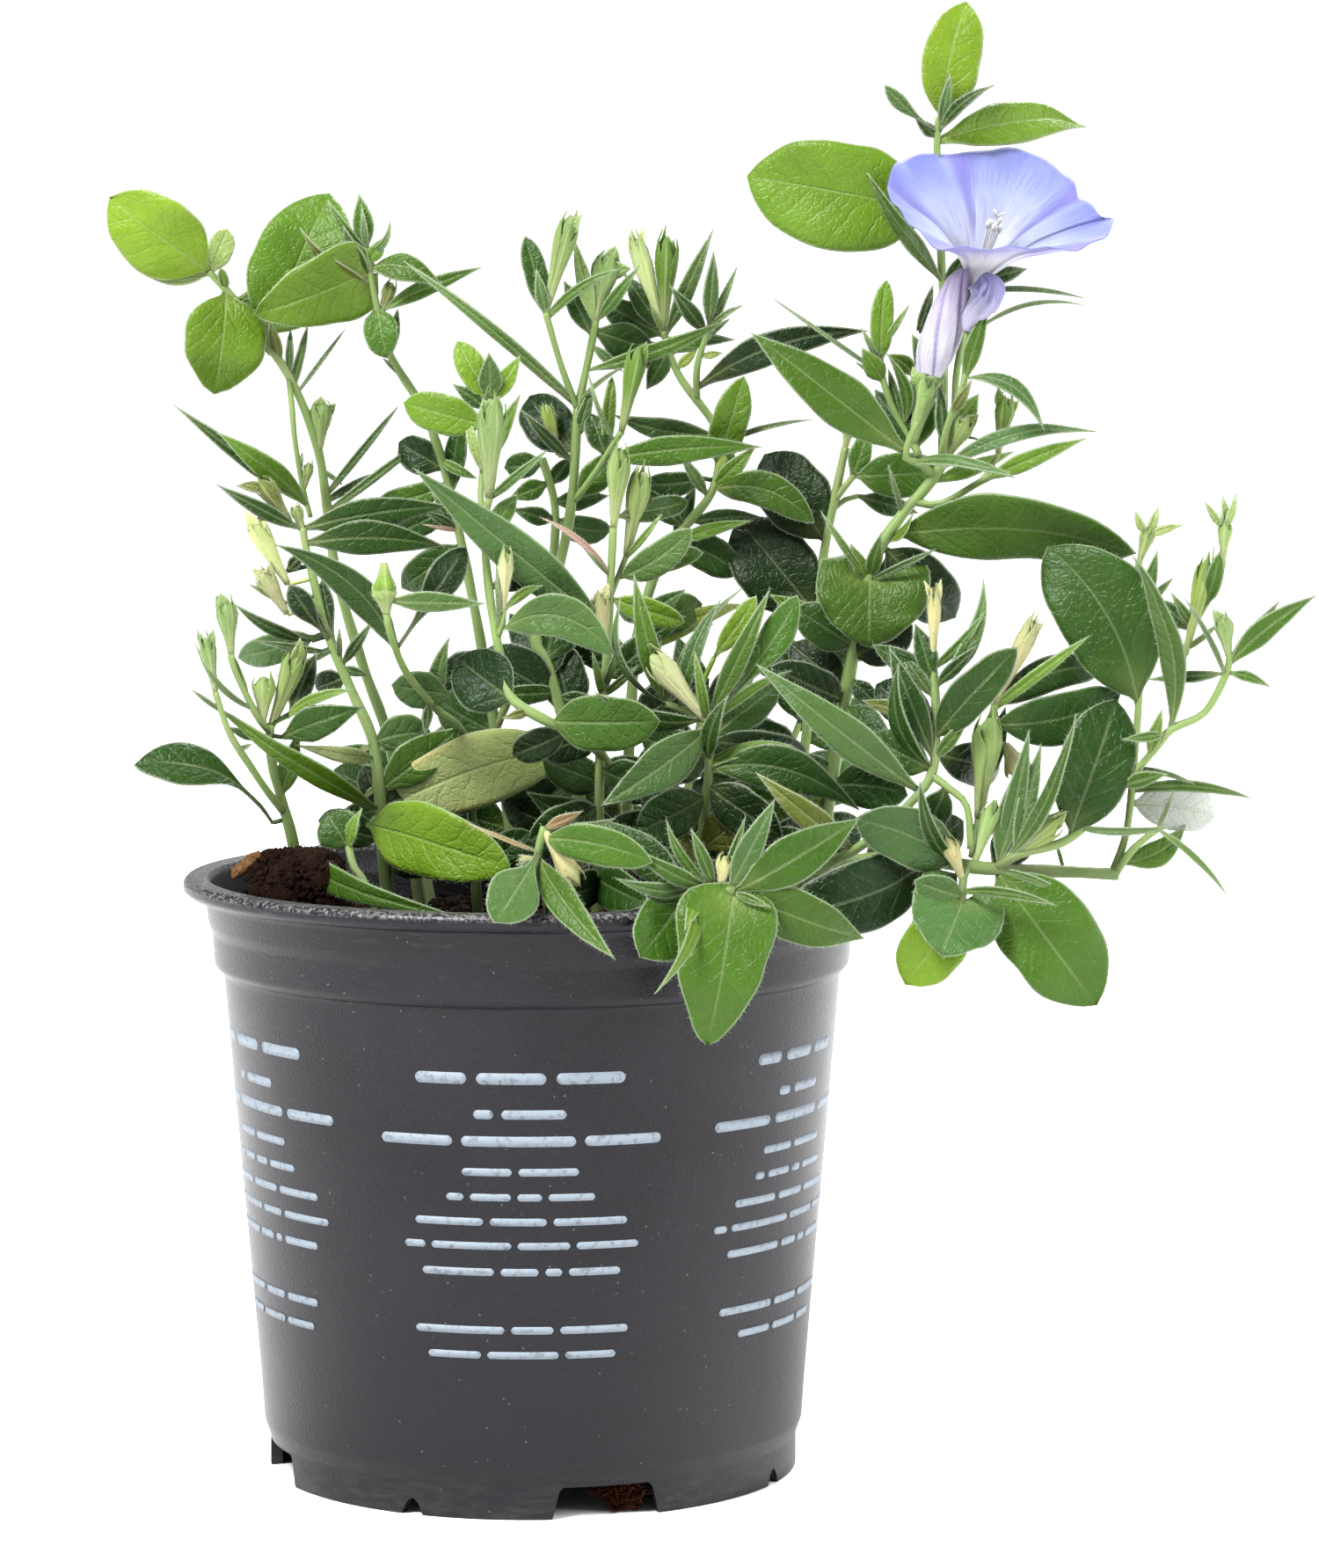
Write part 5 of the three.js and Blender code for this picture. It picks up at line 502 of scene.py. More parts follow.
leaf 34 108.7 25 121.9 -2 2.2 lance mid 0 1.5
leaf 33.3 108.8 18.3 116.3 2 3.3 lance mid 0 0.5
leaf 30.5 109 15.4 110.6 6 3 lance grey 0 1.2
leaf 29 108.5 13 121.7 -8 7 lance dark
own hanging_front_leaf 37.6 108.1 32.8 79 6 17.6 heart mid 0 0.3
own left_front_leaf 29.5 108.4 20.3 95.8 14 11.5 oval mid
own long_right_leaf 38 108.2 61.2 121.8 -6 8.5 lance mid

shoot centre_low_shoot
stem 0.95 0.7, 4 98 44, 2.5 108 52, 1 114 56, 2.3 120.2 57
cup 2.6 119.6 9 108.2 4.2 cream
cup 0.9 114.5 -2.8 113.6 2 cream
leaf 2.2 120 9.5 123.2 1 2.4 lance tan
leaf 2 119.5 16 121.8 -3 2.4 lance mid 0 -0.8
leaf 1 115.5 -12.6 121 -2 0.9 line tan
leaf 1.6 118 22.6 113.6 5 7 oval mid 0 1.4
leaf 1 115.5 -6.5 103 15 9.6 spoon grey
leaf 1 114 -3.6 107 8 4.2 round grey
own rim_hanging_leaf 1.2 114.5 15.9 94.9 18 5.6 lance mid 0 -0.8

shoot centre_right_shoot
stem 1.2 0.8, 46 98 -6, 51.5 140 -7, 53.3 160 -8, 54.5 172 -8, 58.3 191 -8
stem 0.65 0.6, 56.3 181 -8, 58.3 183.8 -7, 59.9 185.8 -7
stem 0.6 0.5, 56 179.5 -8, 58.3 181.3 -9, 60.6 182 -10
cup 58.3 190.5 59.3 196.3 2.6 pale
leaf 59.8 185.7 76.5 186.5 -2 8.5 oval mid
leaf 60.6 182 72 178.8 -4 4.2 lance dark
leaf 59.5 185.2 62.8 195 -2 4.3 lance mid
leaf 53.3 159 44.5 163.5 3 4 lance bright
leaf 50.5 132 37 139 -4 10 oval deep
leaf 51 136 65 142 -6 9 oval dark
leaf 52.3 148 41 155 -4 9 oval dark
leaf 52.6 152 65 159 -6 9 oval deep
leaf 49 120 35 127 -3 9 oval dark
leaf 48.5 115 62 121 -3 9 oval deep
leaf 50 126 63 131 -6 8 oval mid
own slate_leaf 54.4 173.5 43 190 -6 13 oval deep
own big_dark_leaf 53 160 38.5 177.5 -7 15 oval deep

shoot tall_right_shoot
stem 1.6 1, 50 98 2, 54 118 4, 58.5 145 6, 63 168 9, 68.7 178.3 9, 72 182 9, 74.8 185.5 9, 76.3 188 8
stem 0.75 0.7, 74.8 185.5 9, 72.5 187.8 10, 69.5 189 11, 69.6 191 11.5, 71.8 196 12
stem 0.8 0.55, 72 188.2 10, 71.5 190.5 7, 69 194.8 6, 66.8 199 6, 65 204.5 6, 64.8 210 6
stem 0.85 0.7, 76.3 188 8, 76.3 193 3, 76.5 212 -2, 75 246 -4, 75.8 252 -4
stem 0.65 0.6, 76.3 187.5 8, 78.3 197 8, 79 206 8, 82 222 6
stem 0.65 0.6, 76 187.5 8, 76.6 192.5 11, 78 197.5 13, 80.2 203 14, 80.6 212 14
stem 0.75 0.6, 71 181 9, 76 180.5 10, 83.5 184.7 12, 88 186.8 12
stem 0.55 0.5, 83.5 184.7 12, 85.5 187.5 10, 86.8 190.3 9
cup 71.5 192 73.8 205 4.8 pale, 70.6 206, 74.8 204.5, 77 205
cup 86.8 190 88.4 201 3.8 bright, 86.4 202, 90.4 199.5
cup 77 188.3 81.3 197 4.2 pale, 79.2 196.7, 82.9 197.1
leaf 75.6 249 85.6 257.7 4 2.6 lance dark 20 0.8
leaf 75.4 249 65.3 257.8 1 3 spoon grey 30
leaf 75.5 250 77.4 260 2 2.2 lance grey
leaf 75.2 248 71 251.5 0 2.5 lance dark
leaf 75.9 221.5 61.5 240.8 5 5 lance grey 50 -1.2
leaf 76 220 81.5 227.6 -3 3 lance dark
leaf 71.8 212.5 74.4 221 0 2 line deep
leaf 69 194.8 65.5 208 4 2.8 lance mid 30 -2.5
leaf 64.9 206.5 65.8 222 1 4.3 oval bright 0 0.5
leaf 64.8 209.5 70 217.3 2 1.4 line bright
leaf 64.8 206 61.2 213 1 1.4 line grey
leaf 65 204.5 44.5 218.7 3 0.9 line grey
leaf 65.4 203 60 206.9 -1 0.9 line dark
leaf 69 194.8 66.2 205.6 -3 1.9 line dark
leaf 70.5 192.5 69.8 200.6 -3 2.4 lance deep
leaf 80.2 203 84.8 217.3 1 3.4 lance mid 0 0.3
leaf 83 213 102.5 217.2 1 0.9 line grey 0 2.4
leaf 80.2 203.8 95.2 194 6 3.6 lance grey 30 2.5
leaf 78 197 81.7 203.6 3 2.2 lance olive
leaf 82.3 221.5 92 224 -2 3.4 lance dark
leaf 82 219.5 102.6 218.5 3 1.1 line grey 0 1.2
leaf 71 187.9 89.8 185 8 2.8 line grey 40 0.3
leaf 75.6 186.3 105 194.4 3 3.2 lance grey 20 1.8
leaf 74 184.3 89.8 190.3 -5 3 lance bright
leaf 84 184.9 102.9 192.8 5 3.4 lance bright 10
leaf 76.3 190.4 84.9 191.4 2 0.6 line dark 0 2
leaf 69 178.5 66.2 188 3 1.1 line dark
leaf 62.3 166 53.7 179.2 2 1.6 line mid
leaf 62.3 166 59.3 173.2 2 3 lance bright
leaf 62.5 166.5 65 175.3 4 3 lance mid
leaf 62.3 166 75.5 172.3 3 1.6 line dark
leaf 66 173.5 71 178.8 4 2.6 lance bright 60 -1.5
leaf 65.5 172.5 79.5 158.8 -5 11 oval deep
leaf 58.8 146 48 154.5 -4 8 oval deep
leaf 59.3 148 66 142 2 4 lance deep
leaf 58 143 66 132 8 8.5 oval dark
leaf 58.3 144 45 150 6 8 oval deep
leaf 56.5 132 43 130 4 8 oval dark 0 1
leaf 56 128 70 126 4 9 oval dark 0 1
leaf 54.5 121 41 114 6 9 oval deep 10
leaf 60 152 71 158 4 8 oval deep
leaf 60.5 154 49 161 3 8 oval dark
leaf 61.5 160 71 168 -4 7.5 oval dark
leaf 71.5 190.5 63.5 202 -6 6 lance dark
leaf 76.2 191 83 201 -5 5 lance bright
leaf 76.4 200 70.5 212 -3 4.5 lance mid
leaf 71 204 65.8 208.2 2 3 lance bright 0 -0.8
leaf 65.4 203 61.2 209.5 2 4 lance bright
leaf 76.4 191 75.8 203 -2 2.6 lance dark
leaf 71.8 191 74.4 202 -6 4.6 lance mid
own upright_top_leaf 75.7 251 80.2 273 -2 10.8 oval young 0 0.8
own right_top_leaf 75.6 247.4 104 251.4 -16 8.8 lance bright 20 1
own big_oval_right_leaf 75.4 234.6 40 241 -4 20 oval bright
own long_green_leaf 69.6 190.2 40.6 212.3 0 9.5 lance mid
own big_right_leaf 66 175 112.6 172 9 13.8 oval mid -25 4.2
own heart_leaf 62.2 167 62.8 154.2 5 21 kidney mid

shoot right_low_shoot
stem 1.1 0.8, 44 98 26, 50.5 110 34, 56 113.5 37.5, 62 117 40, 70 124 39, 74.8 130.8 38, 75.3 142 36,
74.7 151 34
stem 0.75 0.7, 74.4 130 38, 78 127.3 40, 81.2 124 41, 82 116 42
cup 74.7 150.5 74.9 165 2.4 cream, 73 166.3, 76.3 166.6
leaf 74.8 131.2 68.3 150.9 3 4.6 lance dark 40 1.8
leaf 75 132.6 81.6 141 2 2.6 lance mid
leaf 75 136.5 90.3 153.4 4 7.6 oval dark 0 0.8
leaf 74.9 150 84.5 160.6 1 1.9 line mid 0 -0.5
leaf 75.2 146.5 83 154.3 2 2.6 lance dark
leaf 75.2 146 84 166.8 -4 3.2 lance grey 0 -2.5
leaf 75.3 141 61.2 143.9 -2 3.6 lance olive
leaf 75.2 144 68.5 153.2 -3 2.6 lance grey
leaf 60 116 42 130 3 5 lance olive
leaf 74.8 131 63 137 -4 7.5 oval dark
leaf 75.3 139 64 147 -6 8 oval deep
leaf 75 134 88 131 -18 8 oval deep
leaf 75 133 66.5 154 -4 5 lance dark
leaf 74.8 148 63 154.5 -6 4.5 lance dark
leaf 77 127.5 74 120 -7 6 oval dark
leaf 75 147 71.3 158.5 -4 4.2 lance dark
own silver_long_leaf 72.2 127 42 150.3 4 7 lance grey

shoot right_upright_shoot
stem 0.8 0.7, 82.3 114.5 38, 83.3 121 35, 84.6 130 32, 86.3 143.3 31
cup 82.2 122 85.5 142 6 pale
cup 88.3 135.8 91.6 129.6 5.4 cream
cup 86.2 143 93.9 159.5 3.6 cream, 93 160, 95.2 158.3
leaf 86.3 142.5 104 156 2 2.3 line bright 0 0.3
leaf 86 139.5 109.8 145 -2 9.5 oval dark 0 -1.5
leaf 86.3 142.4 107 149.5 -6 6.5 oval dark 0 3
leaf 84 128 88.5 143 -3 4 lance dark

shoot runner_shoot
stem 1.5 1.1, 38 98 16, 46 105 22, 54 112 29, 62 114 34, 70 114.3 38, 78 113.3 41, 86 112.3 42,
99 111.8 38, 109.5 111.3 36
stem 0.9 0.8, 81.5 112.9 42, 80.6 110.5 44, 80.4 105.3 46
stem 0.9 0.7, 86.5 112.3 42, 91 115 43, 99.5 117.5 42, 106 123 40, 116 134.5 41, 119.3 138.5 42,
125.5 141.7 43, 129.6 149.5 44, 129.9 153 44
stem 0.75 0.6, 108.5 111.5 36, 111 119 35.5, 112.3 131 33, 113.2 145 30, 113.8 160 30, 112.5 165 29,
113 170 29
stem 0.6 0.55, 119 138 42, 120.3 145 37, 122.5 156 35, 127.3 165 35, 128.6 170 35
stem 0.8 0.7, 109 111.5 36, 112.3 116 37.5, 116.8 119.8 37.5
cup 129.8 152 128.5 160 3.5 pale, 126.7 161, 130.2 158.5
cup 113 169.5 115 176.5 2.8 pale, 112 179.3, 116.5 180, 121 176.7
cup 128.6 169.5 129 178 2.6 pale, 125 181.2, 128.5 182.2, 131 182.5
cup 121.5 152.5 125.8 171.5 3.4 lime
cup 80.6 110 77.4 118.6 3.4 cream
cup 82.4 112.5 86.9 126.2 3.6 pale
cup 87.5 112.8 98.8 122.2 5 pale, 99.8 123.3, 98.3 119.8
leaf 80.4 105.5 69.8 90.4 1 11.5 oval young
leaf 80.4 107 71.6 110 4 6 oval grey
leaf 79.5 114.5 60.2 121.8 6 10.5 oval grey 0 -1.5
leaf 80.6 108 98 105.2 6 2 line mid 0 1.2
leaf 86.8 112.3 101.5 106.3 2 1.6 line grey 0 0.8
leaf 79.5 113.2 72.2 128 9 3.2 line dark 20 1
leaf 87.2 112.5 92.6 138.6 -1 3.9 lance grey 10 -0.6
leaf 87.5 113 100.3 141.6 5 3.6 lance grey 40 -3.5
leaf 90 114.2 95 136 -4 3.6 lance grey
leaf 74 112.5 47.5 104 8 13 oval deep 0 1.6
leaf 99.5 111.8 97.8 117.5 -5 0.8 line mid
leaf 129.8 150.3 146 163.4 2 4.2 lance mid 0 1.2
leaf 129.8 151.5 139.3 162.6 0 2.2 lance mid
leaf 129.3 148.5 121.2 163.4 6 1.1 line dark 0 -0.5
leaf 129.6 149 137.7 146.3 1 2 lance mid 0 0.6
leaf 129.3 149 114.5 147.8 -3 2.2 lance dark
leaf 119 138 110.3 170.2 5 5.5 lance grey 40 -5
leaf 118.5 137.8 109.8 136.5 2 2 lance mid
leaf 115 133.4 117.5 142.2 2 2.6 lance bright
leaf 110 127.6 118.7 130 2 3 lance mid 0 0.5
leaf 102.5 120 120 120.3 4 1.6 line grey 0 -0.5
leaf 112 127 134.6 125.2 2 2.2 line mid 0 1.8
leaf 113.8 161.3 116.4 171.8 2 2.6 lance mid
leaf 113.7 161 119.3 166.8 0 1.5 line bright
leaf 113.5 149 117.5 157 -2 2.2 lance mid
leaf 122.8 157 116.2 163 -3 3.8 lance dark
leaf 122 153.5 128 158.3 2 1.2 line mid
leaf 125.5 161.5 128 171.5 3 3.2 oval mid
leaf 123 157.5 119 164 2 2 lance mid
leaf 116.8 119.8 130.2 107 2 1.3 line mid 0 1
leaf 112.5 124.5 128.3 122 -6 9 oval silver 0 1
leaf 110.5 113.3 122.5 120.5 -3 5 lance mid 0 -1.5
leaf 116.8 119.8 119.8 127 1 0.9 line mid
leaf 112.3 131 124 128 4 1.2 line dark 0 0.8
leaf 62 114 73 120 -6 8 oval deep
leaf 70 114.3 81 121.5 -6 7.5 oval dark
leaf 54 112 46 120 2 7 oval dark
leaf 86 112.3 93 122 -8 8 oval deep
leaf 87 113 90.4 131 -3 4.6 lance grey
own big_lower_right_leaf 86.5 112.3 105.7 86.5 5 17 oval mid
own grey_heart_leaf 79.5 106.5 76.5 96 8 17 kidney grey
own deep_right_leaf 100.5 118.3 109 144.2 -4 13.5 oval dark
own right_broad_leaf 112.5 143 96 172.5 -6 18 oval dark 0 -3

shoot back_left_shoot
stem 1.1 0.7, -18 100 -35, -21 118 -41, -22 128 -46, -19 146 -52
leaf -21.5 124 -37 121.5 -8 8 oval mid 160 1
leaf -22 129 -38 135 -6 7.5 lance dark
leaf -21 134 -6 139 -8 8 oval dark
leaf -19.5 143 -13 150 -4 6.5 lance deep
leaf -19.2 145 -10 153 -5 6 oval deep
leaf -21 121.5 -8 127.5 -4 9 oval dark

shoot back_centre_shoot
stem 1.1 0.7, 22 100 -38, 27 118 -43, 30 132 -47, 32 144 -50
leaf 26 118 12 124 -6 8 oval mid
leaf 28 124 42 122 -8 8 oval grey 180
leaf 29.5 130 46 138 -4 8 lance dark
leaf 30 134 17 143 -5 8 oval deep
leaf 31.5 142 43 153 -3 6.5 lance deep
leaf 32 143.5 27 156 -2 6.5 lance dark
leaf 24.5 111 39 116 -4 9 oval deep
leaf 30 132 45 128 -6 8 oval mid 180
leaf 27.5 120 19.5 133 -3 8 oval deep
leaf 30 132 22.5 141 -2 8 oval deep
leaf 26.5 117 33.5 129.5 -6 8 oval deep

shoot back_right_shoot
stem 1.1 0.7, 36 100 -30, 41 118 -37, 46 130 -43, 50.5 141 -48
leaf 42 120 57 122 -8 8 oval mid
leaf 45 127 59 133 -6 8 oval dark
leaf 46.5 131 37 140 -5 7.5 oval mid
leaf 50 138 58 148 -4 7 lance deep
leaf 50.3 140 46 151 -2 6 lance dark
leaf 39 111 54 115 -4 9 oval deep
"""


def number_or_word(text):
    """A number of the plan, or a word that names a shoot, an outline or a tone."""
    return float(text) if text.lstrip("-").replace(".", "").isdigit() else text


def read_plan():
    """The shoots of the plan, each with the rows of its stems, cups and leaves."""
    shoots = []
    for line in PLAN.replace(",\n", ",").split("\n"):
        if not line:
            continue
        parts = [[number_or_word(word) for word in part.split()] for part in line.split(",")]
        (kind, *values), *points = parts
        if kind == "shoot":
            shoots.append({"name": values[0], "stem": [], "cup": [], "leaf": [], "own": []})
        elif kind in ("stem", "cup"):
            shoots[-1][kind].append((*values, points))
        else:
            shoots[-1][kind].append(values)
    return shoots


def place(across, up, toward):
    """A point of the plan, in the row frame, in millimetres."""
    scale = 1 - toward / EYE_DISTANCE
    x = EYE_ACROSS + scale * (across - EYE_ACROSS)
    z = EYE_LEVEL + scale * (up - EYE_LEVEL)
    return Vector((x, -toward, z))


def linear(code):
    """How much of each colour a finish gives back, from the six-figure code of how it looks."""
    parts = [int(code[i:i + 2], 16) / 255 for i in (0, 2, 4)]
    return tuple(DEPTH * (p / 12.92 if p <= 0.04045 else ((p + 0.055) / 1.055) ** 2.4) for p in parts)


def smooth(low, high, value):
    share = min(max((value - low) / (high - low), 0), 1)
    return share * share * (3 - 2 * share)


def mixed(first, second, share):
    return tuple(a + (b - a) * share for a, b in zip(first, second))


def along_table(table, value):
    """A smooth curve through (place, height) rows, read at a place."""
    last = len(table) - 1
    i = 0
    while i < last - 1 and value > table[i + 1][0]:
        i += 1
    (x0, y0), (x1, y1) = table[i], table[i + 1]
    share = min(max((value - x0) / (x1 - x0), 0), 1)
    before = table[max(i - 1, 0)]
    after = table[min(i + 2, last)]
    rise0 = (y1 - before[1]) / (x1 - before[0]) * (x1 - x0)
    rise1 = (after[1] - y0) / (after[0] - x0) * (x1 - x0)
    s2 = share * share
    s3 = s2 * share
    start = (2 * s3 - 3 * s2 + 1) * y0 + (s3 - 2 * s2 + share) * rise0
    return start + (3 * s2 - 2 * s3) * y1 + (s3 - s2) * rise1


def curve_point(before, start, end, after, t):
    """A point from start to end on the smooth curve through four points."""
    straight = (end - before) * t
    bend = (2 * before - 5 * start + 4 * end - after) * t * t
    twist = (3 * start - before - 3 * end + after) * t ** 3
    return 0.5 * (2 * start + straight + bend + twist)


def smooth_path(points, step):
    """Points about a step apart on a smooth curve through the given ones."""
    path = []
    for i in range(len(points) - 1):
        p0 = points[max(i - 1, 0)]
        p1, p2 = points[i], points[i + 1]
        p3 = points[min(i + 2, len(points) - 1)]
        count = max(int((p2 - p1).length / step), 1)
        for k in range(count):
            path.append(curve_point(p0, p1, p2, p3, k / count))
    path.append(points[-1].copy())
    return path


# The tone of a surface whose finish reads no tone.
PLAIN_TONE = (0.3, 0.3, 0.3)

HAIR_TONE = linear("e2ead6")
FOOT_TONE = linear("b9c878")
GREEN_FOOT_TONE = linear("6f9036")
TAN_EDGE_TONE = linear("c7a062")


def add_object(name, data, at=(0, 0, 0)):
    piece = bpy.data.objects.new(name, data)
    piece.location = at
    bpy.context.scene.collection.objects.link(piece)
    return piece


class Skin:
    """Points and faces of one piece in millimetres, with what its finishes read at each point.

    tone is the point's colour; blade is (share along, share across, half width in mm); span is
    (length in mm, a number from 0 to 1 of its own, 1 on the underside)."""

    def __init__(self):
        self.points = []
        self.faces = []
        self.finish = []
        self.tone = []
        self.blade = []
        self.span = []

    def add(self, points, faces, finish, tone=PLAIN_TONE, blade=None, span=None):
        start = len(self.points)
        self.points.extend(points)
        self.faces.extend([tuple(start + i for i in face) for face in faces])
        self.finish.extend([finish] * len(faces))
        tones = tone if isinstance(tone, list) else [tone] * len(points)
        self.tone.extend(tones)
        self.blade.extend(blade or [(0.5, 0, 1)] * len(points))
        self.span.extend(span if isinstance(span, list) else [span or (10, 0.5, 0)] * len(points))

    def make(self, name):
        """The piece as an object, in metres and moved to where the pot's axis is."""
        mesh = bpy.data.meshes.new(name)
        mesh.from_pydata([tuple(p * MM + POT_AXIS) for p in self.points], [], self.faces)
        used = sorted(set(self.finish))
        for label in used:
            mesh.materials.append(FINISHES[label])
        mesh.polygons.foreach_set("material_index", [used.index(label) for label in self.finish])
        mesh.polygons.foreach_set("use_smooth", [True] * len(mesh.polygons))
        colour = mesh.attributes.new("tone", "FLOAT_COLOR", "POINT")
        colour.data.foreach_set("color", [v for tone in self.tone for v in (*tone, 1)])
        for label, rows in (("blade", self.blade), ("span", self.span)):
            attribute = mesh.attributes.new(label, "FLOAT_VECTOR", "POINT")
            attribute.data.foreach_set("vector", [v for row in rows for v in row])
        mesh.validate()
        mesh.update()
        return add_object(name, mesh)


def sheet_faces(rows, cols):
    """Faces of a thin closed sheet: a grid of upper points, then the same grid of lower ones."""
    across = cols + 1
    count = (rows + 1) * across
    faces = []
    for i in range(rows):
        for j in range(cols):
            a, b = i * across + j, (i + 1) * across + j
            faces.append((a, b, b + 1, a + 1))
            faces.append((count + a, count + a + 1, count + b + 1, count + b))
        a, b = i * across, (i + 1) * across
        faces.append((a, count + a, count + b, b))
        faces.append((a + cols, b + cols, count + b + cols, count + a + cols))
    for j in range(cols):
        b = rows * across + j
        faces.append((j, j + 1, count + j + 1, count + j))
        faces.append((b, count + b, count + b + 1, b + 1))
    return faces


def rod_faces(rings, sides):
    """Faces of a closed rod: rings of points, then the middle points of its two ends."""
    faces = []
    for i in range(rings - 1):
        for k in range(sides):
            j = (k + 1) % sides
            faces.append((i * sides + k, i * sides + j, (i + 1) * sides + j, (i + 1) * sides + k))
    foot = rings * sides
    top = foot - sides
    for k in range(sides):
        j = (k + 1) % sides
        faces.append((foot, j, k))
        faces.append((foot + 1, top + k, top + j))
    return faces


def tube(skin, path, radii, sides, finish, tone, span=None):
    """A round rod along a path, closed at both ends, and the turning frame at each of its points."""
    frames = []
    side = None
    for i, point in enumerate(path):
        ahead = (path[min(i + 1, len(path) - 1)] - path[max(i - 1, 0)]).normalized()
        if side is None:
            side = ahead.cross(Vector((0, 1, 0.2))).normalized()
        side = (side - ahead * side.dot(ahead)).normalized()
        frames.append((point, ahead, side, ahead.cross(side)))
    points = []
    blade = []
    for i, (point, ahead, side, other) in enumerate(frames):
        for k in range(sides):
            turn = 2 * math.pi * k / sides
            points.append(point + radii[i] * (math.cos(turn) * side + math.sin(turn) * other))
            blade.append((i / max(len(path) - 1, 1), math.cos(turn), radii[i]))
    points.extend([path[0], path[-1]])
    blade.extend([(0, 0, radii[0]), (1, 0, radii[-1])])
    skin.add(points, rod_faces(len(path), sides), finish, tone, blade, span)
    return frames


def hair(skin, root, direction, length, width, lean):
    """One stiff hair: a thin three-sided spike."""
    side = direction.cross(lean).normalized()
    other = direction.cross(side)
    turns = [math.radians(angle) for angle in (0, 120, 240)]
    base = [root + width * (math.cos(turn) * side + math.sin(turn) * other) for turn in turns]
    faces = [(0, 2, 1), (0, 1, 3), (1, 2, 3), (2, 0, 3)]
    skin.add([*base, root + direction * length], faces, "hair", HAIR_TONE)


def stem(skin, points, foot_radius, end_radius, rng, tone):
    path = smooth_path(points, 1.4)
    count = len(path) - 1
    radii = []
    for i in range(count + 1):
        share = i / count
        knot = 0.06 * math.sin(share * count * 0.7 + foot_radius * 9)
        radii.append((foot_radius + (end_radius - foot_radius) * share) * (1 + knot))
    frames = tube(skin, path, radii, 8, "stem", tone, span=(count * 1.4, rng.random(), 0))
    for i, (point, ahead, side, other) in enumerate(frames):
        for _ in range(4):
            turn = rng.uniform(0, 2 * math.pi)
            out = math.cos(turn) * side + math.sin(turn) * other
            root = point + ahead * rng.uniform(-0.7, 0.7) + out * radii[i] * 0.9
            direction = (out + ahead * rng.uniform(-0.1, 0.8)).normalized()
            hair(skin, root, direction, rng.uniform(0.4, 0.9), 0.03, ahead)


def blade_axes(foot, tip, face):
    along = (tip - foot).normalized()
    eye = Vector((0, -1, 0))
    facing = (eye - along * eye.dot(along)).normalized()
    left = facing.cross(along)
    turn = math.radians(face)
    normal = facing * math.cos(turn) + left * math.sin(turn)
    return along, left, normal


def aged(tone, t, s, yellowing):
    """A leaf's colour: paler at the foot. A yellowing one turns tan at its edge, last of all at the foot."""
    colour = mixed(tone, FOOT_TONE, 0.3 * smooth(0.3, 0, t) * (1 - abs(s)))
    if yellowing:
        colour = mixed(colour, GREEN_FOOT_TONE, 0.85 * smooth(0.7, 0, t) * (1 - 0.4 * abs(s)))
        colour = mixed(colour, TAN_EDGE_TONE, 0.7 * smooth(0.7, 1, abs(s)) * smooth(0.35, 0.8, t))
    return colour


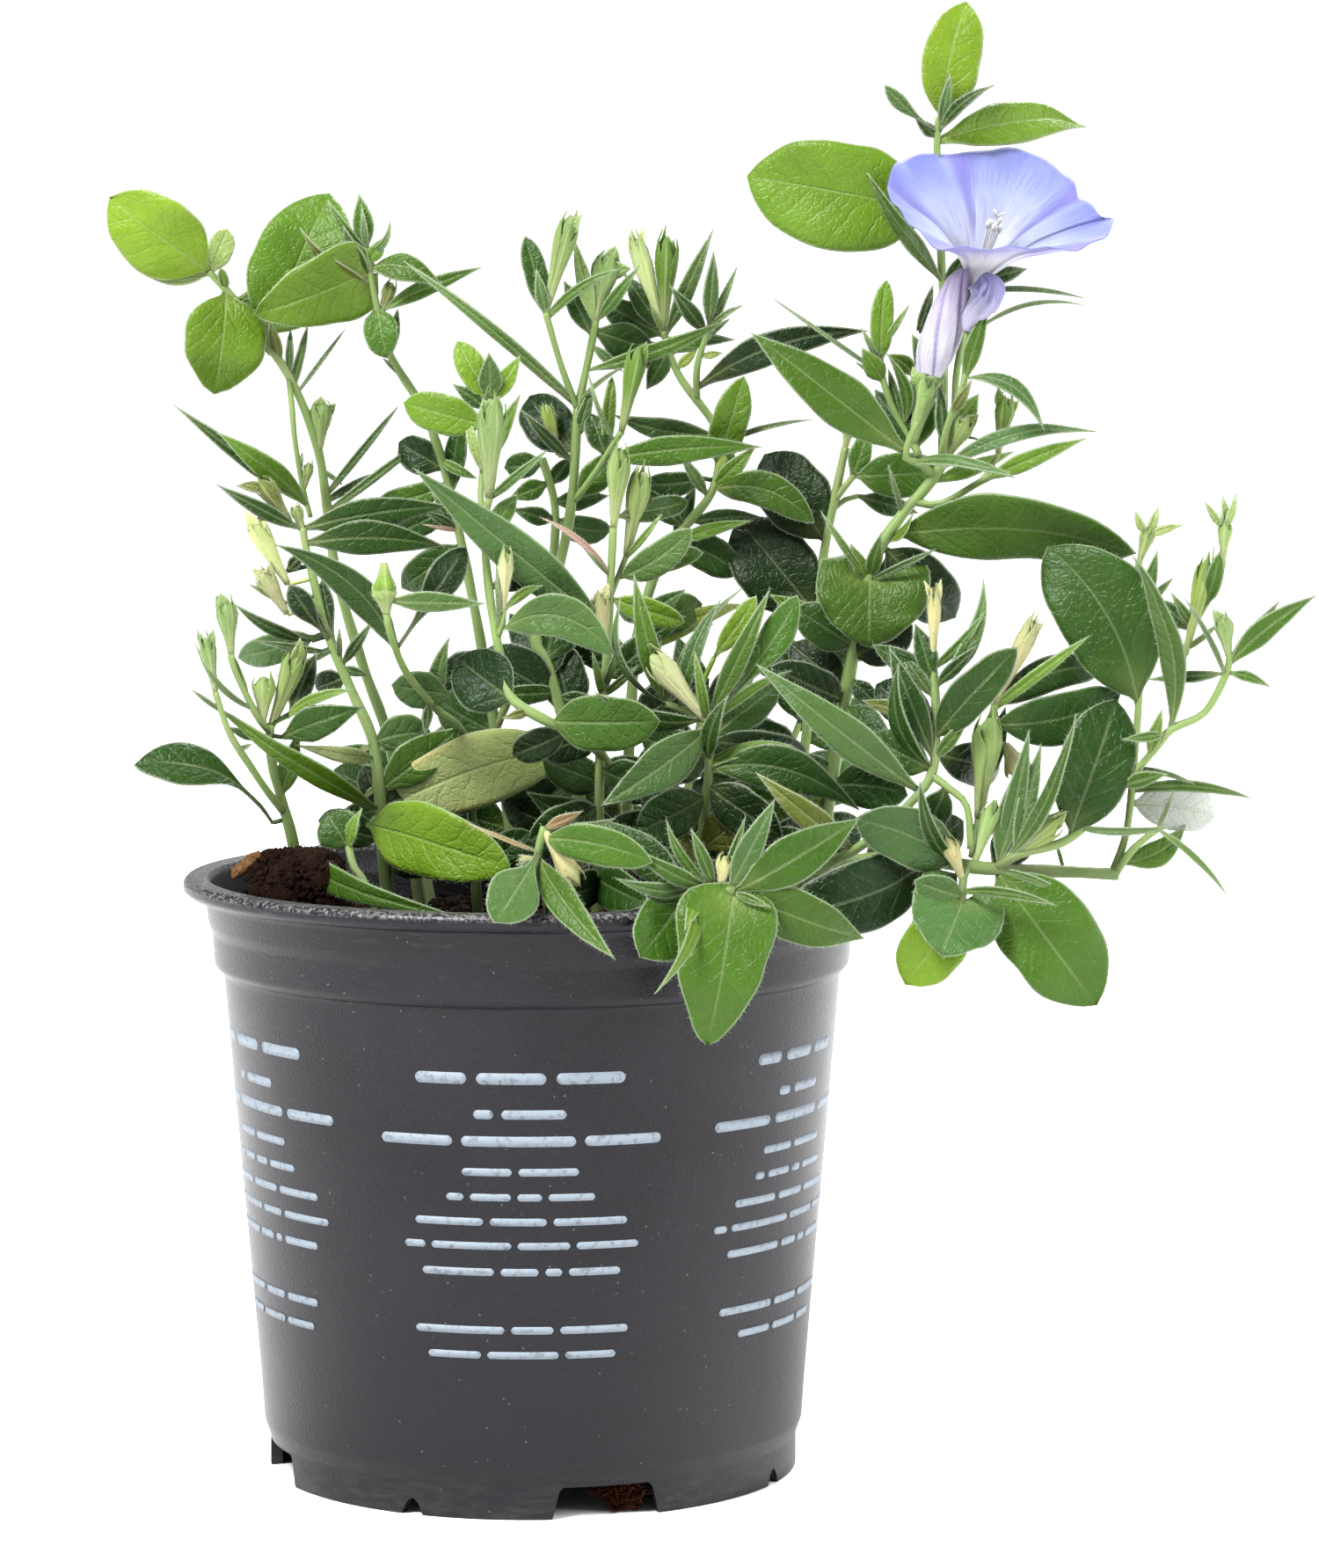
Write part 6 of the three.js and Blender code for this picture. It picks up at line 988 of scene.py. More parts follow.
def leaf(skin, foot, tip, width, face, arc, outline, tone, rng, yellowing=False):
    """A leaf blade as a thin closed sheet, with its margin's hairs."""
    along, left, normal = blade_axes(foot, tip, face)
    length = (tip - foot).length
    rows = min(max(int(length / 1.1), 8), 30)
    cols = 6 if width < 3.5 else (8 if width < 8 else 12)
    bow = rng.uniform(0.03, 0.12)
    fold = rng.uniform(0.12, 0.34) if width < 9 else rng.uniform(0.1, 0.22)
    twist = math.radians(rng.uniform(-22, 22))
    wave = 0.035 * width * smooth(3, 10, width)
    waves = rng.uniform(1.3, 2.4)
    phase = rng.uniform(0, 6.3)
    curl = rng.uniform(-0.04, 0.12) * length
    own = rng.random()
    lopsided = rng.uniform(-0.08, 0.08)
    ragged = Vector((rng.uniform(0, 50), 0, 0))
    upper, lower, where, tones = [], [], [], []
    lobe = LOBES.get(outline, 0) * length
    edges = {0: [], cols: []}
    for i in range(rows + 1):
        t = i / rows
        half = max(along_table(OUTLINES[outline], t) * width / 2, 0.3 if t < 0.5 else 0.03)
        rise = 4 * t * (1 - t)
        turned = Quaternion(along, twist * (t - 0.3))
        up = turned @ normal
        side = up.cross(along)
        centre = foot + along * length * t + left * arc * rise + normal * bow * length * rise
        centre -= normal * curl * smooth(0.6, 1, t) * t
        for j in range(cols + 1):
            s = 2 * j / cols - 1
            wide = half * (1 + lopsided * s + 0.07 * s * s * noise.noise(ragged + Vector((t * 5, s, 0))))
            lift = fold * half * math.sqrt(s * s + 0.02) * smooth(0, 0.15, t)
            lift -= 0.5 * fold * half * s ** 4
            swing = math.sin(2 * math.pi * waves * t + phase + (1.4 if s > 0 else 0))
            lift += wave * s * s * swing * smooth(0, 0.3, t)
            point = centre + side * s * wide + up * lift - along * lobe * smooth(0.5, 0, t) * abs(s) ** 1.6
            thick = LEAF_THICKNESS / 2 * (1 - 0.6 * s * s) + 0.12 * (1 - t) * smooth(0.25, 0, abs(s))
            upper.append(point + up * thick)
            lower.append(point - up * thick)
            where.append((t, s, half))
            tones.append(aged(tone, t, s, yellowing))
            if j in edges:
                edges[j].append((point, side * (1 if j else -1), up))
    spans = [(length, own, 0)] * len(upper) + [(length, own, 1)] * len(lower)
    skin.add(upper + lower, sheet_faces(rows, cols), "leaf", tones * 2, where * 2, spans)
    per_row = max(int(length / rows / HAIR_SPACING), 1)
    for rim in edges.values():
        for i in range(1, rows):
            for _ in range(per_row):
                share = rng.random()
                point = rim[i][0].lerp(rim[i + 1][0], share)
                out, up = rim[i][1:]
                direction = out + along * rng.uniform(0.3, 1.2) + up * rng.uniform(-0.4, 0.4)
                reach = rng.uniform(0.4, 0.85)
                hair(skin, point - out * 0.05, direction.normalized(), reach, HAIR_WIDTH, up)


# Radius along a calyx, as a share of its widest radius.
CUP_PROFILE = (
    (0, 0.24), (0.18, 0.38), (0.38, 0.56), (0.56, 0.84), (0.72, 1), (0.86, 0.78), (0.95, 0.45), (1, 0.2),
)


def sepal_radius(width, share):
    """How far a sepal lies from its calyx's axis."""
    return max(along_table(CUP_PROFILE, min(share, 1)) * width * 0.46, 0.2)


def sepal_spread(t):
    """Half the turn that a sepal covers, narrowing to its tip."""
    return 0.8 * (1 - smooth(0.7, 1, t)) + 0.03


def cup(skin, foot, end, width, tone, tips, rng):
    """A calyx: a spindle with five hairy sepals laid around it, and any spread sepal tips."""
    axis = (end - foot).normalized()
    length = (end - foot).length
    side = axis.cross(Vector((0, 1, 0.3))).normalized()
    other = axis.cross(side)
    rows = 12
    core = [foot + axis * length * 0.93 * i / rows for i in range(rows + 1)]
    radii = [max(along_table(CUP_PROFILE, i / rows) * width * 0.44, 0.12) for i in range(rows + 1)]
    tube(skin, core, radii, 12, "sepal", tone, span=(length, rng.random(), 0))
    start = rng.uniform(0, 6.3)
    for k in range(5):
        angle = start + k * 2 * math.pi / 5
        reach = rng.uniform(0.85, 1.08)
        flare = rng.uniform(0.02, 0.15) * width
        steps = 9
        cols = 4
        outer, inner, where = [], [], []
        for i in range(steps + 1):
            t = i / steps
            here = t * reach
            radius = sepal_radius(width, here) + flare * smooth(0.76, 1, t) + 0.03 * k
            centre = foot + axis * length * here
            for j in range(cols + 1):
                s = 2 * j / cols - 1
                turn = angle + s * sepal_spread(t)
                out = math.cos(turn) * side + math.sin(turn) * other
                outer.append(centre + out * (radius + 0.1 - 0.05 * s * s))
                inner.append(centre + out * (radius - 0.1))
                where.append((t, s, width * 0.3))
        span = (length, rng.random(), 0)
        skin.add(inner + outer, sheet_faces(steps, cols), "sepal", tone, where * 2, span)
        for i in range(1, steps):
            for _ in range(5):
                s = rng.choice((-1, 1, rng.uniform(-1, 1)))
                t = (i + rng.random()) / steps
                radius = sepal_radius(width, t * reach) + 0.1
                turn = angle + s * sepal_spread(t)
                out = math.cos(turn) * side + math.sin(turn) * other
                direction = (out + axis * rng.uniform(0.2, 1.4)).normalized()
                root = foot + axis * length * t * reach + out * radius
                hair(skin, root, direction, rng.uniform(0.35, 0.8), HAIR_WIDTH, axis)
    for tip in tips:
        base = foot.lerp(end, 0.72)
        leaf(skin, base, tip, max(width * 0.62, 1.1), rng.uniform(-40, 40), 0, "lance", tone, rng)


def nearest_on_stems(stems, across, up):
    """The nearest point of the stems to a point of the plan, and how far it lies from it."""
    best = (1e9, 0, 0, 0)
    for _, _, points in stems:
        for (u0, v0, d0), (u1, v1, d1) in zip(points, points[1:]):
            run = (u1 - u0) ** 2 + (v1 - v0) ** 2
            share = min(max(((across - u0) * (u1 - u0) + (up - v0) * (v1 - v0)) / run, 0), 1)
            u, v, d = u0 + share * (u1 - u0), v0 + share * (v1 - v0), d0 + share * (d1 - d0)
            best = min(best, (math.hypot(across - u, up - v), u, v, d))
    return best


def foot_of(skin, stems, across, up, rng, tone):
    """Where a leaf or calyx starts, and how near the eye. Away from the stem it gets a stalk."""
    distance, u, v, d = nearest_on_stems(stems, across, up)
    point = place(u, v, d)
    if distance <= SNAP_DISTANCE:
        return point, d
    foot = place(across, up, d)
    stem(skin, [point, point.lerp(foot, 0.5), foot], 0.5, 0.45, rng, tone)
    return foot, d


def add_leaf(skin, shoot, row, rng):
    across, up, tip_across, tip_up, deeper, width, outline, label, *turned = row
    face, arc = (*turned, 0, 0)[:2]
    tone = varied(TONES[label], rng)
    foot, depth = foot_of(skin, shoot["stem"], across, up, rng, tone)
    tip = place(tip_across, tip_up, depth + deeper)
    leaf(skin, foot, tip, width, face, arc, outline, tone, rng, label == "yellow")


def varied(code, rng):
    """A colour a little lighter or darker, warmer or cooler than its code."""
    light = rng.uniform(0.84, 1.18)
    warm = rng.uniform(-0.07, 0.07)
    r, g, b = linear(code)
    return (r * light * (1 + warm), g * light, b * light * (1 - warm))


def shoot_skin(shoot):
    rng = random.Random(shoot["name"])
    skin = Skin()
    tone = linear(TONES["stem"])
    for foot_radius, end_radius, points in shoot["stem"]:
        stem(skin, [place(*point) for point in points], foot_radius, end_radius, rng, tone)
    for across, up, end_across, end_up, width, label, tips in shoot["cup"]:
        shade = varied(TONES[label], rng)
        foot, depth = foot_of(skin, shoot["stem"], across, up, rng, shade)
        ends = [place(u, v, depth + rng.uniform(-1, 1)) for u, v in tips]
        cup(skin, foot, place(end_across, end_up, depth), width, shade, ends, rng)
    for row in shoot["leaf"]:
        add_leaf(skin, shoot, row, rng)
    return skin


# Finishes


class Value:
    """A number or colour that varies over a surface. The operators add the nodes that work it out."""

    def __init__(self, finish, socket):
        self.finish = finish
        self.socket = socket

    def maths(self, operation, *parts):
        values = dict(enumerate(parts))
        return self.finish.add("ShaderNodeMath", {"operation": operation}, values)

    def __add__(self, other):
        return self.maths("ADD", self, other)

    def __radd__(self, other):
        return self.maths("ADD", other, self)

    def __sub__(self, other):
        return self.maths("SUBTRACT", self, other)

    def __rsub__(self, other):
        return self.maths("SUBTRACT", other, self)

    def __mul__(self, other):
        return self.maths("MULTIPLY", self, other)

    def __rmul__(self, other):
        return self.maths("MULTIPLY", other, self)

    def __truediv__(self, other):
        return self.maths("DIVIDE", self, other)

    def __abs__(self):
        return self.maths("ABSOLUTE", self)

    def fraction(self):
        return self.maths("FRACT", self)

    def clipped(self):
        return self.maths("MINIMUM", self.maths("MAXIMUM", self, 0), 1)

    def ramp(self, low, high):
        """0 below low and 1 above high, smooth between. With low above high it falls."""
        start, end = (0, 1) if low < high else (1, 0)
        settings = {"interpolation_type": "SMOOTHSTEP"}
        values = {0: self, 1: min(low, high), 2: max(low, high), 3: start, 4: end}
        return self.finish.add("ShaderNodeMapRange", settings, values)


class Finish:
    """The nodes that give a material its colour, gloss and relief, or the sky its light."""

    def __init__(self, block):
        block.use_nodes = True
        self.block = block
        self.tree = block.node_tree
        self.tree.nodes.clear()

    def add(self, kind, settings, values, out=0):
        node = self.tree.nodes.new(kind)
        for name, setting in settings.items():
            setattr(node, name, setting)
        for key, value in values.items():
            socket = node.inputs[key]
            if isinstance(value, Value):
                self.tree.links.new(value.socket, socket)
            else:
                socket.default_value = value
        return Value(self, node.outputs[out]) if node.outputs else None

    def place(self):
        """Where a point is, in metres."""
        return self.add("ShaderNodeTexCoord", {}, {}, "Object")

    def parts(self, label):
        """The three numbers that the mesh carries under a label."""
        vector = self.add("ShaderNodeAttribute", {"attribute_name": label}, {}, "Vector")
        return [self.add("ShaderNodeSeparateXYZ", {}, {0: vector}, i) for i in range(3)]

    def tone(self):
        return self.add("ShaderNodeAttribute", {"attribute_name": "tone"}, {}, "Color")

    def noise(self, size, detail=3, rough=0.55, at=None, spread=0):
        """Smooth noise from 0 to 1, with features about size millimetres across."""
        values = {"Vector": at or self.place(), "Scale": 1 / (size * MM), "Detail": detail}
        values.update({"Roughness": rough, "Distortion": spread})
        return self.add("ShaderNodeTexNoise", {}, values)

    def cells(self, size, feature="DISTANCE_TO_EDGE", at=None):
        """A net of cells about size millimetres across."""
        values = {"Vector": at or self.place(), "Scale": 1 / (size * MM)}
        return self.add("ShaderNodeTexVoronoi", {"feature": feature}, values)

    def point(self, x, y, z):
        return self.add("ShaderNodeCombineXYZ", {}, {0: x, 1: y, 2: z})

    def blend(self, share, first, second, mode="MIX"):
        colours = [c if isinstance(c, Value) else (*c, 1) for c in (first, second)]
        settings = {"data_type": "RGBA", "blend_type": mode}
        return self.add("ShaderNodeMix", settings, {0: share, 6: colours[0], 7: colours[1]}, 2)

    def shaded(self, colour, amount):
        """A colour made lighter or darker by a number that varies."""
        grey = self.add("ShaderNodeCombineColor", {}, {0: amount, 1: amount, 2: amount})
        return self.blend(1.0, colour, grey, "MULTIPLY")

    def surface(self, colour, roughness, height=None, relief=0.2, **constants):
        """Ends the finish. Relief is the height of the bumps in millimetres."""
        values = {"Base Color": colour, "Roughness": roughness}
        # A finish given Emission_Strength glows in its own colour: painted light on the petals and stamens.
        # The floor brings its own glow colour.
        if "Emission_Strength" in constants:
            values["Emission Color"] = colour
        if height is not None:
            bump = {"Height": height, "Distance": relief * MM, "Strength": 1.0}
            values["Normal"] = self.add("ShaderNodeBump", {}, bump)
        values.update({name.replace("_", " "): value for name, value in constants.items()})
        shader = self.add("ShaderNodeBsdfPrincipled", {}, values)
        self.add("ShaderNodeOutputMaterial", {}, {"Surface": shader})
        return self.block


def leaf_finish():
    """Satin leaf: pale midrib and side veins, a fine net, a pale hairy margin, a greyer underside."""
    f = Finish(bpy.data.materials.new("leaf_skin"))
    share, side, half = f.parts("blade")
    length, own, under = f.parts("span")
    along = share * length
    out = abs(side) * half
    net_place = f.point(along * MM, side * half * MM, own)
    spacing = length * 0.11 + 1.2
    curve = along - out * 1.15 + out * out * 0.03 + side * half * 0.14
    number = (curve / spacing + f.noise(8, 2, at=net_place) * 1.1).fraction()
    from_vein = (0.5 - abs(number - 0.5)) * spacing
    vein = from_vein.ramp(0.28, 0.05) * abs(side).ramp(1, 0.6) * share.ramp(0.02, 0.12)
    rib = out.ramp(0.4, 0.14) * share.ramp(1.02, 0.7)
    pillow = from_vein.ramp(0, 1.2) * out.ramp(0.1, 1.4)
    net = f.cells(1.5, at=net_place).ramp(0.16, 0.02) * 0.5
    lines = (rib * 0.8 + vein * 0.2 + net * 0.12).clipped()
    margin = (half - out).ramp(0.42, 0.16)
    patch = f.noise(7, 2)
    fine = f.noise(0.5, 3)
    colour = f.shaded(f.tone(), 0.72 + patch * 0.42 + fine * 0.14)
    pale = f.blend(0.35, f.tone(), linear("c9d8a0"))
    colour = f.blend(lines * 0.6, colour, pale)
    dull = f.blend(0.36, f.tone(), linear("9fb392"))
    colour = f.blend(under * (0.75 + lines * 0.25), colour, dull)
    colour = f.blend(margin * 0.42, colour, linear("d3dfc0"))
    down = f.cells(1.2, "F1").ramp(0.13, 0.04) * f.noise(5, 1).ramp(0.35, 0.6)
    colour = f.blend(down * 0.4, colour, linear("dfe8cf"))
    height = fine * 0.6 + patch * 0.7 + pillow * 0.24 - rib * 0.6 - vein * 0.25 - net * 0.45
    rough = 0.27 + fine * 0.18 + under * 0.3
    return f.surface(colour, rough, height, 0.24, Specular_IOR_Level=0.18)


def sepal_finish():
    f = Finish(bpy.data.materials.new("sepal_skin"))
    share, side, half = f.parts("blade")
    rib = (abs(side) * half).ramp(0.3, 0.08)
    streak = f.noise(0.9, 3, at=f.point(side * half * MM, share * 0.002, 0))
    fine = f.noise(0.5, 3)
    colour = f.shaded(f.tone(), 0.78 + streak * 0.3 + fine * 0.2)
    colour = f.blend(share.ramp(0.55, 0.95) * 0.5, colour, linear("6f9440"))
    colour = f.blend(share.ramp(0.6, 0.1) * 0.45, colour, linear("d3d9a4"))
    colour = f.blend(rib * 0.3, colour, linear("dfe6b8"))
    height = fine * 0.5 - rib * 0.5
    return f.surface(colour, 0.56 + fine * 0.12, height, 0.1, Sheen_Weight=0.03, Specular_IOR_Level=0.3)


def stem_finish():
    f = Finish(bpy.data.materials.new("stem_skin"))
    share, side, radius = f.parts("blade")
    length, own = f.parts("span")[:2]
    along = share * length
    streak = f.noise(1.6, 3, at=f.point(along * MM * 0.12, side * radius * MM, own))
    patch = f.noise(11, 2)
    fine = f.noise(0.4, 2)
    colour = f.shaded(f.tone(), 0.72 + streak * 0.35 + fine * 0.2)
    colour = f.blend(patch.ramp(0.52, 0.72) * 0.5, colour, linear("b2bb84"))
    colour = f.blend(share.ramp(0.12, 0) * 0.5, colour, linear("77754e"))
    # Painted shade: stems are painted darker below 126 mm, toward the mix, where the low parts of the plant
    # lie in shade.
    level = f.add("ShaderNodeSeparateXYZ", {}, {0: f.place()}, "Z")
    colour = f.blend(level.ramp(0.126, 0.106) * 0.65, colour, linear("3f4526"))
    height = streak * 0.6 + fine * 0.4
    return f.surface(colour, 0.5 + fine * 0.15, height, 0.12, Sheen_Weight=0.03, Specular_IOR_Level=0.3)


def hair_finish():
    f = Finish(bpy.data.materials.new("fine_hair"))
    fine = f.noise(0.6, 1)
    return f.surface(f.shaded(f.tone(), 0.85 + fine * 0.2), 0.5 + fine * 0.1)


def petal_finish(name, vein_colour, strength):
    """Thin petal: fine veins run from the throat to the rim, and a faint glow in its own colour that is
    painted light. Blade is (share out, angle, width).
    """
    f = Finish(bpy.data.materials.new(name))
    share, angle = f.parts("blade")[:2]
    warped = f.point(angle * 0.02, share * 0.0015, 0)
    veins = f.noise(0.45, 2, at=warped).ramp(0.52, 0.72)
    cloth = f.noise(2.5, 3)
    fine = f.noise(0.35, 2)
    colour = f.shaded(f.tone(), 0.93 + cloth * 0.08 + fine * 0.04)
    colour = f.blend(veins * strength, colour, vein_colour)
    height = veins * 0.5 + fine * 0.4 + cloth * 0.6
    # Painted light: the petals glow faintly in their own colour.
    return f.surface(colour, 0.5 + fine * 0.15, height, 0.1, Sheen_Weight=0.1, Emission_Strength=0.12)


def plastic_finish():
    """Recycled grey pot plastic: moulded grain, tiny specks, dust, pale scuffs on the rim's top that are
    partly a painted highlight, and a lower wall painted lighter as painted light.
    """
    f = Finish(bpy.data.materials.new("pot_plastic"))
    x, y, z = [f.add("ShaderNodeSeparateXYZ", {}, {0: f.place()}, i) for i in range(3)]
    grain = f.noise(0.55, 3)
    cloud = f.noise(26, 3)
    smear = f.noise(5, 4, at=f.point(x, y, z * 5.0))
    specks = f.cells(1.9, "F1").ramp(0.13, 0.05) * f.noise(4, 1).ramp(0.5, 0.62)
    flecks = f.cells(1.3, "F1").ramp(0.16, 0.08) * f.noise(2.2, 1).ramp(0.62, 0.7)
    colour = f.blend(cloud.ramp(0.3, 0.7), linear("1c1b22"), linear("26252c"))
    colour = f.blend(grain.ramp(0.45, 0.8) * 0.4, colour, linear("49484f"))
    dust = smear.ramp(0.56, 0.8) * z.ramp(0.09, 0.112) * 0.35
    foot = z.ramp(0.012, 0.0) * smear.ramp(0.4, 0.7) * 0.25
    # Painted light: the wall is painted lighter from 70 mm down toward the foot.
    colour = f.blend(z.ramp(0.07, 0.012) * 0.5, colour, linear("37363b"))
    colour = f.blend(dust, colour, linear("85827d"))
    # Pale marks on the rim's top: partly scuffs, partly a painted highlight along the top edge.
    rim_scuff_and_highlight = z.ramp(0.1099, 0.1108) * f.noise(0.6, 3).ramp(0.42, 0.62) * 0.6
    colour = f.blend(rim_scuff_and_highlight, colour, linear("b4b3b2"))
    colour = f.blend(foot, colour, linear("746e66"))
    colour = f.blend(specks * 0.6, colour, linear("a5a29c"))
    colour = f.blend(flecks * 0.5, colour, linear("202022"))
    rough = 0.34 + grain * 0.14 + dust * 0.3 - cloud * 0.04
    return f.surface(colour, rough, grain + flecks * 0.5, 0.11, Specular_IOR_Level=0.24)


def label_finish():
    """Screen-printed pale ink, a little worn."""
    f = Finish(bpy.data.materials.new("printed_ink"))
    grain = f.noise(0.35, 3)
    wear = f.noise(1.2, 4)
    colour = f.blend(wear.ramp(0.5, 0.7) * 0.6, linear("aebcc9"), linear("5f6469"))
    colour = f.shaded(colour, 0.9 + grain * 0.15)
    return f.surface(colour, 0.55 + grain * 0.1, grain, 0.03)


def mix_finish(name, damp, dry, size):
    """Potting mix, peat, bark or roots: fibres and grains from a damp to a dry colour."""
    f = Finish(bpy.data.materials.new(name))
    grain = f.noise(size, 4, 0.7)
    fibre = f.noise(size * 3, 4, 0.7, spread=2.5)
    patch = f.noise(size * 12, 2)
    colour = f.blend((grain * 0.6 + fibre * 0.6 - 0.1).ramp(0.3, 0.8), damp, dry)
    colour = f.blend(0.5, colour, f.tone(), "OVERLAY")
    colour = f.shaded(colour, 0.75 + patch * 0.5)
    return f.surface(colour, 0.85 + grain * 0.12, grain + fibre, 0.5, Specular_IOR_Level=0.08)


def cream_finish():
    """Stamens: pollen on the anthers, satin filaments, and a faint glow in their own colour that is painted
    light.
    """
    f = Finish(bpy.data.materials.new("stamen_skin"))
    pollen = f.noise(0.3, 2)
    colour = f.shaded(f.tone(), 0.85 + pollen * 0.25)
    # Painted light: the stamens glow faintly in their own colour.
    return f.surface(colour, 0.6 + pollen * 0.1, pollen, 0.12, Emission_Strength=0.2)


FINISHES = {
    "leaf": leaf_finish(),
    "sepal": sepal_finish(),
    "stem": stem_finish(),
    "hair": hair_finish(),
    "petal": petal_finish("petal_skin", linear("8f92e0"), 0.25),
    "bud": petal_finish("bud_petal_skin", linear("a9a4dc"), 0.35),
    "plastic": plastic_finish(),
    "ink": label_finish(),
    "mix": mix_finish("potting_mix", linear("1f1511"), linear("5b4130"), 0.7),
    "peat": mix_finish("dry_peat", linear("170e0b"), linear("84604c"), 0.45),
    "bark": mix_finish("bark", linear("8a6444"), linear("d4b28a"), 0.8),
    "root": mix_finish("root", linear("4a2616"), linear("a86a42"), 0.7),
    "cream": cream_finish(),
}


def stand_for(piece, node, slot):
    """Lets a piece stand for its node of the plain model."""
    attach(piece, "root")
    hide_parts(node)


def put(skin, name, node, slot):
    stand_for(skin.make(name), node, slot)


# Pot


def around(angle, radius, z):
    """A point on a circle about the pot's axis. Angles are counted from the front toward the right."""
    turn = math.radians(angle)
    return Vector((radius * math.sin(turn), -radius * math.cos(turn), z))


def rounded(profile, radius):
    """A profile whose corners are turned to short arcs."""
    path = [Vector(profile[0])]
    for before, corner, after in zip(profile, profile[1:], profile[2:]):
        corner = Vector(corner)
        back = Vector(before) - corner
        on = Vector(after) - corner
        cut = min(radius, back.length * 0.45, on.length * 0.45)
        start = corner + back.normalized() * cut
        end = corner + on.normalized() * cut
        for k in range(4):
            t = k / 3
            path.append(start * (1 - t) ** 2 + corner * 2 * t * (1 - t) + end * t * t)
    path.append(Vector(profile[-1]))
    return path


def add_turned(skin, profile, sides, finish, tone=PLAIN_TONE, wobble=None):
    """A solid of revolution about the pot's axis. The profile runs from the axis to the axis."""
    points = []
    for r, z in profile[1:-1]:
        for k in range(sides):
            point = around(360 * k / sides, r, z)
            points.append(wobble(point) if wobble else point)
    points += [Vector((0, 0, profile[0][1])), Vector((0, 0, profile[-1][1]))]
    skin.add(points, rod_faces(len(profile) - 2, sides), finish, tone)


def add_prism(skin, front, back):
    """A solid between two outlines of as many points, for cutting."""
    n = len(front)
    faces = [tuple(range(n)), tuple(reversed(range(n, 2 * n)))]
    for i in range(n):
        j = (i + 1) % n
        faces.append((j, i, n + i, n + j))
    skin.add(front + back, faces, "plastic")


def add_slot(skin, angle, bottom, top, height):
    """A slot with a round-cornered top, cut up into the foot ring."""
    turn = math.radians(angle)
    across = Vector((math.cos(turn), math.sin(turn), 0))
    inward = Vector((-math.sin(turn), math.cos(turn), 0)) * SLOT_DEPTH
    slope = (bottom - top) / height
    wide = bottom / 2 + slope / 2
    corner = [(top / 2 + 0.5 * slope, height - 0.8), (top / 2 - 0.5, height)]
    outline = [(-wide, -1), (wide, -1), *corner, *[(-x, z) for x, z in reversed(corner)]]
    base = around(angle, RING_RADIUS - 1, 0)
    front = [base + across * x + Vector((0, 0, z)) - inward / 2 for x, z in outline]
    add_prism(skin, front, [point + inward for point in front])


def add_drain(skin, angle):
    """A round hole through the base above an arch."""
    turns = [2 * math.pi * k / DRAIN_SIDES for k in range(DRAIN_SIDES)]
    centre = around(angle, DRAIN_CENTRE_RADIUS, 3)
    low = [centre + DRAIN_RADIUS * Vector((math.cos(turn), math.sin(turn), 0)) for turn in turns]
    add_prism(skin, [point + Vector((0, 0, 9)) for point in low], low)


def cut_away(piece, cutter):
    """Cuts the cutter's solids out of the piece."""
    modifier = piece.modifiers.new("cut", "BOOLEAN")
    modifier.operation = "DIFFERENCE"
    modifier.solver = "EXACT"
    modifier.object = cutter
    bpy.context.view_layer.update()
    graph = bpy.context.evaluated_depsgraph_get()
    mesh = bpy.data.meshes.new_from_object(piece.evaluated_get(graph))
    piece.modifiers.clear()
    piece.data = mesh
    bpy.data.objects.remove(cutter)
    mesh.polygons.foreach_set("use_smooth", [True] * len(mesh.polygons))
    mesh.set_sharp_from_angle(angle=math.radians(32))


def wall_radius(z):
    """The outside of the pot's wall between the foot and the collar."""
    (low_radius, low), (high_radius, high) = WALL_FOOT, WALL_TOP
    return low_radius + (high_radius - low_radius) * (z - low) / (high - low)


def add_bar(skin, angle, start, length, z, height):
    """A worn bar of ink on the wall, with round ends."""
    steps = max(int(length / 0.3), 6)
    outline = []
    for k in range(steps + 1):
        share = k / steps
        beyond = max(abs(share - 0.5) * length - (length - height) / 2, 0) * 2 / height
        round_off = math.sqrt(max(1 - beyond ** 2, 0.05))
        for rise in (-1, 1):
            level = z + rise * height / 2 * round_off
            radius = wall_radius(level)
            outline.append(around(angle + math.degrees((start + length * share) / radius), radius, level))
    front = [p + Vector((p.x, p.y, 0)).normalized() * 0.025 for p in outline]
    back = [p - Vector((p.x, p.y, 0)).normalized() * 0.1 for p in outline]
    skin.add(front + back, sheet_faces(steps, 1), "ink")


def add_print(skin, angle, top, rows):
    """A panel of word-length bars where a printed notice would be: no letters."""
    for drop, row_height, bars in rows:
        gap = row_height * 0.6
        start = -(sum(bars) + gap * (len(bars) - 1)) / 2
        for length in bars:
            add_bar(skin, angle, start, length, top - drop, row_height * 0.7)
            start += length + gap


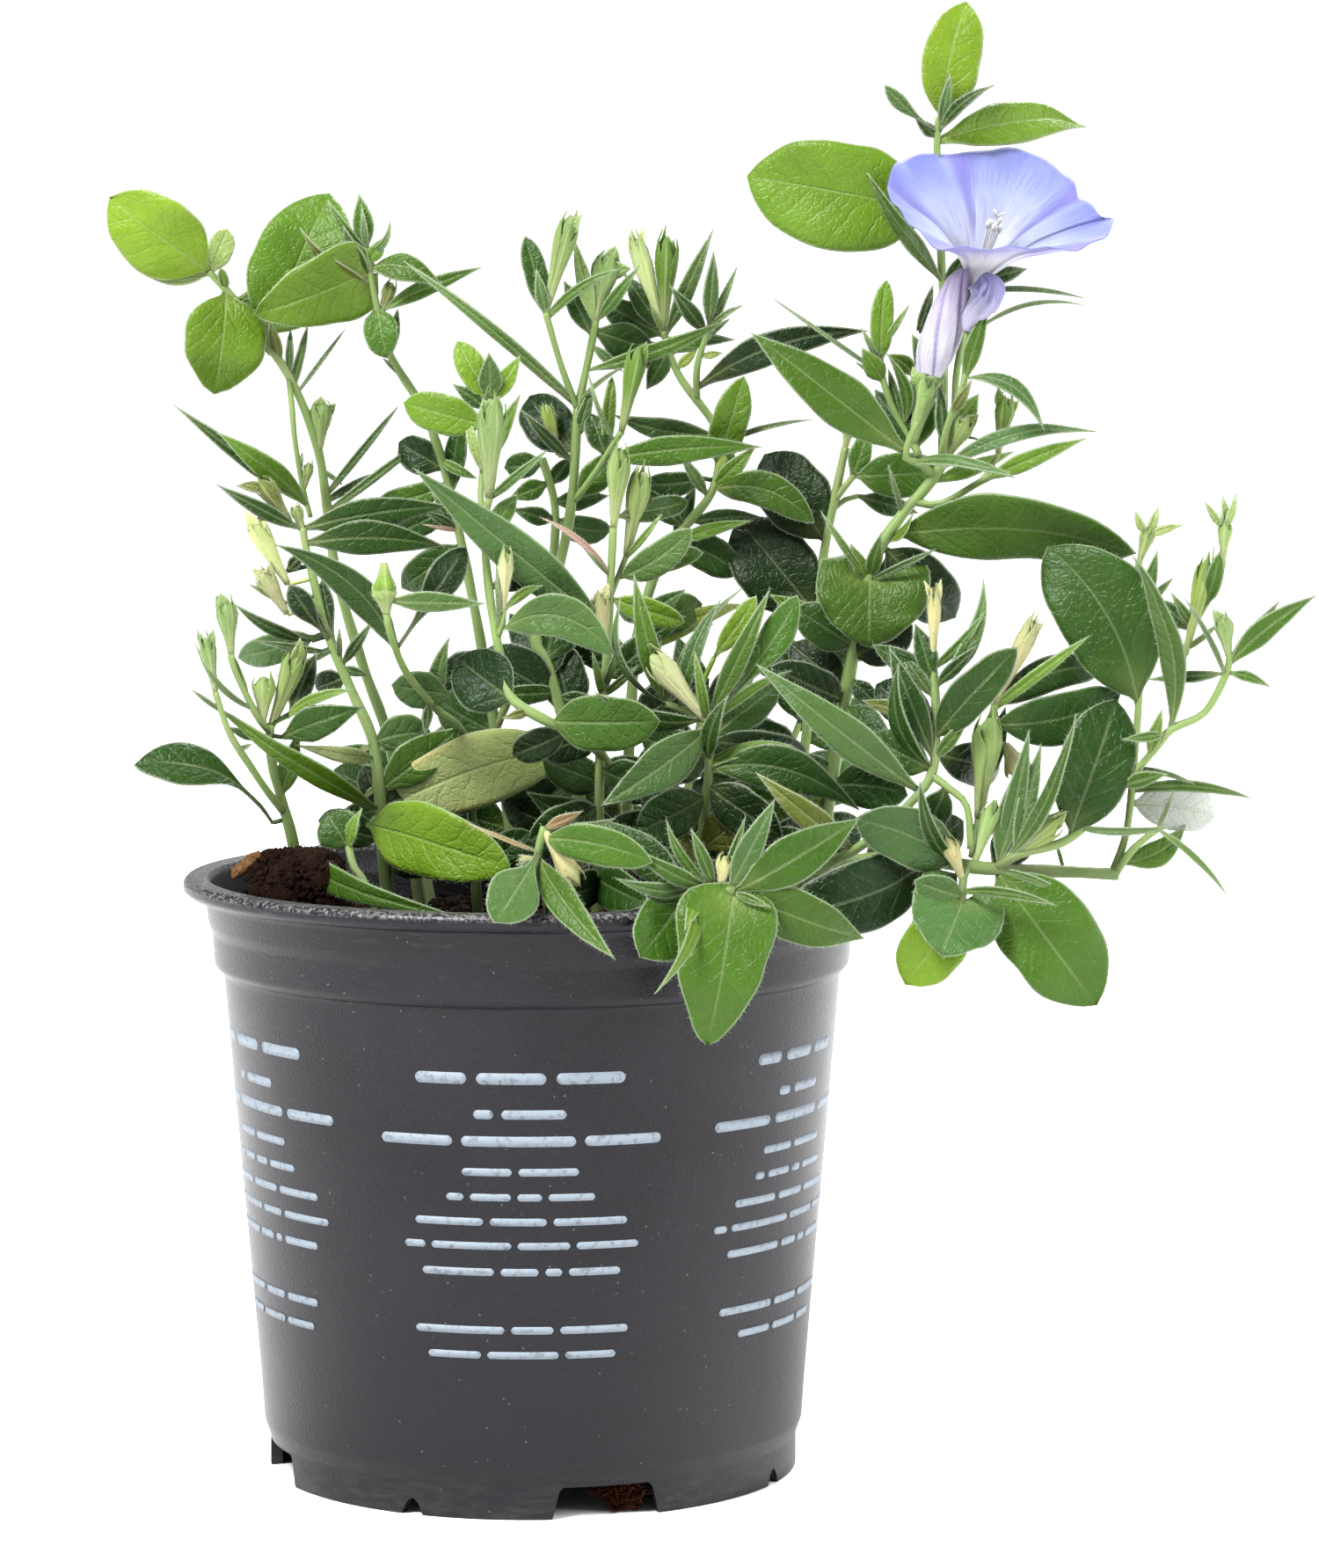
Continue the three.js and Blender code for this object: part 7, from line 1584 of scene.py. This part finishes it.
def make_pot():
    floor = BASE_UNDERSIDE + BASE_THICKNESS
    foot = [
        (0, BASE_UNDERSIDE), (RING_INNER_RADIUS, BASE_UNDERSIDE), (RING_INNER_RADIUS, 0), (RING_RADIUS, 0),
        (RING_RADIUS, 6.2), (49.9, 7.3),
    ]
    wall = [WALL_FOOT, (51.1, 16.8), (55.7, 70.6), WALL_TOP]
    collar = [
        (57.7, 93.8), (58.5, 94.3), (59.3, 95.3), (59.4, 96.4), (59.7, 101.2), (60.2, 102.5), (60.4, 103.2),
        (61, 107.2), (61.6, 108),
    ]
    rim = [(64, 108.3), (RIM_RADIUS, 109.2), (RIM_RADIUS, 110.7), (64.2, POT_HEIGHT), (60.6, POT_HEIGHT)]
    inside = [(60, 110.4), (58.7, 106), (58.2, 96.4), (56, 92.5), (49.2, 11), (48.2, floor), (0, floor)]
    skin = Skin()
    add_turned(skin, rounded([*foot, *wall, *collar, *rim, *inside], 0.4), 160, "plastic")
    pot = skin.make("moulded_pot")
    cutters = Skin()
    for angle in ARCH_ANGLES:
        add_slot(cutters, angle, *ARCH)
    for angle in NOTCH_ANGLES:
        add_slot(cutters, angle, *NOTCH)
    for angle in ARCH_ANGLES:
        add_drain(cutters, angle)
    cut_away(pot, cutters.make("cutters"))
    stand_for(pot, "pot", "pot_plastic")
    ink = Skin()
    for angle in PANEL_ANGLES:
        rows, top = PRINT_ROWS, PRINT_TOP
        if angle != FRONT_PANEL:
            rng = random.Random(f"panel {angle}")
            rows = [(drop, size, [bar * rng.uniform(0.7, 1.15) for bar in bars]) for drop, size, bars in rows]
            top += rng.uniform(-1, 2.5)
        add_print(ink, angle, top, rows)
    bars = ink.make("printed_bars")
    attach(bars, "root")


# Potting mix, lump, chip and roots


def scatter(rng, x, y, z):
    """A random step of at most x, y and z each way."""
    return Vector((rng.uniform(-x, x), rng.uniform(-y, y), rng.uniform(-z, z)))


def toward_block(direction, square):
    """How much further a point of a ball lies when the ball is pushed toward a block."""
    corner = (direction.x ** 4 + direction.y ** 4 + direction.z ** 4) ** 0.25
    return 1 + square * (1 / corner - 1)


def lump(skin, centre, radii, rng, finish, tone, rough, level, square=0.0):
    """A small irregular solid: a ball whose points are pushed in and out, and toward a block."""
    ball = bmesh.new()
    bmesh.ops.create_icosphere(ball, subdivisions=level, radius=1)
    offset = Vector((rng.uniform(0, 90), rng.uniform(0, 90), rng.uniform(0, 90)))
    turn = Quaternion((rng.random(), rng.random(), rng.random()), rng.uniform(0, 6))
    points = []
    for vertex in ball.verts:
        p = vertex.co.copy()
        push = 1 + rough * noise.noise(p * 1.6 + offset) + rough * 0.6 * noise.noise(p * 4 + offset)
        p *= push * toward_block(p, square)
        p = Vector((p.x * radii[0], p.y * radii[1], p.z * radii[2]))
        points.append(Vector(centre) + (turn @ p if level < 3 else p))
    faces = [tuple(v.index for v in face.verts) for face in ball.faces]
    ball.free()
    skin.add(points, faces, finish, tone)


def mix_level(x, y):
    """How far the top of the mix stands above or below its middle height."""
    p = Vector((x, y, 0))
    high = 1.5 * noise.noise(p / 17) + 0.8 * noise.noise(p / 6 + Vector((5, 0, 0)))
    return high + 0.45 * noise.noise(p / 2.2) + 0.25 * noise.noise(p / 1.1)


def make_mix():
    skin = Skin()
    floor = BASE_UNDERSIDE + BASE_THICKNESS + 0.3
    edge = 57.7
    side = [(0, floor), (47.6, floor), (48.8, 11.4), (55.6, 92.6), (57.6, 96.6), (edge, 99.6)]
    rings = 64
    top = [(edge * (1 - k / rings), MIX_TOP - 0.4) for k in range(1, rings)]

    def wobble(point):
        radius = math.hypot(point.x, point.y)
        if point.z > 99 and radius < 57.6:
            point.z += mix_level(point.x, point.y) * smooth(57.6, 55, radius)
        return point

    add_turned(skin, [*side, *top, (0, MIX_TOP)], 200, "mix", linear("3c2a20"), wobble)
    rng = random.Random("crumbs")
    tones = [linear(c) for c in ("2a1c15", "3a281d", "4a3426", "5d4530", "241712")]
    pale = [linear(c) for c in ("b99a6d", "d8cdb6", "9a7a52", "e6e1d6")]
    for _ in range(1500):
        radius = 56.5 * math.sqrt(rng.random())
        point = around(rng.uniform(0, 360), radius, 0)
        size = rng.uniform(0.4, 1.5)
        point.z = MIX_TOP - 0.4 + mix_level(point.x, point.y) + size * 0.25
        radii = (size, size * rng.uniform(0.5, 1), size * rng.uniform(0.4, 0.8))
        bright = rng.random() < 0.06
        tone = rng.choice(pale if bright else tones)
        lump(skin, point, radii, rng, "bark" if bright else "mix", tone, 0.5, 1)
    for _ in range(90):
        start = around(rng.uniform(0, 360), rng.uniform(5, 54), 0)
        start.z = MIX_TOP + mix_level(start.x, start.y)
        turn = rng.uniform(0, 6.3)
        path = [start]
        for _ in range(6):
            turn += rng.uniform(-0.6, 0.6)
            step = Vector((math.cos(turn), math.sin(turn), rng.uniform(-0.15, 0.2))) * rng.uniform(0.5, 1.4)
            point = path[-1] + step
            if math.hypot(point.x, point.y) > 56:
                break
            point.z = max(point.z, MIX_TOP + mix_level(point.x, point.y) - 0.2)
            path.append(point)
        if len(path) > 2:
            tone = rng.choice(pale + tones)
            tube(skin, path, [0.14] * (len(path) - 1) + [0.06], 5, "root", tone)
    put(skin, "damp_mix", "potting_mix", "mix")


def make_lump():
    skin = Skin()
    rng = random.Random("peat lump")
    lump(skin, LUMP_CENTRE, LUMP_RADII, rng, "peat", linear("33211b"), 0.13, 6, LUMP_SQUARENESS)

    def surface_point(lowest):
        up = rng.uniform(lowest, 1)
        flat = math.sqrt(1 - up * up)
        theta = rng.uniform(0, 2 * math.pi)
        out = Vector((flat * math.cos(theta), flat * math.sin(theta), up))
        reach = out * toward_block(out, LUMP_SQUARENESS)
        return LUMP_CENTRE + Vector([a * b for a, b in zip(reach, LUMP_RADII)]), out

    for _ in range(3200):
        point, out = surface_point(-0.6)
        size = rng.uniform(0.2, 0.95) * rng.uniform(0.4, 1)
        tone = linear(rng.choice(("4c3127", "1a100d", "281a15", "6a4a3a", "33221b", "9a755c")))
        squash = (size, size * rng.uniform(0.6, 1), size * rng.uniform(0.5, 0.9))
        lump(skin, point + out * rng.uniform(-0.4, 0.15), squash, rng, "peat", tone, 0.5, 1)
    for _ in range(70):
        point, out = surface_point(-0.3)
        bend = scatter(rng, 1, 1, 1)
        path = [point - out, point + out * 0.2 + bend * 0.4, point + out * 0.3 + bend * 1.8]
        tube(skin, path, [0.11, 0.09, 0.05], 5, "peat", linear("7a5040"))
    put(skin, "dry_peat_lump", "peat_lump", "mix")


def make_chip():
    skin = Skin()
    turn = Quaternion((0, 1, 0), -0.65) @ Quaternion((1, 0, 0), 0.25)
    long, wide, thick = CHIP_SIZE
    steps, cols = 28, 16
    top, bottom = [], []
    for i in range(steps + 1):
        x = i / steps - 0.5
        for j in range(cols + 1):
            y = j / cols - 0.5
            ragged = 0.35 * noise.noise(Vector((x * 9, y * 2, 3)))
            px = long * x + (0.5 * noise.noise(Vector((y * 9, 1, 0))) if i in (0, steps) else 0)
            py = wide * y * (1 - 0.25 * abs(x * 2) ** 3) + 0.2 * noise.noise(Vector((x * 7, y, 8)))
            rim = min(1, 6 * min(0.5 - abs(x), 0.5 - abs(y)) + 0.25)
            fibre = 0.22 * noise.noise(Vector((x * 3, y * 16, 2)))
            top.append(CHIP_CENTRE + turn @ Vector((px, py, thick / 2 * rim + ragged + fibre)))
            bottom.append(CHIP_CENTRE + turn @ Vector((px, py, -thick / 2 * rim + ragged)))
    skin.add(top + bottom, sheet_faces(steps, cols), "bark", linear("b08a62"))
    put(skin, "bark_flake", "bark_chip", "bark")


def make_tuft():
    skin = Skin()
    rng = random.Random("roots")
    for _ in range(70):
        path = [TUFT_CENTRE + scatter(rng, 2.4, 1.2, 1.8)]
        heading = scatter(rng, 1, 0.4, 0.7).normalized()
        for _ in range(7):
            heading = (heading + scatter(rng, 1, 0.5, 1) * 0.7).normalized()
            inward = TUFT_CENTRE - path[-1]
            heading = (heading + Vector((inward.x * 0.08, inward.y * 0.5, inward.z * 0.18))).normalized()
            ahead = path[-1] + heading * 0.9
            path.append(Vector((ahead.x, ahead.y, max(ahead.z, ROOT_CLEARANCE))))
        thick = rng.uniform(0.12, 0.34)
        tone = linear(rng.choice(("8a5234", "6b3d26", "a86a44", "4c2a1b")))
        tube(skin, path, [thick * (1 - 0.08 * i) for i in range(len(path))], 6, "root", tone)
    for _ in range(30):
        step = Vector((rng.uniform(-2.4, 2.4), rng.uniform(-1, 1), rng.uniform(-1.6, 1.4)))
        point = TUFT_CENTRE + step
        size = rng.uniform(0.4, 1)
        point.z = max(point.z, 1.3 * size)
        lump(skin, point, (size, size * 0.8, size * 0.7), rng, "root", linear("5a3422"), 0.5, 1)
    put(skin, "drain_roots", "root_tuft", "root")


# Flowers

# The middle of the open flower's rim in the plan, and the way that the flower faces.
RIM_MIDDLE = (87, 236, 12.5)
RIM_FACING = (0.12, -0.43, 0.9)
FACING = Vector(RIM_FACING).normalized()
FLOWER_FOOT = place(82.2, 221.4, 6)
FLOWER_CENTRE = place(*RIM_MIDDLE)

# The open flower's rim: across and up in the plan.
FLOWER_RIM = [
    (66, 238.5), (68, 243.7), (74.5, 245), (77, 245.8), (91, 245.7), (96, 243), (100, 240.5), (101.5, 238),
    (105, 234), (107.7, 233.2), (106.3, 230), (103, 229), (98, 227.3), (95, 228), (90, 227.8), (80, 227.8),
    (74, 229.5), (70, 232.5),
]
PALE = linear("dfe5fc")
LAVENDER = linear("9eaaec")
BLUE = linear("5f6ad2")
FOLD_LILAC = linear("7d72cc")


def rim_point(across, up):
    """A point of the flower's rim: on the plane that the rim lies in, where the plan shows it."""
    middle_across, middle_up, middle_toward = RIM_MIDDLE
    x, y, z = RIM_FACING
    forward = (x * (across - middle_across) + z * (up - middle_up)) / y
    return place(across, up, middle_toward + forward)


def closed_curve(points, count):
    """Evenly many points on a smooth closed curve."""
    dense = []
    n = len(points)
    for i in range(n):
        p0, p1, p2, p3 = points[i - 1], points[i], points[(i + 1) % n], points[(i + 2) % n]
        dense.extend([curve_point(p0, p1, p2, p3, k / 12) for k in range(12)])
    lengths = [0]
    for i in range(len(dense)):
        lengths.append(lengths[-1] + (dense[(i + 1) % len(dense)] - dense[i]).length)
    result = []
    i = 0
    for k in range(count):
        want = lengths[-1] * k / count
        while lengths[i + 1] < want:
            i += 1
        share = (want - lengths[i]) / (lengths[i + 1] - lengths[i])
        result.append(dense[i].lerp(dense[(i + 1) % len(dense)], share))
    return result


# Where the five fold lines lie, as shares of a turn.
FOLD_TURNS = (0.02, 0.2, 0.42, 0.62, 0.84)

# How far out along its axis the funnel is, where it has opened to a share of its rim.
FLARE = ((0.05, 0), (0.22, 0.3), (0.45, 0.6), (0.74, 0.83), (1, 1))


def make_corolla():
    """The open flower: a funnel that flares to the rim, with a fold line to each of its five points."""
    skin = Skin()
    count, rings = 180, 34
    rim = closed_curve([rim_point(u, v) for u, v in FLOWER_RIM], count)
    inner, outer, tones_in, tones_out, blade = [], [], [], [], []
    for i in range(rings + 1):
        part = 0.05 + 0.95 * (i / rings) ** 0.85
        share = along_table(FLARE, part)
        for k in range(count):
            turn = k / count
            near = min(abs((turn - f + 0.5) % 1 - 0.5) for f in FOLD_TURNS)
            fold = smooth(0.03 * part + 0.012, 0, near)
            frill = 0.35 * math.sin(turn * 2 * math.pi * 15 + 1) * smooth(0.7, 1, part)
            point = FLOWER_FOOT.lerp(FLOWER_CENTRE, share) + (rim[k] - FLOWER_CENTRE) * part
            point += FACING * (frill - 1.1 * fold * smooth(0.2, 0.6, part))
            thick = 0.2 - 0.06 * part
            inner.append(point + FACING * thick)
            outer.append(point - FACING * thick)
            edge = smooth(0.62, 1, part) * (0.35 + 0.65 * abs(math.cos(turn * 2 * math.pi)))
            colour = mixed(PALE, LAVENDER, smooth(0.15, 0.8, part))
            colour = mixed(colour, BLUE, 0.6 * edge)
            colour = mixed(colour, FOLD_LILAC, fold * 0.75 * smooth(0.15, 0.4, part))
            tones_in.append(colour)
            back = mixed(linear("eceaf6"), linear("9a93dd"), smooth(0.28, 0.75, part))
            tones_out.append(mixed(back, FOLD_LILAC, fold * 0.5))
            blade.append((part, turn * 60, 1))
    n = len(inner)
    faces = []
    for i in range(rings):
        for k in range(count):
            j = (k + 1) % count
            a, b = i * count, (i + 1) * count
            faces.append((a + k, b + k, b + j, a + j))
            faces.append((n + a + k, n + a + j, n + b + j, n + b + k))
    for k in range(count):
        j = (k + 1) % count
        a = rings * count
        faces.append((k, j, n + j, n + k))
        faces.append((a + k, n + a + k, n + a + j, a + j))
    skin.add(inner + outer, faces, "petal", tones_in + tones_out, blade * 2)
    put(skin, "open_corolla", "flower_corolla", "petal")


def make_stamens():
    skin = Skin()
    rng = random.Random("stamens")
    foot = place(83.4, 225, 7)
    axis = (FLOWER_CENTRE - FLOWER_FOOT).normalized()
    side = axis.cross(Vector((0, 1, 0))).normalized()
    other = axis.cross(side)
    for k in range(5):
        turn = 2 * math.pi * k / 5 + 0.3
        out = math.cos(turn) * side + math.sin(turn) * other
        reach = 7.2 + 0.9 * math.sin(3 * k)
        path = [foot + out * 0.3, foot + axis * reach * 0.5 + out * 0.8, foot + axis * reach + out * 1.1]
        tube(skin, smooth_path(path, 0.6), [0.22] * 40, 7, "cream", linear("f6f7f4"))
        tip = path[-1]
        anther = [tip - axis * 0.2 + out * 0.1, tip + axis * 0.8 + out * 0.15, tip + axis * 1.7 + out * 0.1]
        thick = [0.2, 0.42, 0.5, 0.44, 0.2]
        tube(skin, [anther[0].lerp(anther[2], t / 4) for t in range(5)], thick, 9, "cream", linear("fdfcf4"))
    style = [foot, foot + axis * 5, foot + axis * 9.6]
    tube(skin, smooth_path(style, 0.6), [0.24] * 40, 7, "cream", linear("f2f3f5"))
    for lean in (-1, 1):
        top = style[-1]
        outward = side * lean
        branch = [top - axis * 0.2, top + axis * 0.7 + outward * 0.5, top + axis * 1.2 + outward * 1.1]
        tube(skin, branch, [0.24, 0.24, 0.14], 7, "cream", linear("fbfbf6"))
    for _ in range(5):
        point = foot + side * rng.uniform(-0.4, 0.4)
        lump(skin, point, (0.6, 0.6, 0.5), rng, "cream", linear("e9ecf2"), 0.2, 1)
    put(skin, "stamens_and_style", "flower_stamens", "stamen")


def rolled(skin, rows, sides, shape, tone_of):
    """A closed petal roll lofted through centres of the plan [across, up, toward, radius]."""
    centres = smooth_path([place(*row[:3]) for row in rows], 0.5)
    lengths = [0]
    for a, b in zip(centres, centres[1:]):
        lengths.append(lengths[-1] + (b - a).length)
    spots = [0]
    for a, b in zip(rows, rows[1:]):
        spots.append(spots[-1] + (place(*b[:3]) - place(*a[:3])).length)
    table = [(spots[i] / spots[-1], row[3]) for i, row in enumerate(rows)]
    points, tones, blade = [], [], []
    side = None
    for i, centre in enumerate(centres):
        t = lengths[i] / lengths[-1]
        radius = along_table(table, t)
        ahead = (centres[min(i + 1, len(centres) - 1)] - centres[max(i - 1, 0)]).normalized()
        side = side or ahead.cross(Vector((0, 1, 0))).normalized()
        side = (side - ahead * side.dot(ahead)).normalized()
        other = ahead.cross(side)
        for k in range(sides):
            turn = 2 * math.pi * k / sides
            push = shape(t, turn)
            points.append(centre + radius * push * (math.cos(turn) * side + math.sin(turn) * other))
            tones.append(tone_of(t, push))
            blade.append((t, turn * 3, radius))
    points += [centres[0], centres[-1]]
    tones += [tones[0], tones[-1]]
    blade += [blade[0], blade[-1]]
    skin.add(points, rod_faces(len(centres), sides), "bud", tones, blade)


def make_closed_bud():
    skin = Skin()
    rows = [
        (73.7, 204.4, 12, 2.2), (74.8, 208.5, 12, 3.3), (76.6, 213.5, 12, 3.4),
        (78.4, 218.5, 12, 2.9), (79.6, 222.3, 12, 2), (80.1, 224, 12, 0.7),
    ]

    def shape(t, turn):
        spiral = (turn * 5 / (2 * math.pi) + 1.3 * t) % 1
        return 1.06 - 0.2 * math.exp(-((spiral - 0.5) / 0.09) ** 2) + 0.06 * (spiral - 0.5)

    def tone_of(t, push):
        colour = mixed(linear("dfdbea"), linear("c4b2dc"), smooth(0.3, 0.95, t) * 0.8)
        return mixed(colour, linear("8b7cc4"), smooth(1.0, 0.88, push) * 0.75)

    rolled(skin, rows, 60, shape, tone_of)
    put(skin, "rolled_bud", "closed_bud", "bud_petal")


def make_fading_flower():
    skin = Skin()
    rows = [
        (80.6, 212.6, 14, 0.8), (82.2, 216, 14.5, 2.2), (84.3, 219.3, 15, 3.2),
        (84.2, 221.8, 15, 2.4), (83.6, 223, 15, 0.8),
    ]

    def shape(t, turn):
        crease = noise.noise(Vector((math.cos(turn) * 2.2, math.sin(turn) * 2.2, t * 3.2)))
        sharp = abs(noise.noise(Vector((math.cos(turn) * 4, math.sin(turn) * 4, t * 5 + 9))))
        return 1 + 0.35 * crease - 0.5 * sharp * smooth(0, 0.4, t)

    def tone_of(t, push):
        colour = mixed(linear("dcd8f5"), linear("b4b0ec"), smooth(0.2, 0.9, t))
        return mixed(colour, linear("e6e2fa"), smooth(1.0, 1.25, push) * 0.8)

    rolled(skin, rows, 72, shape, tone_of)
    put(skin, "faded_flower", "fading_flower", "petal")


SLOT_OF_TONE = {
    "young": "leaf_young",
    "bright": "leaf_young",
    "yellow": "leaf_young",
    "lime": "leaf_young",
    "dark": "leaf_dark",
    "deep": "leaf_dark",
    "grey": "leaf_grey",
}


def make_plant():
    for shoot in read_plan():
        put(shoot_skin(shoot), f"{shoot['name']}_growth", shoot["name"], "shoot")
        for name, *row in shoot["own"]:
            skin = Skin()
            add_leaf(skin, shoot, row, random.Random(name))
            put(skin, f"{name}_blade", name, SLOT_OF_TONE.get(row[7], "leaf"))


# Light and camera, in metres

FLOOR_REACH = 6

# Each lamp: its name, where it is, its side and its power in watts.
LAMPS = (
    ("key", (-0.7, -0.7, 1.3), 0.6, 58),
    ("fill", (1.3, -0.4, 0.7), 0.8, 24),
    ("back", (0.4, 0.9, 1.4), 0.8, 34),
)
LAMP_AIM = Vector((0, 0, 0.12))


def make_floor():
    """A white floor that runs out of view and glows where it is far from the pot."""
    mesh = bpy.data.meshes.new("floor")
    corners = [(x * FLOOR_REACH, y * FLOOR_REACH, 0) for x, y in ((-1, -1), (1, -1), (1, 1), (-1, 1))]
    mesh.from_pydata(corners, [], [(0, 1, 2, 3)])
    f = Finish(bpy.data.materials.new("white_paper"))
    tooth = f.noise(1.5, 2)
    paper = f.blend(tooth, (0.86, 0.86, 0.86), (0.9, 0.9, 0.9))
    distance = f.add("ShaderNodeVectorMath", {"operation": "LENGTH"}, {0: f.place()}, "Value")
    glow = f.blend(distance.ramp(0.12, 0.45), (0, 0, 0), (1, 1, 1))
    finish = f.surface(paper, 0.7 + tooth * 0.1, Emission_Color=glow, Emission_Strength=0.8)
    mesh.materials.append(finish)
    add_object("floor", mesh)


def make_light():
    """Soft light from all round, brightest at the height of the horizon, and three lamps."""
    world = bpy.data.worlds.new("studio")
    f = Finish(world)
    direction = f.add("ShaderNodeTexCoord", {}, {}, "Generated")
    level = f.add("ShaderNodeSeparateXYZ", {}, {0: direction}, "Z")
    strength = 1.1 - level.ramp(0.12, 0.3) * 0.8
    sky = f.add("ShaderNodeBackground", {}, {"Color": (1, 1, 1, 1), "Strength": strength})
    f.add("ShaderNodeOutputWorld", {}, {"Surface": sky})
    bpy.context.scene.world = world
    for name, at, side, power in LAMPS:
        lamp = bpy.data.lights.new(name, "AREA")
        lamp.shape = "SQUARE"
        lamp.size = side
        lamp.energy = power
        holder = add_object(name, lamp, at)
        holder.rotation_euler = (LAMP_AIM - holder.location).to_track_quat("-Z", "Y").to_euler()


def make_camera():
    camera = bpy.data.cameras.new("camera")
    camera.lens = CAMERA_LENS
    camera.sensor_width = FILM_WIDTH
    camera.clip_end = 50
    at = POT_AXIS + Vector((EYE_ACROSS, -EYE_DISTANCE, EYE_LEVEL)) * MM
    holder = add_object("camera", camera, at)
    holder.rotation_euler = (math.radians(CAMERA_TILT), 0, 0)
    bpy.context.scene.camera = holder
    bpy.context.scene.view_settings.view_transform = "Standard"
    bpy.context.scene.view_settings.look = "Medium High Contrast"


make_floor()
make_light()
make_camera()
make_pot()
make_mix()
make_lump()
make_chip()
make_tuft()
make_plant()
make_corolla()
make_stamens()
make_closed_bud()
make_fading_flower()
